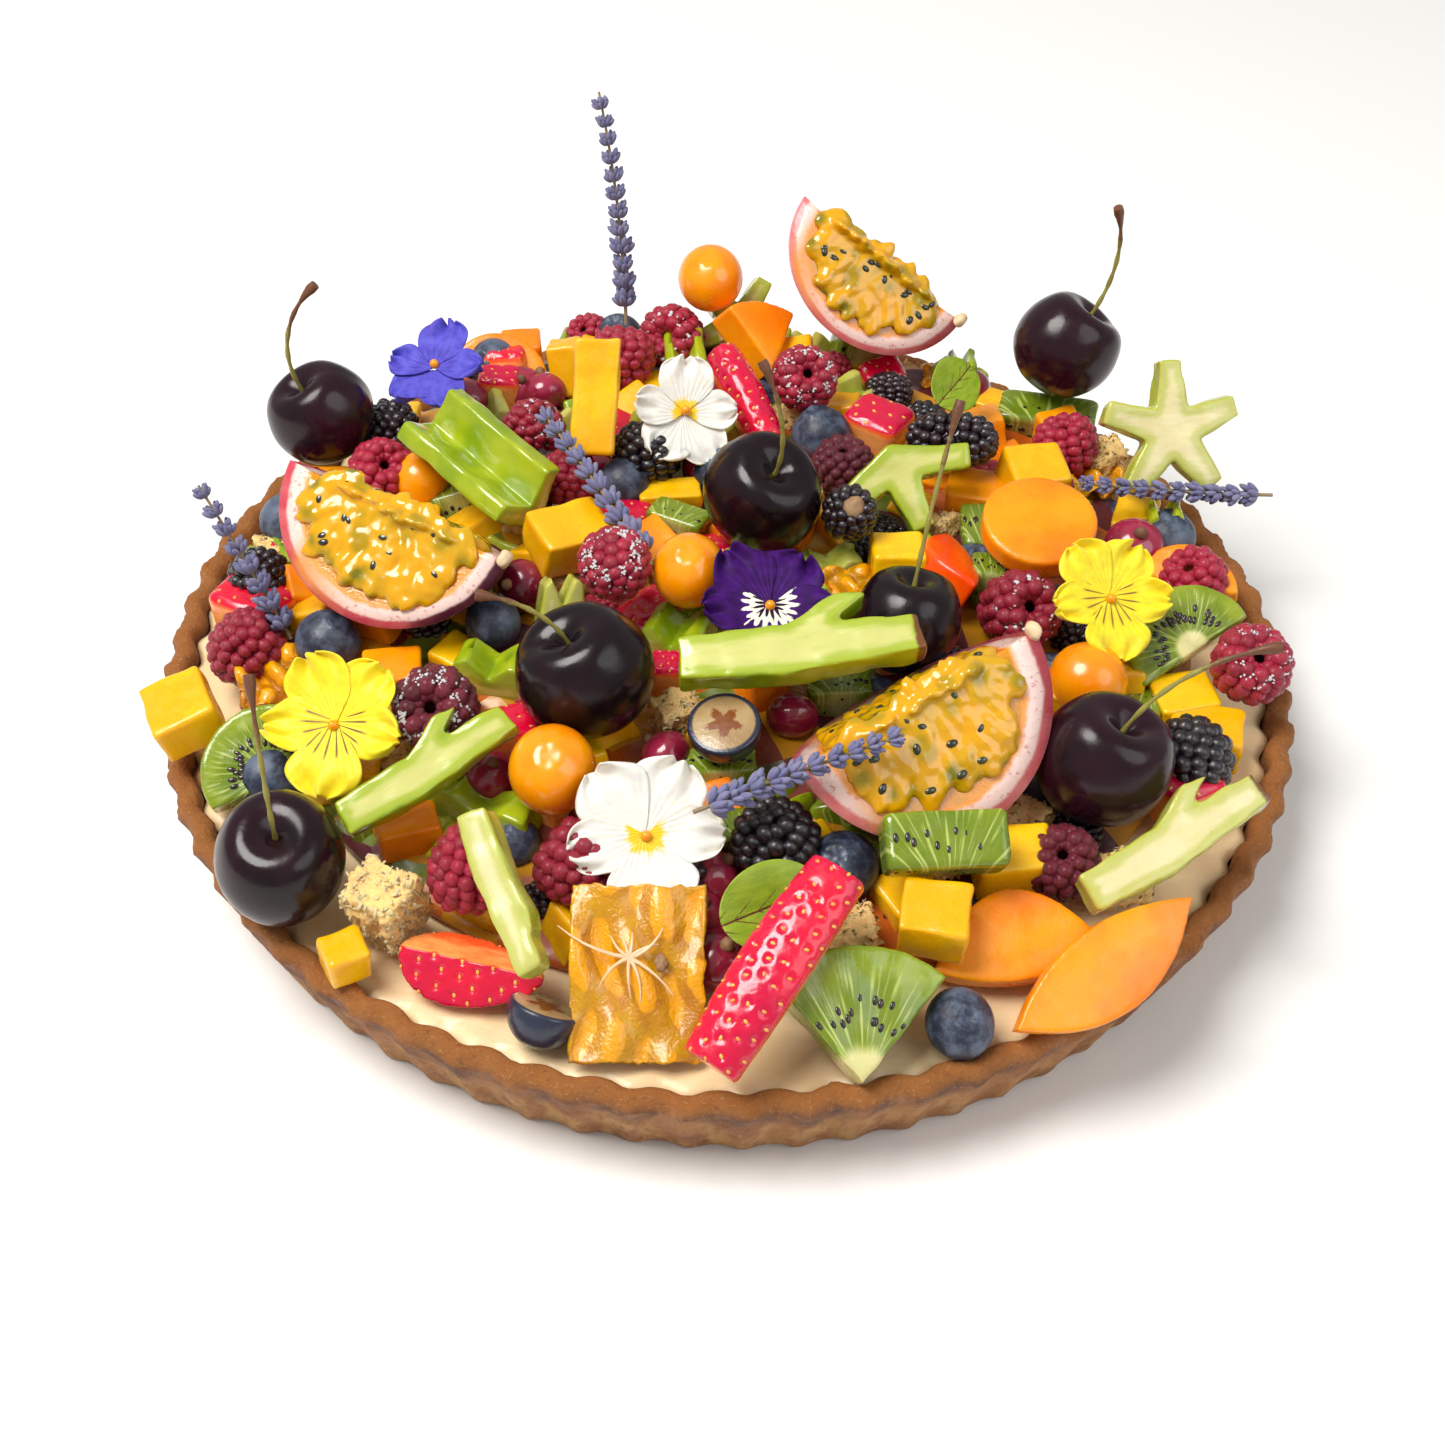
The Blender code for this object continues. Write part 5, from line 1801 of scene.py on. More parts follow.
def halved_blueberry(width: float) -> Piece:
    """Model a blueberry cut across, its face up.

    Args:
        width: Its diameter.

    Returns:
        The new object.
    """
    piece = ball(width, 40, 30)
    bisected(piece, UP, Vector((0, 0, 0.1 * width)))
    apply_modifier(piece, "BEVEL", width=0.5 * MM, segments=2)
    stamp(piece, 0.5, cut=lambda place, normal: span(0.5, 0.9, normal.z))
    return dress(piece, BLUEBERRY_FACE)


# Cut fruit


def achenes(surface: Piece, count: int, allowed: Callable[[Vector, Vector], bool], seed: int) -> Piece:
    """Set strawberry seeds in dimples on a skin.

    Args:
        surface: The strawberry, whose skin is dimpled where a seed goes.
        count: How many seeds are tried.
        allowed: Whether a seed may sit at a place with a normal.
        seed: Which scatter, out of many.

    Returns:
        The seeds as one object.
    """
    draw = random.Random(seed)
    tries = [v.index for v in surface.data.vertices if allowed(v.co, v.normal)]
    draw.shuffle(tries)
    chosen: list[tuple[Vector, Vector]] = []
    for index in tries:
        vertex = surface.data.vertices[index]
        if all((vertex.co - other).length > 3.1 * MM for other, _ in chosen):
            chosen.append((vertex.co.copy(), vertex.normal.copy()))
        if len(chosen) >= count:
            break
    for vertex in surface.data.vertices:
        for place, normal in chosen:
            away = (vertex.co - place).length
            if away < 1.2 * MM:
                vertex.co -= normal * 0.4 * MM * (1 - (away / (1.2 * MM)) ** 2)
    model = sculpt(bead(1.0, 2), lambda p: Vector((p.x * 0.75 * MM, p.y * 1.15 * MM, p.z * 0.55 * MM)))
    dress(stamp(model), ACHENE)
    return scattered("achenes", model, [facing(p - n * 0.3 * MM, n, 0.3) for p, n in chosen], seed)


def seeds_on(places: list[tuple[Vector, Vector, float]]) -> Piece:
    """Set kiwi seeds on cut faces.

    Args:
        places: The place, the face's normal and the turn of each.

    Returns:
        The seeds as one object.
    """
    model = sculpt(bead(1.0, 2), lambda p: Vector((p.x * 2.0 * MM, p.y * 1.1 * MM, p.z * 0.6 * MM)))
    dress(stamp(model), KIWI_SEED)
    return scattered("seeds", model, [facing(p, n, spin) for p, n, spin in places])


def kiwi_sector(radius: float, angle: float, thickness: float, seed: int = 3) -> Piece:
    """Model a slice of kiwi that points along +Y, with its seeds.

    Args:
        radius: The kiwi's radius.
        angle: How many degrees of it are left.
        thickness: Its height.
        seed: Which scatter of seeds.

    Returns:
        The joined object.
    """
    half = math.radians(angle) / 2
    piece = even(slice_of(sector_points(radius, angle), thickness), 0.6 * MM, 4)
    waver(piece, 0.35 * MM, 5 * MM, seed)
    stamp(piece, 0.5, cut=lambda place, normal: 1 - span(0.9, 0.99, place.xy.length / radius))
    dress(
        piece,
        Kiwi(
            f"kiwi_flesh_{round(radius / MM)}", KIWI_FLESH.first, KIWI_FLESH.second, 0.3, 0.14, coat=0.4,
            glow=0.25, radius=radius
        )
    )
    draw = random.Random(seed)
    places = []
    count = max(3, round(angle / 9))
    for side in (1, -1):
        for k in range(count):
            a = math.pi / 2 - half * 0.9 + 1.8 * half * (k + draw.uniform(0.2, 0.8)) / count
            for low, high in ((0.4, 0.48), (0.5, 0.62)):
                if draw.random() < 0.78:
                    reach = radius * draw.uniform(low, high)
                    turn = a + draw.uniform(-0.05, 0.05)
                    place = Vector((
                        reach * math.cos(turn), reach * math.sin(turn), side * (thickness / 2 - 0.05 * MM)
                    ))
                    places.append((place, UP * side, a - math.pi / 2 if side > 0 else -a))
    # Facing turns Z onto the normal and keeps Y up, so a seed is turned about the face to lie along its ray.
    made = seeds_on([(p, n, math.atan2(p.y, p.x) * (1 if n.z > 0 else -1)) for p, n, _ in places])
    return joined("kiwi", [piece, made])


def kiwi_block(size: Size, seed: int = 5) -> Piece:
    """Model a block cut from a kiwi, with seeds on its long sides.

    Args:
        size: Its width, depth and height.
        seed: Which unevenness and seeds.

    Returns:
        The joined object.
    """
    piece = block(size, 0.08, seed)
    apply_modifier(piece, "BEVEL", width=0.12 * size[1], segments=3)
    even(piece, 0.6 * MM)
    waver(piece, 0.3 * MM, 6 * MM, seed)
    dress(
        stamp(piece, 0.5, cut=lambda place, normal: 1.0, own=Matrix.Translation((0, 13 * MM, 0))), KIWI_FLESH
    )
    draw = random.Random(seed)
    places = []
    for k in range(11):
        x = size[0] * (-0.4 + 0.08 * k) + draw.uniform(-0.5, 0.5) * MM
        y = size[1] * draw.uniform(-0.2, 0.12)
        places.append((Vector((x, y, size[2] * 0.465)), UP, math.pi / 2))
        places.append((
            Vector((x, -size[1] * 0.465, size[2] * draw.uniform(-0.25, 0.25))), Vector((0, -1, 0)),
            math.pi / 2
        ))
    return joined("kiwi", [piece, seeds_on(places)])


def inset_of(place: Vector, outline: Outline) -> float:
    """Give how far a place lies from the nearest side of an outline.

    Args:
        place: The place, whose height plays no part.
        outline: The points round it.

    Returns:
        The distance.
    """
    point = place.xy
    nearest = 1.0
    for start, end in zip(outline, outline[1:] + outline[:1]):
        a, side = Vector(start), Vector(end) - Vector(start)
        share = max(0.0, min(1.0, (point - a).dot(side) / side.length_squared))
        nearest = min(nearest, (point - a - side * share).length)
    return nearest


def carambola(
    outline: Outline, thickness: float, finish: Finish = STAR_SKIN, tip: float | None = None
) -> Piece:
    """Model a slice of star fruit: pale above and below, green round its edge.

    Args:
        outline: The points round it.
        thickness: Its height.
        finish: Its colours.
        tip: The place along X past which it is brown.

    Returns:
        The new object.
    """
    piece = even(slice_of(outline, thickness), 0.55 * MM, 7)
    waver(piece, 0.7 * MM, 7 * MM, thickness / MM)

    def cut(place: Vector, normal: Vector) -> float:
        """Give 0 on the skin and up to 1 deep in the cut faces.

        Args:
            place: A vertex.
            normal: Its normal.

        Returns:
            The share.
        """
        return span(0.55, 0.95, abs(normal.z)) * (
            0.3 + 0.7 * span(0.2 * MM, 3.6 * MM, inset_of(place, outline))
        )

    stamp(piece, 0.5, cut=cut)
    if tip is not None:
        rows = coordinates(piece)
        write(piece, "tip", "FLOAT", "value", np.clip((rows[:, 0] - tip) / (3 * MM) + 0.5, 0, 1))
    return dress(piece, finish)


def smooth_slice(outline: Outline, thickness: float, finish: Finish, dome: float = 0.0) -> Piece:
    """Model a slice of smooth flesh.

    Args:
        outline: The points round it.
        thickness: Its height.
        finish: Its finish.
        dome: How far its middle is raised.

    Returns:
        The new object.
    """
    piece = even(slice_of(outline, thickness), 0.6 * MM, 6)
    wide = max(abs(y) for _, y in outline)
    sculpt(piece, lambda p: Vector((p.x, p.y, p.z + dome * (1 - min(1.0, abs(p.y) / wide) ** 2))))
    waver(piece, 0.35 * MM, 9 * MM, thickness / MM)
    return dress(stamp(piece), finish)


def smooth_block(size: Size, finish: Finish, seed: int) -> Piece:
    """Model a knife-cut block of flesh with crisp, slightly eased edges.

    Args:
        size: Its width, depth and height.
        finish: Its finish.
        seed: Which unevenness.

    Returns:
        The new object.
    """
    piece = block(size, 0.1, seed)
    apply_modifier(piece, "BEVEL", width=0.07 * min(size), segments=2)
    even(piece, 0.55 * MM, 2)
    waver(piece, 0.5 * MM, 6 * MM, seed)
    return dress(stamp(piece, random.Random(seed).random()), finish)


def coconut_block(size: Size, seed: int, shreds: int = 150) -> Piece:
    """Model a block of shredded coconut.

    Args:
        size: Its width, depth and height.
        seed: Which crumble, out of many.
        shreds: How many shreds stand out of it.

    Returns:
        The joined object.
    """
    piece = even(block(size, 0.1, seed), 0.6 * MM, 3)
    waver(piece, 1.6 * MM, 3 * MM, seed)
    waver(piece, 1.0 * MM, 1.1 * MM, seed + 1)
    dress(stamp(piece, 0.5), COCONUT_CRUMB)
    draw = random.Random(seed)
    bpy.ops.mesh.primitive_cube_add(size=1)
    flake = sculpt(bpy.context.object, lambda p: Vector((p.x, p.y * (1 - 0.5 * p.x), p.z + 0.4 * p.x * p.x)))
    dress(stamp(flake), COCONUT_FLAKE)
    places = []
    for _ in range(shreds):
        vertex = piece.data.vertices[draw.randrange(len(piece.data.vertices))]
        lean = (vertex.normal + Vector([draw.uniform(-1, 1) for _ in range(3)]) * 1.1).normalized()
        size_of = (draw.uniform(1.0, 3.0) * MM, draw.uniform(0.5, 1.0) * MM, draw.uniform(0.2, 0.45) * MM)
        places.append(facing(vertex.co, lean, draw.uniform(0, 6), size_of))
    return joined("coconut", [piece, scattered("flakes", flake, places, seed)])


def papery_skin(width: float, length: float, ridge: float, seed: int) -> Piece:
    """Model a square of wrinkled amber fruit skin.

    Args:
        width: Its size along X.
        length: Its size along Y.
        ridge: How high its folds are.
        seed: Which wrinkles, out of many.

    Returns:
        The new object.
    """
    piece = sheet(80, 96)
    shift = Vector((seed, 0, 0))

    def wrinkle(p: Vector) -> Vector:
        """Fold the skin and fray its border.

        Args:
            p: A vertex of the flat sheet.

        Returns:
            Its place on the skin.
        """
        x, y = p.x, p.y
        worn = abs(noise.noise(Vector((x * 5, y * 5, seed))))
        frayed = abs(noise.noise(Vector((x * 19, y * 19, seed))))
        ragged = 1 - 0.09 * worn - 0.03 * frayed
        along = math.cos(4.4 * math.pi * x + 0.9 * math.sin(6 * y))
        across = math.cos(2.2 * math.pi * y + 0.8 * math.sin(5 * x))
        z = ridge * along * across
        fine = noise.ridged_multi_fractal(Vector((x * 2.4, y * 1.8, 0)) + shift, 1.0, 2.0, 3, 1.0, 2.0)
        z += ridge * 0.5 * (fine - 1)
        return Vector((x * width * ragged, y * length * ragged, z))

    sculpt(piece, wrinkle)
    stamp(piece)
    shares = np.array([span(0.2, 0.75, abs(v.co.z) / ridge) for v in piece.data.vertices])
    write(piece, "cut", "FLOAT", "value", shares)
    apply_modifier(piece, "SOLIDIFY", thickness=0.9 * MM, offset=0)
    piece.data.shade_smooth()
    return dress(piece, HUSK_SKIN)


@dataclass
class PassionFruit:
    """A wedge of passion fruit that lies on its rind: pith round the cut, and pulp with seeds between."""

    node: str
    turn: Turn
    length: float
    width: float
    rind: Finish = PINK_RIND
    pith: float = 4.4 * MM
    seed: int = 1
    stub: int = 1

    def shell(self) -> Piece:
        """Model the wedge of rind with its pith and the bed of the pulp.

        Returns:
            The shell, with the bed as its second finish.
        """
        piece = ball(1.0, 72, 48)
        piece.data.transform(Matrix.Rotation(math.pi / 2, 4, "Y"))
        piece.data.transform(Matrix.Diagonal((self.length, self.width, self.width, 1)))
        half = math.radians(45)
        for side in (1, -1):
            bisected(piece, Vector((0, side * math.cos(half), math.sin(half))))
        with editing(piece):
            bpy.ops.mesh.select_all(action="DESELECT")
            mesh = bmesh.from_edit_mesh(piece.data)
            for face in mesh.faces:
                face.select_set(len(face.verts) > 12)
            bmesh.update_edit_mesh(piece.data)
            bpy.ops.mesh.inset(thickness=self.pith, depth=0)
        beds = [1 if len(face.vertices) > 12 else 0 for face in piece.data.polygons]
        piece.data.polygons.foreach_set("material_index", beds)
        halves = np.array((self.length / 2, self.width / 2, self.width / 2))
        inside = np.linalg.norm(coordinates(piece) / halves, axis=1) < 0.985
        for vertex, sunk in zip(piece.data.vertices, inside):
            vertex.co.z -= MM if sunk else 0.0
        stamp(piece, 0.5)
        write(piece, "cut", "FLOAT", "value", inside.astype(np.float32))
        return dress(piece, self.rind, PULP_BED)

    def bed(self, across: float, along: float) -> tuple[Vector, Vector]:
        """Give a place on one of the two cut faces.

        Args:
            across: From -1 at one rim over 0 on the edge between the faces to 1 at the other rim.
            along: From -1 to 1 along the fruit.

        Returns:
            The place and the face's normal.
        """
        x = along * (self.length / 2 - self.pith * 1.1)
        room = self.width / 2 * math.sqrt(max(0.0, 1 - (2 * x / self.length) ** 2)) - self.pith * 1.15
        reach = max(0.0, room) * abs(across)
        side = 1 if across >= 0 else -1
        place = Vector((x, side * reach * math.cos(math.pi / 4), -reach * math.sin(math.pi / 4)))
        return place, Vector((0, side * math.cos(math.pi / 4), math.sin(math.pi / 4)))

    def sac(self, across: float, along: float, draw: random.Random) -> Matrix:
        """Give the matrix of one juice sac, which points away from the edge between the cut faces.

        Args:
            across: Where it lies across the faces. See bed.
            along: Where it lies along the fruit.
            draw: Draws its size and lean.

        Returns:
            The matrix.
        """
        place, out = self.bed(across, along)
        side = 1 if across >= 0 else -1
        ray = Vector((along * 0.9, side * math.cos(math.pi / 4), -math.sin(math.pi / 4)))
        ray = (ray + out * draw.uniform(-0.15, 0.3)).normalized()
        beside = out.cross(ray).normalized()
        above = ray.cross(beside)
        long = draw.uniform(8.5, 12.5) * MM
        wide = draw.uniform(4.2, 6.2) * MM
        high = draw.uniform(2.6, 4.4) * MM
        turn = Matrix((ray * long, beside * wide, above * high)).transposed().to_4x4()
        return Matrix.Translation(place - out * high * 0.12) @ turn

    def pulp(self) -> list[Piece]:
        """Fill the cut with juice sacs that run together into a gel, and set seeds in it.

        Returns:
            The gel and the seeds.
        """
        draw = random.Random(self.seed)
        model = stamp(waver(bead(1.0, 2), 0.1, 0.5))
        seed_model = sculpt(
            bead(1.0, 2), lambda p: Vector((p.x * 2.8, p.y * 1.8, p.z * 1.1)) * MM * (1 - 0.25 * p.x)
        )
        dress(stamp(seed_model), PASSION_SEED)
        sacs, seeds = [], []
        for _ in range(300):
            across = draw.uniform(-0.85, 0.85)
            along = draw.uniform(-0.88, 0.88)
            if along**2 + across**2 * 0.5 > 0.85:
                continue
            sacs.append(self.sac(across, along, draw))
            if draw.random() < 0.1:
                place, out = self.bed(across, along)
                seeds.append(facing(place + out * 1.1 * MM, out, draw.uniform(0, 6)))
        gel = scattered("gel", model, sacs, self.seed)
        even(gel, 0.5 * MM, 5)
        waver(gel, 0.3 * MM, 3 * MM, self.seed)
        gel.data.materials.clear()
        dress(stamp(gel), PULP)
        return [gel, scattered("pips", seed_model, seeds, self.seed)]

    def build(self) -> None:
        """Model the wedge and lay it in its node's place."""
        parts = [self.shell(), *self.pulp()]
        stub = sculpt(
            ball(4.6 * MM, 20, 12),
            lambda p: Vector((p.z * 0.7 + self.stub * (self.length / 2 - 0.3 * MM), p.x, p.y))
        )
        parts.append(dress(stamp(waver(stub, 0.4 * MM, 1.5 * MM)), FILAMENT))
        piece = joined(self.node, parts)
        Seat.of(self.node, self.turn).take(piece)
        hand_in(piece, self.node + "_fruit", Slot.PASSION_FRUIT, self.node)


# Flowers, leaves and sprigs


@dataclass
class Viola:
    """A viola of five petals, face up, with its lowest petal towards -Y."""

    node: str
    turn: Turn
    width: float
    finish: Finish
    slot: Slot
    seed: int = 1
    eye: Finish = GOLDEN_SKIN

    def petal(
        self, angle: float, reach: float, half: float, lift: float, face: float, ruffle: float
    ) -> Piece:
        """Model one petal.

        Args:
            angle: Which way it points, in degrees.
            reach: How far it goes.
            half: Half its width.
            lift: How high its throat lies.
            face: 1 for a petal that carries the flower's face.
            ruffle: Which waves its rim has.

        Returns:
            The petal.
        """
        piece = sheet(26, 26)
        rows = coordinates(piece)
        own = np.empty_like(rows)
        for k, (x, y, _) in enumerate(rows):
            s, t = 2 * x, y + 0.5
            outer = math.sqrt(max(0.0, 1 - ((t - 0.6) / 0.42) ** 2))
            grow = math.sin(t / 0.6 * math.pi / 2) ** 1.1 if t < 0.6 else outer
            wide = half * (0.06 + 0.94 * grow) * (1 + 0.05 * math.sin(9 * t + ruffle))
            out = reach * (t - 0.05 * s * s * t)
            notch = 0.05 * reach * math.exp(-((s / 0.3) ** 2)) * span(0.8, 1.0, t)
            frill = span(0.45, 1.0, t)
            wave = math.sin(2.6 * s * math.pi + ruffle) * 0.07 + math.sin(5.1 * s + ruffle * 2) * 0.05
            z = lift + reach * (
                0.16 * t * t + wave * frill + 0.05 * s * s * t - 0.16 * frill * frill * abs(math.sin(ruffle))
            )
            rows[k] = (s * wide, out - notch + 0.4 * MM, z)
            own[k] = (s * wide / reach, t, face)
        piece.data.vertices.foreach_set("co", rows.ravel())
        piece.data.update()
        stamp(piece, 0.5)
        write(piece, "own", "FLOAT_VECTOR", "vector", own)
        apply_modifier(piece, "SOLIDIFY", thickness=0.3 * MM, offset=0)
        piece.data.shade_smooth()
        piece.data.transform(Matrix.Rotation(math.radians(angle - 90), 4, "Z"))
        return dress(piece, self.finish)

    def build(self) -> None:
        """Model the flower and lay it in its node's place."""
        w = self.width
        parts = [
            self.petal(-90, 0.52 * w, 0.26 * w, 1.2 * MM, 1.0, self.seed),
            self.petal(-8, 0.47 * w, 0.185 * w, 0.8 * MM, 1.0, self.seed + 1.3),
            self.petal(188, 0.47 * w, 0.185 * w, 0.9 * MM, 1.0, self.seed + 2.1),
            self.petal(57, 0.5 * w, 0.235 * w, 0.0, 0.0, self.seed + 3.7),
            self.petal(121, 0.5 * w, 0.235 * w, 0.3 * MM, 0.0, self.seed + 5.2),
        ]
        eye = sculpt(ball(2.4 * MM, 20, 12), lambda p: Vector((p.x, p.y - 0.6 * MM, p.z * 1.1 + 1.6 * MM)))
        parts.append(dress(stamp(eye), self.eye))
        piece = joined(self.node, parts)
        Seat.of(self.node, self.turn).take(piece, (True, True, False))
        hand_in(piece, self.node + "_flower", self.slot, self.node)


@dataclass
class SorrelLeaf:
    """A rounded leaf along X with dark red veins, folded a little along its middle rib."""

    node: str
    turn: Turn
    length: float
    width: float

    def build(self) -> None:
        """Model the leaf and lay it in its node's place."""
        piece = sheet(40, 40)
        rows = coordinates(piece)
        own = np.empty_like(rows)
        for k, (x, y, _) in enumerate(rows):
            u, v = 2 * x, 2 * y
            a, b = u * math.sqrt(1 - v * v / 2), v * math.sqrt(1 - u * u / 2)
            px, py = a * self.length / 2, b * self.width / 2
            z = 0.2 * abs(py) + 0.05 * px * math.cos(3 * b) + 0.5 * MM * math.sin(4 * a + 3 * b)
            rows[k] = (px, py, z)
            own[k] = (a * 0.5 + 0.5, b, 0)
        piece.data.vertices.foreach_set("co", rows.ravel())
        piece.data.update()
        stamp(piece, 0.5)
        write(piece, "own", "FLOAT_VECTOR", "vector", own)
        apply_modifier(piece, "SOLIDIFY", thickness=0.4 * MM, offset=0)
        piece.data.shade_smooth()
        dress(piece, LEAF_SKIN)
        Seat.of(self.node, self.turn).take(piece)
        hand_in(piece, self.node + "_leaf", Slot.LEAF, self.node)


@dataclass
class LavenderSprig:
    """A sprig of lavender, from its cut end up: whorls of buds on a thin stem."""

    node: str
    turn: Turn
    length: float
    whorls: int
    bend: float
    seed: int = 1

    def spine(self, share: float) -> tuple[Vector, Vector]:
        """Give the place at a share of the length, and the stem's direction there.

        Args:
            share: The share, from 0 to 1.

        Returns:
            The place and the direction.
        """
        angle = math.radians(self.bend) * share
        bend = math.radians(self.bend)
        reach = self.length
        if abs(bend) < 1e-3:
            return Vector((0, 0, share * reach)), UP.copy()
        place = Vector(((1 - math.cos(angle)) / bend * reach, 0, math.sin(angle) / bend * reach))
        return place, Vector((math.sin(angle), 0, math.cos(angle)))

    def buds(self) -> list[Matrix]:
        """Give a matrix for each bud.

        Returns:
            The matrices.
        """
        draw = random.Random(self.seed)
        places = []
        rings = round(1.7 * self.whorls)
        for k in range(rings):
            share = 0.1 + 0.84 * k / (rings - 1)
            size = 1 - 0.4 * k / rings
            middle, up = self.spine(share)
            side = up.orthogonal().normalized()
            for layer, count in ((0, 8), (1, 6)):
                for j in range(count):
                    turn = Matrix.Rotation(
                        ROUND * (j + 0.5 * layer) / count + k + draw.uniform(-0.2, 0.2), 3, up
                    )
                    out = turn @ side
                    lean = (out * (0.75 - 0.2 * layer) + up * draw.uniform(0.5, 1.0)).normalized()
                    place = middle + up * (layer * 1.3 - 1.0) * MM * size + out * 0.7 * MM
                    scale = size * draw.uniform(0.85, 1.15)
                    places.append(facing(place, lean, draw.uniform(0, 6), scale))
        tip, up = self.spine(0.985)
        for j in range(4):
            out = Matrix.Rotation(j * 1.6, 3, up) @ up.orthogonal().normalized()
            places.append(facing(tip - up * 3 * MM, (up + out * 0.35).normalized(), j, 0.6))
        return places

    def build(self) -> None:
        """Model the sprig and lay it in its node's place."""
        bud = sculpt(
            ball(1.0, 12, 10),
            lambda p: Vector((p.x * 1.75, p.y * 1.75, (p.z + 0.5) * 3.9)) * MM * (
                1 + 0.06 * math.cos(6 * math.atan2(p.y, p.x))
            ),
        )
        stamp(bud, 0.5, cut=lambda place, normal: 1 - span(0.0, 2.2 * MM, place.z))
        dress(bud, LAVENDER_BUD)
        parts = [scattered("buds", bud, self.buds(), self.seed)]
        steps = 16
        points = [self.spine(k / steps)[0] for k in range(steps + 1)]
        stem = stalk(points, [(0.55 - 0.2 * k / steps) * MM for k in range(steps + 1)])
        parts.append(dress(stamp(stem), LAVENDER_STEM))
        piece = joined(self.node, parts)
        Seat.of(self.node, self.turn).take(piece)
        hand_in(piece, self.node + "_sprig", Slot.LAVENDER, self.node)


# Single pieces of fruit


@dataclass
class LaidFruit:
    """A single piece that some function models and its node's turn lays."""

    node: str
    turn: Turn
    slot: Slot
    model: Callable[[], Piece]

    def build(self) -> None:
        """Model the piece and lay it in its node's place."""
        piece = self.model()
        Seat.of(self.node, self.turn).take(piece)
        hand_in(piece, self.node + "_piece", self.slot, self.node)


def star_points(width: float, arms: int = 5) -> Outline:
    """Give the outline of a slice of star fruit. With fewer than five arms the rest was cut away.

    Args:
        width: How wide a whole star is.
        arms: How many arms are left.

    Returns:
        The points round it.
    """
    reach, valley, blunt = width / 2, 0.2 * width, 0.16
    points = []
    for k in range(arms):
        middle = ROUND * (k - (arms - 1) / 2) / 5 + math.pi / 2
        for side in (-1, 1):
            points.append((reach * math.cos(middle + side * blunt), reach * math.sin(middle + side * blunt)))
        if arms == 5 or k < arms - 1:
            between = middle + math.pi / 5
            points.append((valley * math.cos(between), valley * math.sin(between)))
    return points + ([(0.0, -0.12 * width)] if arms < 5 else [])


def long_slice_points(length: float, branch: float) -> Outline:
    """Give the outline of a lengthwise slice of star fruit with a short arm that leaves it.

    Args:
        length: Its length.
        branch: How far the arm stands out.

    Returns:
        The points round it.
    """
    narrow, wide = 0.1 * length, 0.13 * length
    return [
        (-0.5 * length, -0.8 * narrow),
        (-0.1 * length, -wide),
        (0.5 * length, -narrow),
        (0.48 * length, 0.5 * narrow),
        (0.15 * length, 0.6 * wide),
        (0.3 * length, 0.6 * wide + branch * narrow),
        (0.18 * length, 0.8 * wide + branch * narrow),
        (-0.05 * length, 0.7 * wide),
        (-0.48 * length, narrow),
    ]


def lens_points(length: float, width: float, bulge: float) -> Outline:
    """Give two arcs that meet in points at both ends, with bulge of the width on the +Y side.

    Args:
        length: Its length.
        width: Its width.
        bulge: The share of the width on the +Y side.

    Returns:
        The points round it.
    """
    steps = 20
    there = [(length * (0.5 - k / steps), bulge) for k in range(steps)]
    back = [(-length * (0.5 - k / steps), bulge - 1) for k in range(steps)]
    return [(x, side * width * (1 - (2 * x / length) ** 2)) for x, side in there + back]


def sector_points(radius: float, angle: float) -> Outline:
    """Give a slice of a round fruit that spans angle degrees, pointing along +Y.

    Args:
        radius: The fruit's radius.
        angle: How many degrees are left.

    Returns:
        The points round it.
    """
    half, steps = math.radians(angle) / 2, 28
    arc = [math.pi / 2 - half + 2 * half * k / steps for k in range(steps + (1 if angle < 355 else 0))]
    return [(radius * math.cos(a), radius * math.sin(a)) for a in arc] + ([(0.0, 0.0)] if angle < 180 else [])


def strawberry_quarter(length: float, width: float) -> Piece:
    """Model a quarter of a strawberry along X on its skin, with its tip at +X.

    Args:
        length: Its length.
        width: The whole fruit's width.

    Returns:
        The joined object.
    """
    piece = ball(1.0, 64, 48)

    def shape(p: Vector) -> Vector:
        """Draw a ball out to a strawberry."""
        narrow = 1 - 0.45 * (p.z + 0.5)
        return Vector((p.z * length, p.x * width * narrow, p.y * width * narrow))

    sculpt(piece, shape)
    half = math.radians(55)
    for side in (-1, 1):
        bisected(piece, Vector((0, side * math.cos(half), math.sin(half))))
    even(piece, 0.5 * MM, 4)
    pips = achenes(piece, 60, lambda place, normal: normal.z < -0.1 or normal.y < -0.4, 4)

    def cut(place: Vector, normal: Vector) -> float:
        """Give 0 on the skin and up to 1 near the skin on the cut faces.

        Args:
            place: A vertex.
            normal: Its normal.

        Returns:
            The share.
        """
        return span(0.0, 0.5, normal.y) * span(0.0, 0.5, normal.z) * (
            1 - 0.5 * span(0.15 * width, 0.4 * width, place.yz.length)
        )

    stamp(piece, 0.5, cut=cut)
    return joined("strawberry", [dress(piece, STRAWBERRY_SKIN), pips])


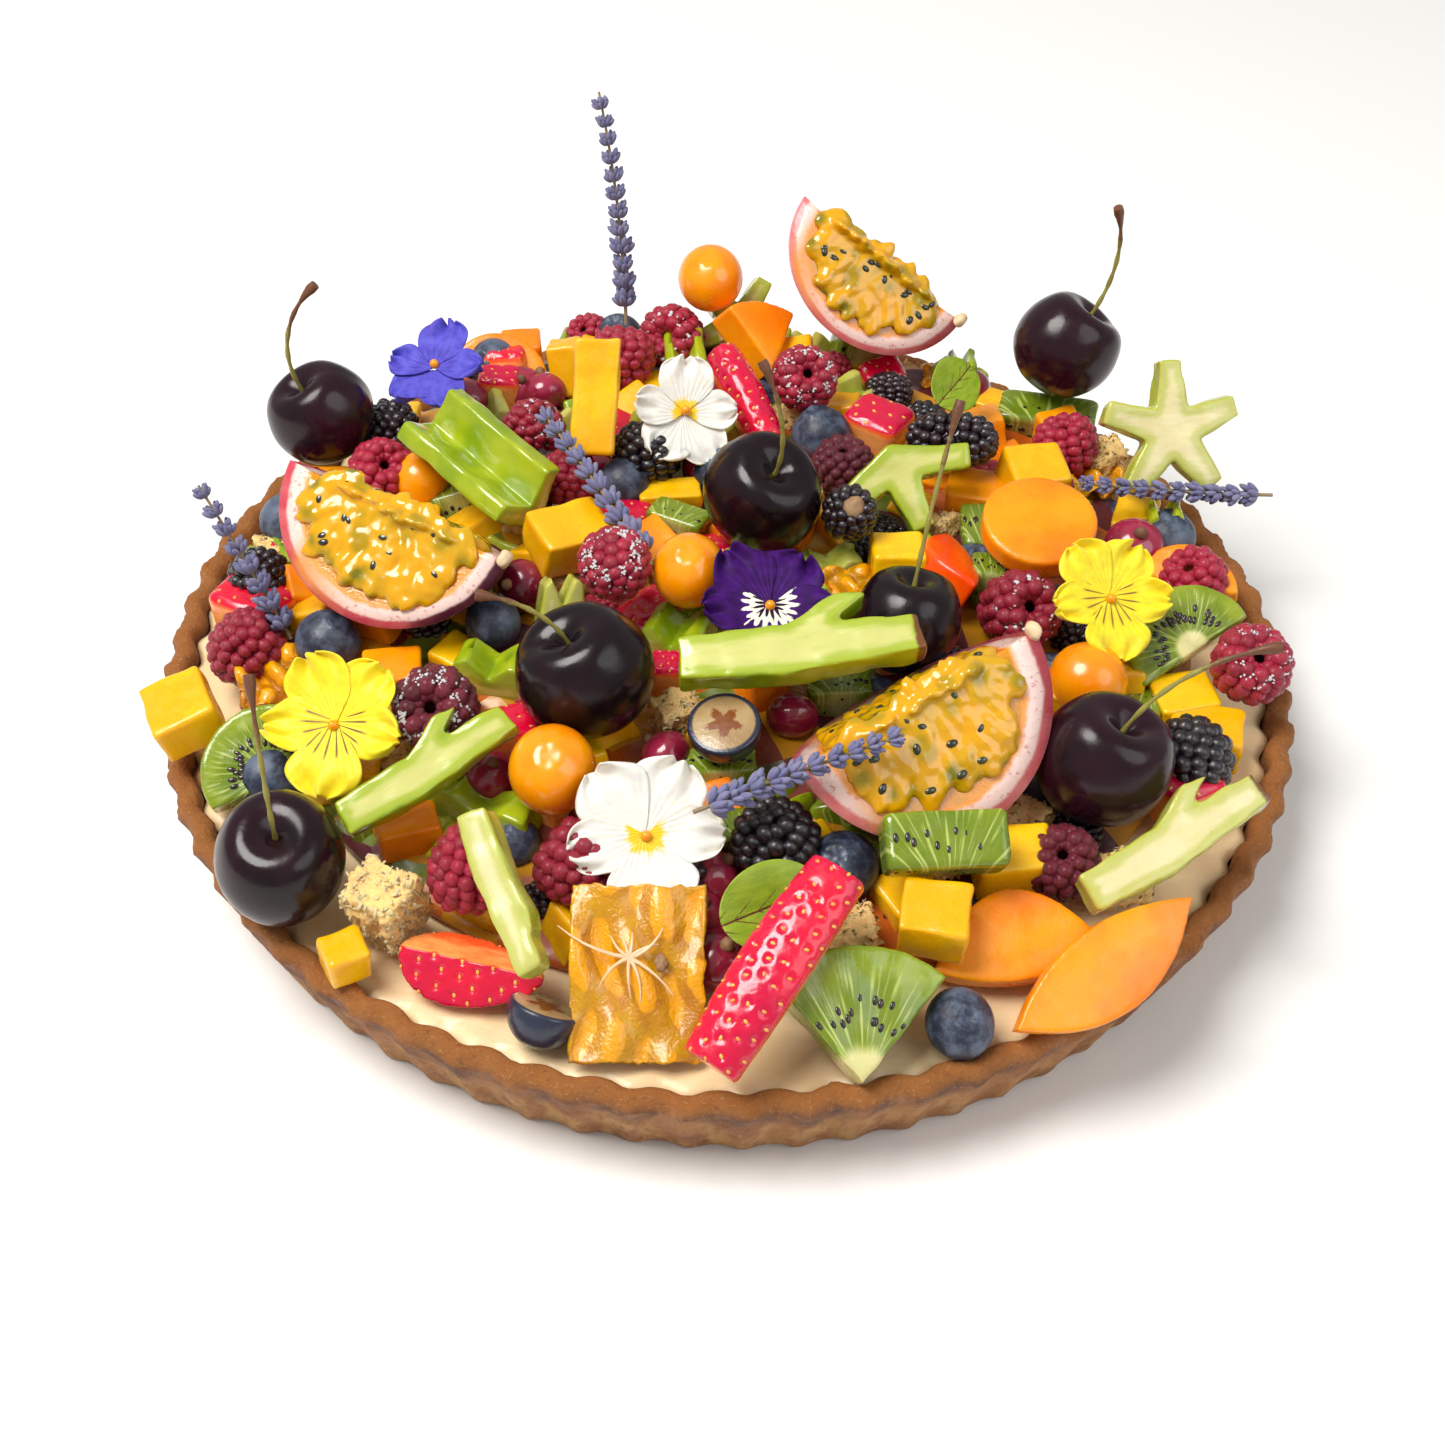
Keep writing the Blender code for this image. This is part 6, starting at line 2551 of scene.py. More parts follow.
def strawberry_strip(length: float, width: float, thickness: float, bow: float) -> Piece:
    """Model a long slice of strawberry along X with its skin on top.

    Args:
        length: Its length.
        width: Its width.
        thickness: Its height.
        bow: How far its ends hang.

    Returns:
        The joined object.
    """
    piece = sheet(90, 30)

    def shape(p: Vector) -> Vector:
        """Crown the sheet across and bow it along.

        Args:
            p: A vertex of the flat sheet.

        Returns:
            Its place on the slice's top.
        """
        across, share = 2 * p.y, p.x
        narrow = 1 - 0.15 * (2 * share) ** 2
        crown = 0.5 * thickness * (1 - 0.85 * abs(across) ** 2.6)
        return Vector((share * length, p.y * width * narrow, crown - bow * (2 * share) ** 2))

    sculpt(piece, shape)
    with editing(piece):
        bpy.ops.mesh.select_all(action="SELECT")
        bpy.ops.mesh.extrude_region_move(TRANSFORM_OT_translate={"value": (0, 0, -0.01 * MM)})
    lowest = -0.5 * thickness
    half = len(piece.data.vertices) // 2
    for vertex in list(piece.data.vertices)[half:]:
        vertex.co.z = lowest - bow * (2 * vertex.co.x / length) ** 2
    with editing(piece):
        bpy.ops.mesh.select_all(action="SELECT")
        bpy.ops.mesh.normals_make_consistent(inside=False)
    even(piece, 0.5 * MM, 3)
    pips = achenes(piece, 120, lambda place, normal: normal.z > 0.35, 6)
    stamp(piece, 0.5, cut=lambda place, normal: 1 - span(-0.2, 0.25, normal.z))
    return joined("strawberry", [dress(piece, STRAWBERRY_SKIN), pips])


def calyx_husk() -> Piece:
    """Model the square of amber skin at the front, with the dry filaments that lie on it.

    Returns:
        The joined object.
    """
    parts = [papery_skin(30 * MM, 36 * MM, 2.4 * MM, 2)]
    draw = random.Random(8)
    middle = Vector((-2 * MM, 3 * MM, 3.6 * MM))
    strands = (
        (174, 17), (196, 9), (155, 6), (262, 8), (310, 9), (338, 12), (12, 10), (40, 7), (75, 5), (110, 4)
    )
    for angle, reach in strands:
        way = math.radians(angle)
        bend = draw.uniform(-0.5, 0.5)
        points = []
        for share in (0, 0.2, 0.4, 0.6, 0.8, 1):
            turn = way + bend * share
            rise = 1.4 * MM * math.sin(3 * share) - 1.6 * MM * share
            points.append(
                middle + Vector((math.cos(turn), math.sin(turn), 0)) * reach * share * MM + UP * rise
            )
        parts.append(
            dress(stamp(stalk(points, [m * MM for m in (0.5, 0.4, 0.32, 0.26, 0.2, 0.1)])), FILAMENT)
        )
    scar = sculpt(
        ball(3.2 * MM, 20, 12), lambda p: Vector((p.x + 5 * MM, p.y + 2 * MM, p.z * 0.5 + 2.6 * MM))
    )
    parts.append(dress(stamp(waver(scar, 0.8 * MM, MM)), DRY_TIP))
    return joined("husk", parts)


SINGLE_PIECES: tuple[LaidFruit, ...] = (
    LaidFruit("kiwi_front", (34, 6, 8), Slot.KIWI, lambda: kiwi_sector(27 * MM, 82, 9 * MM)),
    LaidFruit("husk_front", (36, 2, 3), Slot.HUSK, calyx_husk),
    LaidFruit("blueberry_front", (30, 0, 20), Slot.BLUEBERRY, lambda: small_berry(15 * MM, BLUEBERRY_SKIN)),
    LaidFruit(
        "papaya_front", (24, -6, 10), Slot.PAPAYA,
        lambda: smooth_slice(lens_points(36 * MM, 20 * MM, 0.75), 7 * MM, PAPAYA_FLESH, 1.5 * MM)
    ),
    LaidFruit(
        "mango_front", (8, 0, -8), Slot.MANGO,
        lambda: smooth_block((14 * MM, 13 * MM, 11 * MM), MANGO_FLESH, 1)
    ),
    LaidFruit("strawberry_cut", (15, 0, -14), Slot.STRAWBERRY, lambda: strawberry_quarter(31 * MM, 25 * MM)),
    LaidFruit(
        "coconut_cube", (10, 0, -28), Slot.COCONUT, lambda: coconut_block((15 * MM, 14 * MM, 18 * MM), 2, 500)
    ),
    LaidFruit(
        "mango_left_front", (0, 0, 28), Slot.MANGO,
        lambda: smooth_block((9 * MM, 9 * MM, 8 * MM), MANGO_FLESH, 3)
    ),
    LaidFruit(
        "mango_left", (0, -14, 25), Slot.MANGO,
        lambda: smooth_block((14 * MM, 16 * MM, 10 * MM), MANGO_FLESH, 4)
    ),
    LaidFruit("kiwi_block", (30, 0, 6), Slot.KIWI, lambda: kiwi_block((25 * MM, 12 * MM, 10 * MM))),
    LaidFruit(
        "star_fruit_right", (25, -12, 34), Slot.STAR_FRUIT,
        lambda: carambola(long_slice_points(46 * MM, 0.8), 8 * MM, STAR_PALE, 20.8 * MM)
    ),
    LaidFruit(
        "papaya_disc", (10, 0, 0), Slot.PAPAYA,
        lambda: smooth_slice(sector_points(13.5 * MM, 359), 7 * MM, PAPAYA_FLESH, MM)
    ),
    LaidFruit(
        "star_fruit_left", (98, -14, 44), Slot.STAR_FRUIT, lambda: carambola(star_points(30 * MM, 2), 38 * MM)
    ),
    LaidFruit(
        "mango_centre", (8, 5, 30), Slot.MANGO,
        lambda: smooth_block((18 * MM, 14 * MM, 11 * MM), MANGO_FLESH, 8)
    ),
    LaidFruit(
        "bramble_right", (10, 86, -4), Slot.BRAMBLE,
        lambda: DrupeletBerry(16 * MM, 24 * MM, BRAMBLE_SKIN, 0.0, seed=4).build()
    ),
    LaidFruit(
        "star_fruit_centre", (-42, 15, 200), Slot.STAR_FRUIT,
        lambda: carambola(star_points(36 * MM, 3), 7 * MM)
    ),
    LaidFruit(
        "mango_stick", (-38, 4, 2), Slot.MANGO,
        lambda: smooth_block((11 * MM, 10 * MM, 27 * MM), MANGO_FLESH, 10)
    ),
    LaidFruit(
        "strawberry_stick", (10, 22, -62), Slot.STRAWBERRY,
        lambda: strawberry_strip(30 * MM, 10 * MM, 9 * MM, 1.5 * MM)
    ),
    LaidFruit(
        "golden_berry_back", (20, 0, 0), Slot.PHYSALIS, lambda: small_berry(18.5 * MM, GOLDEN_SKIN, 0.03)
    ),
    LaidFruit(
        "golden_berry_centre", (20, 0, 0), Slot.PHYSALIS, lambda: small_berry(18 * MM, GOLDEN_SKIN, 0.03)
    ),
    LaidFruit(
        "golden_berry_front", (25, 0, 0), Slot.PHYSALIS, lambda: small_berry(20 * MM, GOLDEN_SKIN, 0.03)
    ),
    LaidFruit(
        "raspberry_back", (38, 12, 0), Slot.RASPBERRY,
        lambda: DrupeletBerry(19 * MM, 18 * MM, sugar=160, seed=11).build()
    ),
    LaidFruit(
        "raspberry_centre", (22, -5, 0), Slot.RASPBERRY,
        lambda: DrupeletBerry(19 * MM, 19 * MM, open_share=0.0, sugar=260, seed=12).build()
    ),
    LaidFruit(
        "raspberry_left", (42, -8, 0), Slot.RASPBERRY,
        lambda: DrupeletBerry(22 * MM, 19 * MM, DARK_RASPBERRY, sugar=320, seed=13).build()
    ),
    LaidFruit(
        "raspberry_front", (150, 12, 0), Slot.RASPBERRY,
        lambda: DrupeletBerry(19 * MM, 20 * MM, seed=14).build()
    ),
    LaidFruit(
        "raspberry_right", (28, 8, 0), Slot.RASPBERRY,
        lambda: DrupeletBerry(21 * MM, 20 * MM, sugar=120, seed=15).build()
    ),
    LaidFruit(
        "bramble_middle", (35, 8, 0), Slot.BRAMBLE,
        lambda: DrupeletBerry(15 * MM, 16 * MM, BRAMBLE_SKIN, plug=True, seed=16).build()
    ),
    LaidFruit("blueberry_cut", (12, -5, 0), Slot.BLUEBERRY, lambda: halved_blueberry(16 * MM)),
    LaidFruit(
        "star_fruit_long", (20, -4, 10), Slot.STAR_FRUIT,
        lambda: carambola(long_slice_points(54 * MM, 1.0), 8 * MM, tip=24.2 * MM)
    ),
    LaidFruit(
        "star_fruit_low", (28, -14, 36), Slot.STAR_FRUIT,
        lambda: carambola(long_slice_points(42 * MM, 0.9), 8 * MM)
    ),
    LaidFruit(
        "star_fruit_front", (28, 26, -62), Slot.STAR_FRUIT,
        lambda: carambola(long_slice_points(35 * MM, 0.1), 8 * MM, STAR_PALE)
    ),
    LaidFruit(
        "papaya_front_right", (30, -14, 36), Slot.PAPAYA,
        lambda: smooth_slice(lens_points(46 * MM, 18 * MM, 0.4), 6 * MM, PAPAYA_FLESH, 1.5 * MM)
    ),
    LaidFruit(
        "star_fruit_upright", (52, 0, 8), Slot.STAR_FRUIT,
        lambda: carambola(star_points(35 * MM, 5), 7 * MM, STAR_PALE)
    ),
    LaidFruit(
        "strawberry_strip", (8, -25, 54), Slot.STRAWBERRY,
        lambda: strawberry_strip(46 * MM, 14 * MM, 6 * MM, 2.5 * MM)
    ),
)
CHERRIES = (
    Cherry("cherry_centre", (0, 20, 186), 30 * MM, 26 * MM, 62, 0.11),
    Cherry("cherry_back", (0, -26, 135), 28.5 * MM, 32 * MM, 72),
    Cherry("cherry_right", (0, 18, 6), 29.5 * MM, 40 * MM, 68),
    Cherry("cherry_front_left", (0, -14, 102), 28 * MM, 40 * MM, 58),
    Cherry("cherry_middle_right", (0, 18, 68), 25.5 * MM, 44 * MM, 24),
    Cherry("cherry_back_left", (0, -28, 12), 26 * MM, 34 * MM, 78),
    Cherry("cherry_back_right", (0, 36, 20), 27 * MM, 34 * MM, -58),
)
PASSION_FRUITS = (
    PassionFruit("passion_fruit_right", (0, -14, 30), 60 * MM, 64 * MM, pith=7.2 * MM, seed=21),
    PassionFruit("passion_fruit_left", (0, 9, -24), 58 * MM, 58 * MM, RED_RIND, 6.2 * MM, seed=22),
    PassionFruit("passion_fruit_back", (0, 34, -14), 54 * MM, 52 * MM, pith=6.2 * MM, seed=23),
)
VIOLAS = (
    Viola("viola_yellow_left", (36, -6, -12), 33 * MM, YELLOW_PETAL, Slot.YELLOW_PETAL, 1),
    Viola("viola_yellow_right", (34, 8, 14), 30 * MM, YELLOW_PETAL, Slot.YELLOW_PETAL, 2),
    Viola("viola_white_front", (30, 0, 12), 35 * MM, WHITE_PETAL, Slot.WHITE_PETAL, 3),
    Viola("viola_purple", (18, 4, 8), 33 * MM, VIOLET_PETAL, Slot.VIOLET_PETAL, 4),
    Viola("viola_white_back", (-40, -10, 190), 28 * MM, WHITE_PETAL, Slot.WHITE_PETAL, 5),
    Viola("viola_blue", (-16, 8, 165), 27 * MM, BLUE_PETAL, Slot.BLUE_PETAL, 6),
)
LEAVES = (
    SorrelLeaf("sorrel_front", (36, 0, 30), 23 * MM, 18 * MM),
    SorrelLeaf("sorrel_back", (38, 0, 62), 19 * MM, 14 * MM),
)
SPRIGS = (
    LavenderSprig("lavender_back", (-22, -2, 0), 60 * MM, 7, -12, 1),
    LavenderSprig("lavender_centre", (0, 68, 127), 50 * MM, 6, 10, 2),
    LavenderSprig("lavender_left", (0, 34, 142), 41 * MM, 5, 8, 3),
    LavenderSprig("lavender_front", (0, 76, 19), 46 * MM, 6, 6, 4),
    LavenderSprig("lavender_right", (0, 86, 186), 50 * MM, 6, -8, 5),
)


# The heap's small fruit


class Fruit(Enum):
    """The kinds of fruit in the heap."""

    MANGO = "mango"
    PAPAYA = "papaya"
    KIWI = "kiwi"
    STAR = "star"
    PALE_STAR = "pale_star"
    STRAWBERRY = "strawberry"
    COCONUT = "coconut"
    AMBER = "amber"
    RASPBERRY = "raspberry"
    SUGARED = "sugared"
    DARK_RASPBERRY = "dark_raspberry"
    BRAMBLE = "bramble"
    CURRANT = "currant"
    BLUEBERRY = "blueberry"
    GOLDEN = "golden"


@dataclass(frozen=True)
class Eye:
    """Where the picture was taken from."""

    distance: float = 512 * MM
    elevation: float = math.radians(44.5)
    roll: float = math.radians(1.46)
    aim: Vector = field(default_factory=lambda: Vector((-1.1, -0.6, -0.7)) * MM)
    middle: float = 722.5
    focus: float = 2064.5

    def axes(self) -> tuple[Vector, Vector, Vector, Vector]:
        """Give the eye's place, and its axes to the right, up and ahead.

        Returns:
            The place and the three axes.
        """
        eye = Vector((0, -math.cos(self.elevation), math.sin(self.elevation))) * self.distance
        ahead = (self.aim - eye).normalized()
        right = ahead.cross(UP).normalized()
        up = right.cross(ahead)
        cos, sin = math.cos(self.roll), math.sin(self.roll)
        return eye, right * cos + up * sin, up * cos - right * sin, ahead

    def spot(self, point: tuple[float, float], height: float, reach: float) -> Vector:
        """Find where the sight line through a picture point meets a height.

        Args:
            point: The point in the picture.
            height: The height.
            reach: How far from the middle the place may be.

        Returns:
            The place.
        """
        eye, right, up, ahead = self.axes()
        line = ahead * self.focus + right * (point[0] - self.middle) - up * (point[1] - self.middle)
        place = eye + line * ((height - eye.z) / line.z)
        inwards = min(1, reach / place.xy.length)
        return Vector((place.x * inwards, place.y * inwards, height))


@dataclass(frozen=True)
class Mound:
    """The form of the heap's core."""

    bottom: float = 22.32 * MM
    radius: float = 111 * MM
    shift: float = 7 * MM
    front: float = 1.5 * MM
    back: float = 12 * MM
    rise: float = 10 * MM

    def height(self, x: float, y: float) -> float:
        """Give the height of the core's top at a place on the tart.

        Args:
            x: The place along X.
            y: The place along Y.

        Returns:
            The height.
        """
        distance = math.hypot(x, y - self.shift) / self.radius
        back = 0.5 + 0.5 * (y - self.shift) / self.radius
        edge = self.front + (self.back - self.front) * back
        return self.bottom + edge + self.rise * max(0.0, 1 - distance**2) ** 0.7


EYE = Eye()
MOUND = Mound()
Small = tuple[Fruit, tuple[float, float], tuple[float, float, float], Turn]
M, P, K = Fruit.MANGO, Fruit.PAPAYA, Fruit.KIWI
S, T, B, C, A = Fruit.STAR, Fruit.PALE_STAR, Fruit.STRAWBERRY, Fruit.COCONUT, Fruit.AMBER
SMALL_BLOCKS: tuple[Small, ...] = (
    (T, (560, 608), (11, 8, 15), (-25, 10, 15)),
    (P, (408, 833), (14, 9, 9), (0, 0, 20)),
    (P, (393, 677), (14, 12, 9), (0, 0, 10)),
    (S, (488, 807), (26, 9, 9), (0, 0, -25)),
    (S, (495, 670), (20, 10, 11), (0, 0, -12)),
    (B, (510, 735), (12, 11, 11), (0, 0, 20)),
    (C, (677, 716), (12, 11, 11), (0, 0, 30)),
    (K, (718, 771), (17, 8, 8), (0, 0, 5)),
    (K, (740, 835), (13, 9, 9), (0, 0, 10)),
    (K, (838, 693), (15, 9, 9), (0, 0, 5)),
    (T, (829, 567), (17, 8, 8), (0, 0, 15)),
    (A, (852, 590), (17, 13, 8), (20, 0, 10)),
    (S, (679, 636), (17, 12, 11), (0, 0, -20)),
    (K, (679, 523), (15, 8, 8), (0, 0, -25)),
    (M, (670, 498), (16, 8, 7), (0, 0, 8)),
    (P, (985, 498), (20, 13, 9), (0, 0, -10)),
    (K, (987, 581), (8, 9, 12), (0, 0, 0)),
    (T, (974, 363), (17, 9, 8), (0, 0, -40)),
    (A, (987, 342), (16, 10, 9), (0, 0, -10)),
    (M, (1007, 412), (16, 9, 7), (0, 0, -25)),
    (K, (1066, 408), (26, 11, 10), (10, 0, -10)),
    (A, (1094, 479), (15, 12, 9), (0, 0, 20)),
    (C, (1116, 456), (12, 12, 12), (0, 0, 15)),
    (S, (1187, 523), (10, 9, 14), (0, 0, 0)),
    (B, (1154, 574), (9, 9, 8), (0, 0, 0)),
    (M, (1076, 703), (15, 10, 9), (0, 0, -20)),
    (M, (1182, 703), (15, 13, 9), (0, 0, 15)),
    (M, (1235, 744), (17, 13, 10), (0, 0, -10)),
    (B, (1231, 813), (15, 12, 13), (0, 0, 30)),
    (C, (1178, 913), (13, 11, 13), (0, 0, 15)),
    (C, (843, 939), (15, 12, 14), (0, 0, 10)),
    (A, (278, 675), (18, 15, 9), (20, 0, 15)),
    (C, (240, 545), (13, 10, 9), (0, 0, 20)),
    (S, (202, 556), (12, 12, 9), (0, 0, 30)),
    (M, (347, 776), (16, 10, 9), (0, 0, 5)),
    (B, (200, 607), (19, 13, 11), (0, 0, -25)),
    (B, (500, 390), (11, 9, 12), (0, 0, 0)),
    (M, (568, 369), (9, 9, 15), (-20, -10, 0)),
    (P, (521, 356), (11, 10, 13), (0, 0, 10)),
    (S, (1006, 329), (9, 9, 12), (0, 0, 0)),
    (B, (666, 675), (8, 8, 10), (0, 0, 0)),
    (B, (878, 430), (16, 14, 13), (0, 0, -30)),
    (S, (552, 303), (12, 10, 9), (0, 0, -10)),
    (M, (1012, 864), (17, 13, 13), (5, 0, 8)),
    (M, (897, 568), (13, 12, 14), (-8, 0, 4)),
    (M, (1031, 482), (16, 14, 15), (10, 5, 18)),
)
SMALL_BERRIES: tuple[tuple[Fruit, tuple[float, float], float], ...] = (
    (Fruit.RASPBERRY, (578, 316), 13),
    (Fruit.SUGARED, (674, 338), 18),
    (Fruit.RASPBERRY, (621, 362), 18),
    (Fruit.SUGARED, (532, 432), 16),
    (Fruit.RASPBERRY, (568, 481), 15),
    (Fruit.RASPBERRY, (380, 474), 17),
    (Fruit.BRAMBLE, (390, 431), 16),
    (Fruit.BRAMBLE, (540, 476), 13),
    (Fruit.RASPBERRY, (281, 487), 14),
    (Fruit.BRAMBLE, (239, 579), 16),
    (Fruit.RASPBERRY, (230, 650), 18),
    (Fruit.RASPBERRY, (584, 868), 20),
    (Fruit.BRAMBLE, (673, 874), 16),
    (Fruit.BRAMBLE, (775, 844), 20),
    (Fruit.DARK_RASPBERRY, (1062, 866), 17),
    (Fruit.BRAMBLE, (1187, 760), 20),
    (Fruit.RASPBERRY, (1265, 580), 17),
    (Fruit.RASPBERRY, (1066, 448), 17),
    (Fruit.DARK_RASPBERRY, (842, 470), 16),
    (Fruit.BRAMBLE, (646, 457), 18),
    (Fruit.SUGARED, (1018, 612), 19.5),
    (Fruit.CURRANT, (544, 389), 12),
    (Fruit.CURRANT, (716, 398), 13),
    (Fruit.CURRANT, (702, 462), 13),
    (Fruit.CURRANT, (470, 398), 13),
    (Fruit.CURRANT, (1095, 427), 12),
    (Fruit.CURRANT, (1074, 521), 12),
    (Fruit.CURRANT, (519, 586), 13),
    (Fruit.CURRANT, (697, 914), 13),
    (Fruit.BLUEBERRY, (474, 345), 15),
    (Fruit.BLUEBERRY, (248, 513), 15),
    (Fruit.BLUEBERRY, (718, 472), 13),
    (Fruit.BLUEBERRY, (624, 483), 13),
    (Fruit.BLUEBERRY, (843, 866), 15),
    (Fruit.BLUEBERRY, (1225, 527), 14),
    (Fruit.BLUEBERRY, (269, 778), 15),
    (Fruit.BLUEBERRY, (493, 622), 13),
    (Fruit.BLUEBERRY, (328, 641), 15),
    (Fruit.GOLDEN, (1088, 682), 18),
    (Fruit.GOLDEN, (421, 480), 14),
    (Fruit.BLUEBERRY, (821, 435), 15),
    (Fruit.CURRANT, (522, 387), 12),
    (Fruit.CURRANT, (793, 712), 12),
    (Fruit.CURRANT, (713, 874), 13),
    (Fruit.CURRANT, (718, 958), 14),
    (Fruit.CURRANT, (663, 753), 12),
    (Fruit.CURRANT, (1135, 545), 15),
    (Fruit.CURRANT, (491, 774), 12),
)
SLOTS: dict[Fruit, Slot] = {
    Fruit.MANGO: Slot.MANGO,
    Fruit.PAPAYA: Slot.PAPAYA,
    Fruit.KIWI: Slot.KIWI,
    Fruit.STAR: Slot.STAR_FRUIT,
    Fruit.PALE_STAR: Slot.STAR_FRUIT,
    Fruit.STRAWBERRY: Slot.STRAWBERRY,
    Fruit.COCONUT: Slot.COCONUT,
    Fruit.AMBER: Slot.HUSK,
    Fruit.RASPBERRY: Slot.RASPBERRY,
    Fruit.SUGARED: Slot.RASPBERRY,
    Fruit.DARK_RASPBERRY: Slot.RASPBERRY,
    Fruit.BRAMBLE: Slot.BRAMBLE,
    Fruit.CURRANT: Slot.CHERRY,
    Fruit.BLUEBERRY: Slot.BLUEBERRY,
    Fruit.GOLDEN: Slot.PHYSALIS,
}
UNIT = 14 * MM


def strawberry_block(seed: int) -> Piece:
    """Model a unit piece of strawberry, skin above and flesh at its sides.

    Args:
        seed: Which unevenness.

    Returns:
        The joined object.
    """
    piece = block((UNIT, UNIT, UNIT), 0.12, seed)
    apply_modifier(piece, "BEVEL", width=2.4 * MM, segments=3)
    even(piece, 0.7 * MM, 4)
    pips = achenes(piece, 26, lambda place, normal: normal.z > 0.55, seed)
    stamp(piece, 0.5, cut=lambda place, normal: 1 - span(0.1, 0.6, normal.z))
    return joined("strawberry", [dress(piece, STRAWBERRY_SKIN), pips])


def star_block(finish: Finish) -> Piece:
    """Model a unit piece of star fruit: two ribs and the groove between them.

    Args:
        finish: Its colours.

    Returns:
        The new object.
    """
    outline = [(-7, -5), (0, -7), (7, -5), (6, 5.6), (3.4, 6.6), (0, 0.5), (-3.6, 6.8), (-6, 5.2)]
    piece = carambola([(x * MM, y * MM) for x, y in outline], UNIT, finish)
    piece.data.transform(Matrix.Rotation(math.pi / 2, 4, "X"))
    return piece


MODELS: dict[Fruit, Callable[[int], Piece]] = {
    Fruit.MANGO: lambda seed: smooth_block((UNIT, UNIT, UNIT), MANGO_FLESH, seed),
    Fruit.PAPAYA: lambda seed: smooth_block((UNIT, UNIT, UNIT), PAPAYA_FLESH, seed),
    Fruit.KIWI: lambda seed: kiwi_block((UNIT, UNIT, UNIT), seed),
    Fruit.STAR: lambda seed: star_block(STAR_SKIN),
    Fruit.PALE_STAR: lambda seed: star_block(STAR_PALE),
    Fruit.STRAWBERRY: strawberry_block,
    Fruit.COCONUT: lambda seed: coconut_block((UNIT, UNIT, UNIT), seed, 260),
    Fruit.AMBER: lambda seed: papery_skin(UNIT, UNIT, 3 * MM, seed),
    Fruit.RASPBERRY: lambda seed: DrupeletBerry(UNIT, UNIT, seed=seed).build(),
    Fruit.SUGARED: lambda seed: DrupeletBerry(UNIT, UNIT, sugar=110, seed=seed).build(),
    Fruit.DARK_RASPBERRY: lambda seed: DrupeletBerry(UNIT, UNIT, DARK_RASPBERRY, seed=seed).build(),
    Fruit.BRAMBLE: lambda seed: DrupeletBerry(UNIT, UNIT, BRAMBLE_SKIN, 0.0, seed=seed).build(),
    Fruit.CURRANT: lambda seed: small_berry(UNIT, CURRANT_SKIN, 0.02, DRY_TIP),
    Fruit.BLUEBERRY: lambda seed: small_berry(UNIT, BLUEBERRY_SKIN),
    Fruit.GOLDEN: lambda seed: small_berry(UNIT, GOLDEN_SKIN, 0.02),
}
KEPT_SHARE = {
    Fruit.RASPBERRY: 0.8,
    Fruit.SUGARED: 0.8,
    Fruit.DARK_RASPBERRY: 0.8,
    Fruit.BRAMBLE: 0.8,
    Fruit.CURRANT: 0.7,
    Fruit.BLUEBERRY: 0.7,
    Fruit.GOLDEN: 0.7,
}
FILLERS = (M, P, K, S, B, Fruit.RASPBERRY, Fruit.CURRANT, M, Fruit.BLUEBERRY, T, P, Fruit.BRAMBLE, C, M)


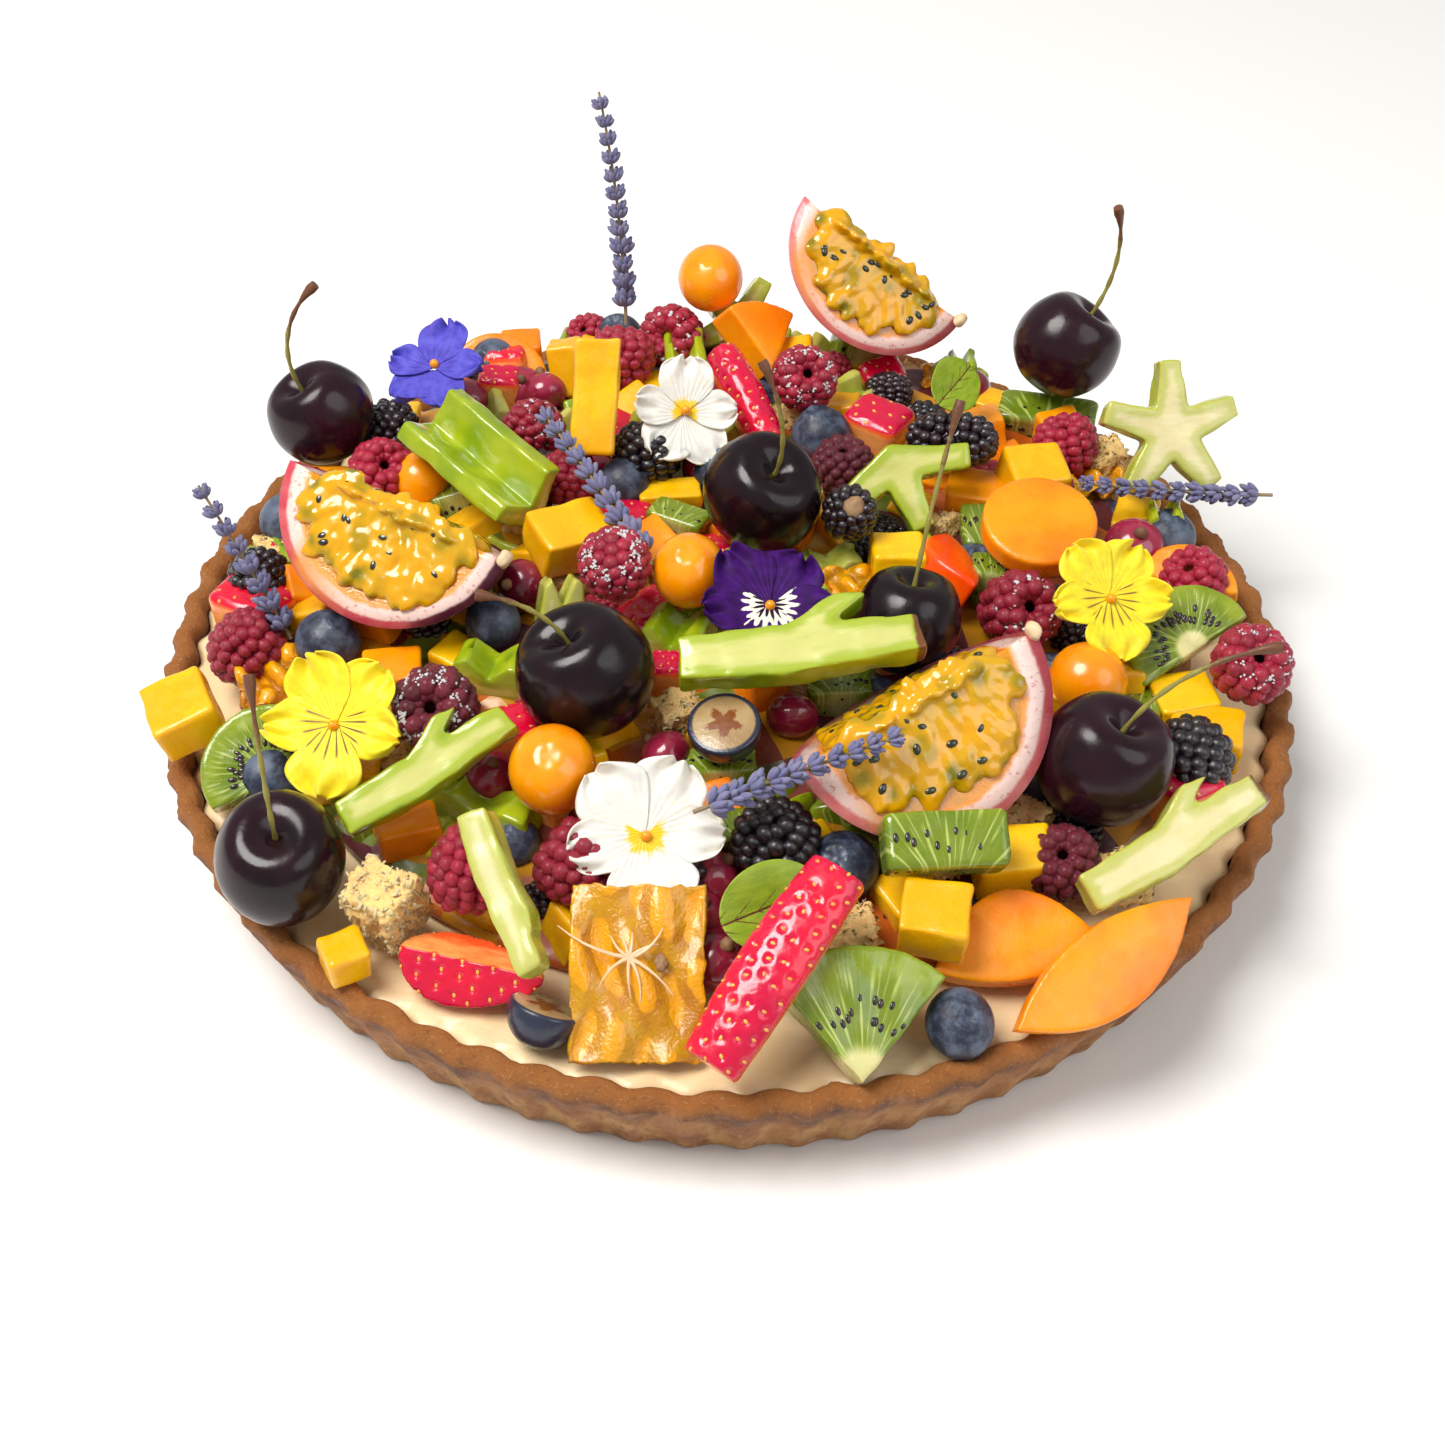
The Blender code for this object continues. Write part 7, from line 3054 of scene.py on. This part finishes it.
@dataclass
class FruitHeap:
    """The heap: a core, and the small fruit on it as one joined piece for each kind."""

    sink: float = 3 * MM
    back_sink: float = 6 * MM
    back_count: int = 17
    back_seed: int = 7
    fringe_count: int = 25
    fringe_seed: int = 11
    reach: float = 113 * MM
    spacing: float = 13.5 * MM
    seed: int = 31
    laid: dict[Fruit, list[Matrix]] = field(default_factory=dict)
    taken: list[Vector] = field(default_factory=list)

    def core(self) -> Piece:
        """Model the core, lumpy like the fruit that it stands for, in fruit colours darkened as painted shade.

        Returns:
            The core.
        """
        rings = 60
        profile = [(0.0, MOUND.bottom), (MOUND.radius - MM, MOUND.bottom)]
        profile += [((MOUND.radius - MM) * (1 - k / rings), MOUND.bottom + MM) for k in range(rings)]
        profile += [(0.0, MOUND.bottom + MM)]
        piece = turned(profile, 220)

        def lift(place: Vector) -> Vector:
            """Raise a place of the flat core to the mound's height, with a dent between lumps.

            Args:
                place: A vertex of the flat core.

            Returns:
                Its place on the core.
            """
            moved = place + Vector((0, MOUND.shift, 0))
            if place.z > MOUND.bottom + 0.5 * MM:
                near = noise.voronoi(moved * 75)[0][0]
                moved.z = MOUND.height(moved.x, moved.y) - 1.0 * MM + 3.0 * MM * (0.45 - near)
                moved.z = max(moved.z, MOUND.bottom + 0.3 * MM)
            return moved

        return dress(stamp(sculpt(piece, lift)), SHADED_MEDLEY)

    def lay(self, kind: Fruit, place: Vector, size: tuple[float, ...], turn: Turn) -> None:
        """Note where one small piece goes.

        Args:
            kind: The fruit.
            place: Its middle.
            size: Its width, depth and height.
            turn: Its turn in degrees.
        """
        matrix = Matrix.Translation(place) @ turn_of(turn).to_4x4() @ Matrix.Diagonal((
            *[s / UNIT for s in size], 1
        ))
        self.laid.setdefault(kind, []).append(matrix)
        self.taken.append(place)

    def over(self, point: tuple[float, float], size: tuple[float, ...], turn: Turn) -> Vector:
        """Find where a piece seen at a picture point lies, when it is sunk a little into the core.

        Args:
            point: The picture point.
            size: The piece's width, depth and height.
            turn: Its turn in degrees.

        Returns:
            The middle of the piece.
        """
        below = half_height(size, turn)
        place = EYE.spot(point, 50 * MM, self.reach)
        for _ in range(12):
            height = (place.z + MOUND.height(place.x, place.y) + below - self.sink) / 2
            place = EYE.spot(point, height, self.reach)
        return place

    def lay_seen(self) -> None:
        """Lay the pieces that the picture shows."""
        for kind, point, size, turn in SMALL_BLOCKS:
            real = tuple(s * MM for s in size)
            self.lay(kind, self.over(point, real, turn), real, turn)
        draw = random.Random(5)
        for kind, point, width in SMALL_BERRIES:
            turn = (draw.uniform(-25, 60), draw.uniform(-25, 25), draw.uniform(0, 360))
            real = (width * MM,) * 3
            self.lay(kind, self.over(point, real, (0, 0, 20)), real, turn)

    def lay_back(self) -> None:
        """Lay the small fruit along the back by the same seeded rule as its solids."""
        draw = random.Random(self.back_seed)
        for k in range(self.back_count):
            angle = math.radians(20 + 140 * k / (self.back_count - 1))
            reach = (108, 92)[k % 2] * MM + draw.uniform(-2, 2) * MM
            x, y = reach * math.cos(angle), reach * math.sin(angle) + MOUND.shift / 2
            size = tuple(draw.uniform(10, 15) * MM for _ in range(3))
            turn = tuple(draw.uniform(-20, 20) for _ in range(3))
            place = Vector((x, y, MOUND.height(x, y) + half_height(size, turn) - self.back_sink))
            self.lay(FILLERS[(5 * k) % len(FILLERS)], place, size, turn)

    def lay_fringe(self) -> None:
        """Lay small fruit on the cream along the core's back edge, so that its side doesn't show."""
        draw = random.Random(self.fringe_seed)
        boxes = single_boxes()
        for k in range(self.fringe_count):
            angle = math.radians(8 + 164 * k / (self.fringe_count - 1)) + draw.uniform(-0.01, 0.01)
            reach = MOUND.radius - draw.uniform(1.5, 3.5) * MM
            x, y = reach * math.cos(angle), reach * math.sin(angle) + MOUND.shift
            size = (draw.uniform(11, 15) * MM, draw.uniform(9, 11) * MM, draw.uniform(9, 13) * MM)
            turn = (0, 0, math.degrees(angle) - 90 + draw.uniform(-25, 25))
            kind = FILLERS[(3 * k + 2) % len(FILLERS)]
            near = 5 * MM
            if any(
                l.x - near < x < h.x + near and l.y - near < y < h.y + near and l.z < 36 * MM for l,
                h in boxes
            ):
                continue
            self.lay(kind, Vector((x, y, MOUND.bottom - 0.4 * MM + size[2] / 2)), size, turn)

    def lay_fillers(self) -> None:
        """Lay more small fruit wherever the core would show."""
        draw = random.Random(self.seed)
        boxes = single_boxes()
        rows = 16
        for i in range(-rows, rows + 1):
            for j in range(-rows, rows + 1):
                x = (j + 0.5 * (i % 2)) * self.spacing * 0.94 + draw.uniform(-2, 2) * MM
                y = i * self.spacing * 0.82 + MOUND.shift + draw.uniform(-2, 2) * MM
                if math.hypot(x, y - MOUND.shift) > MOUND.radius - 6 * MM:
                    continue
                if any(math.hypot(x - p.x, y - p.y) < 8.5 * MM for p in self.taken):
                    continue
                size = tuple(draw.uniform(10, 14) * MM for _ in range(3))
                ground = MOUND.height(x, y)
                roof = min(
                    [lo.z for lo, hi in boxes if lo.x - MM < x < hi.x + MM and lo.y - MM < y < hi.y + MM],
                    default=1.0,
                )
                top = min(ground + draw.uniform(2, 5) * MM, max(roof + 1.5 * MM, ground + 1.0 * MM))
                turn = (draw.uniform(-25, 25), draw.uniform(-25, 25), draw.uniform(0, 180))
                kind = FILLERS[draw.randrange(len(FILLERS))]
                self.lay(kind, Vector((x, y, top - size[2] * 0.5)), size, turn)

    def build(self) -> None:
        """Model the heap in the place of its node."""
        self.lay_seen()
        self.lay_back()
        self.lay_fillers()
        self.lay_fringe()
        hand_in(self.core(), "heap_core", Slot.HEAP, "fruit_heap")
        for kind, matrices in self.laid.items():
            variants = 2 if len(matrices) > 3 else 1
            parts = []
            for k in range(variants):
                model = MODELS[kind](k + 1)
                apply_modifier(model, "DECIMATE", ratio=KEPT_SHARE.get(kind, 0.34))
                low, high = corners(model)
                sizes = [1.0 if kind is Fruit.AMBER else UNIT / (high[a] - low[a]) for a in range(3)]
                model.data.transform(Matrix.Diagonal((*sizes, 1)) @ Matrix.Translation(-(low + high) / 2))
                parts.append(scattered(kind.value, model, matrices[k::variants], k))
            piece = joined(kind.value, parts)
            hand_in(piece, "small_" + kind.value, SLOTS[kind], "fruit_heap")


@dataclass
class HeapSlices:
    """The small slices and wedges of the heap that are no blocks."""

    def lay(
        self, heap: FruitHeap, piece: Piece, name: str, slot: Slot, point: tuple[float, float], turn: Turn
    ) -> None:
        """Lay one slice on the heap by its picture point.

        Args:
            heap: The heap.
            piece: The slice.
            name: Its name.
            slot: The slot for its finish.
            point: Its picture point.
            turn: Its turn in degrees.
        """
        low, high = corners(piece)
        place = heap.over(point, tuple(high - low), turn)
        piece.data.transform(
            Matrix.Translation(place) @ turn_of(turn).to_4x4() @ Matrix.Translation(-(low + high) / 2)
        )
        heap.taken.append(place)
        hand_in(piece, name, slot, "fruit_heap")

    def build(self, heap: FruitHeap) -> None:
        """Model the slices.

        Args:
            heap: The heap that they lie on.
        """
        self.lay(
            heap, kiwi_sector(15 * MM, 200, 9 * MM, 5), "slice_kiwi_left", Slot.KIWI, (234, 757),
            (35, -10, 25)
        )
        self.lay(
            heap, kiwi_sector(15 * MM, 190, 8 * MM, 6), "slice_kiwi_right", Slot.KIWI, (1172, 628),
            (25, -20, 30)
        )
        wedge = smooth_slice(sector_points(20 * MM, 62), 10 * MM, PAPAYA_FLESH, MM)
        self.lay(heap, wedge, "slice_papaya_back", Slot.PAPAYA, (757, 342), (35, 20, 25))
        outer = [math.pi * k / 20 for k in range(21)]
        ring = [(13.5 * MM * math.cos(a), 13.5 * MM * math.sin(a)) for a in outer]
        ring += [(8 * MM * math.cos(a), 8 * MM * math.sin(a)) for a in reversed(outer)]
        self.lay(
            heap, smooth_slice(ring, 9 * MM, PAPAYA_FLESH), "slice_papaya_left", Slot.PAPAYA, (466, 331),
            (38, 0, 6)
        )
        wedge = smooth_slice(sector_points(13 * MM, 150), 9 * MM, PAPAYA_FLESH, MM)
        self.lay(heap, wedge, "slice_papaya_right", Slot.PAPAYA, (1208, 573), (35, 0, -20))
        self.lay(
            heap, carambola(star_points(29 * MM, 4), 9 * MM), "slice_star_back", Slot.STAR_FRUIT, (738, 270),
            (48, 0, 10)
        )
        wedge = smooth_slice(lens_points(25 * MM, 14 * MM, 0.7), 8 * MM, RED_PAPAYA, MM)
        self.lay(heap, wedge, "slice_papaya_red", Slot.PAPAYA, (944, 568), (30, 10, 100))


# The setting


@dataclass
class Studio:
    """A plain pale floor, soft light and the picture's camera."""

    floor_colour: Colour = (0.86, 0.855, 0.84)
    key: float = 17.0
    fill: float = 5.0
    sky: float = 0.4

    def floor(self) -> None:
        """Lay the floor."""
        bpy.ops.mesh.primitive_plane_add(size=8, location=(0, 0, -0.0003))
        floor = bpy.context.object
        floor.name = "floor"
        made = bpy.data.materials.new("floor")
        made.use_nodes = True
        graph = Graph(made.node_tree)
        shader = made.node_tree.nodes["Principled BSDF"]
        shader.inputs["Base Color"].default_value = (*self.floor_colour, 1)
        shader.inputs["Roughness"].default_value = 0.7
        graph.feed(shader.inputs["Normal"], graph.bump(graph.noise(graph.place(), 300.0), 0.01 * MM, 0.2))
        floor.data.materials.append(made)

    def lamp(self, name: str, place: Vector, size: float, power: float, colour: Colour) -> None:
        """Hang a soft lamp that points at the tart.

        Args:
            name: Its name.
            place: Where it hangs.
            size: How wide it is.
            power: Its power in watts.
            colour: Its colour.
        """
        light = bpy.data.lights.new(name, "AREA")
        light.shape = "DISK"
        light.size = size
        light.energy = power
        light.color = colour
        made = bpy.data.objects.new(name, light)
        bpy.context.scene.collection.objects.link(made)
        made.matrix_world = Matrix.Translation(place) @ place.to_track_quat("Z", "Y").to_matrix().to_4x4()

    def camera(self) -> None:
        """Set the camera where the picture was taken from."""
        eye, right, up, ahead = EYE.axes()
        lens = bpy.data.cameras.new("camera")
        lens.sensor_width = 36
        lens.lens = EYE.focus / (2 * EYE.middle) * 36
        lens.clip_start = 0.01
        made = bpy.data.objects.new("camera", lens)
        bpy.context.scene.collection.objects.link(made)
        rows = Matrix((right, up, -ahead)).transposed()
        made.matrix_world = Matrix.Translation(eye) @ rows.to_4x4()
        bpy.context.scene.camera = made

    def build(self) -> None:
        """Set up the floor, the light and the camera."""
        self.floor()
        self.lamp("key", Vector((-0.5, -0.15, 1.1)), 0.7, self.key, (1.0, 0.97, 0.93))
        self.lamp("fill", Vector((0.9, -0.5, 0.9)), 1.0, self.fill, (0.95, 0.97, 1.0))
        world = bpy.data.worlds.new("sky")
        world.use_nodes = True
        world.node_tree.nodes["Background"].inputs["Color"].default_value = (1.0, 0.99, 0.97, 1)
        world.node_tree.nodes["Background"].inputs["Strength"].default_value = self.sky
        bpy.context.scene.world = world
        bpy.context.scene.view_settings.view_transform = "Standard"
        self.camera()


def half_berry_on_cream() -> None:
    """Lay the halved blueberry that lies on the cream before the heap, its cut face turned away."""
    piece = halved_blueberry(15 * MM)
    turn = turn_of((-38, 12, -12)).to_4x4()
    piece.data.transform(turn)
    lowest = min(v.co.z for v in piece.data.vertices)
    place = EYE.spot((540, 1030), 26 * MM, 119 * MM)
    piece.data.transform(Matrix.Translation((place.x, place.y, CREAM_TOP - lowest)))
    hand_in(piece, "blueberry_half_front", Slot.BLUEBERRY)


def main() -> None:
    """Build the tart, its floor, its light and the camera."""
    logging.basicConfig(level=logging.INFO, format="%(message)s")
    TartShell().build()
    PastryCream().build()
    heap = FruitHeap()
    HeapSlices().build(heap)
    heap.build()
    half_berry_on_cream()
    for piece in (*PASSION_FRUITS, *CHERRIES, *SINGLE_PIECES, *VIOLAS, *LEAVES, *SPRIGS):
        piece.build()
    Studio().build()


if __name__ == "__main__":
    main()
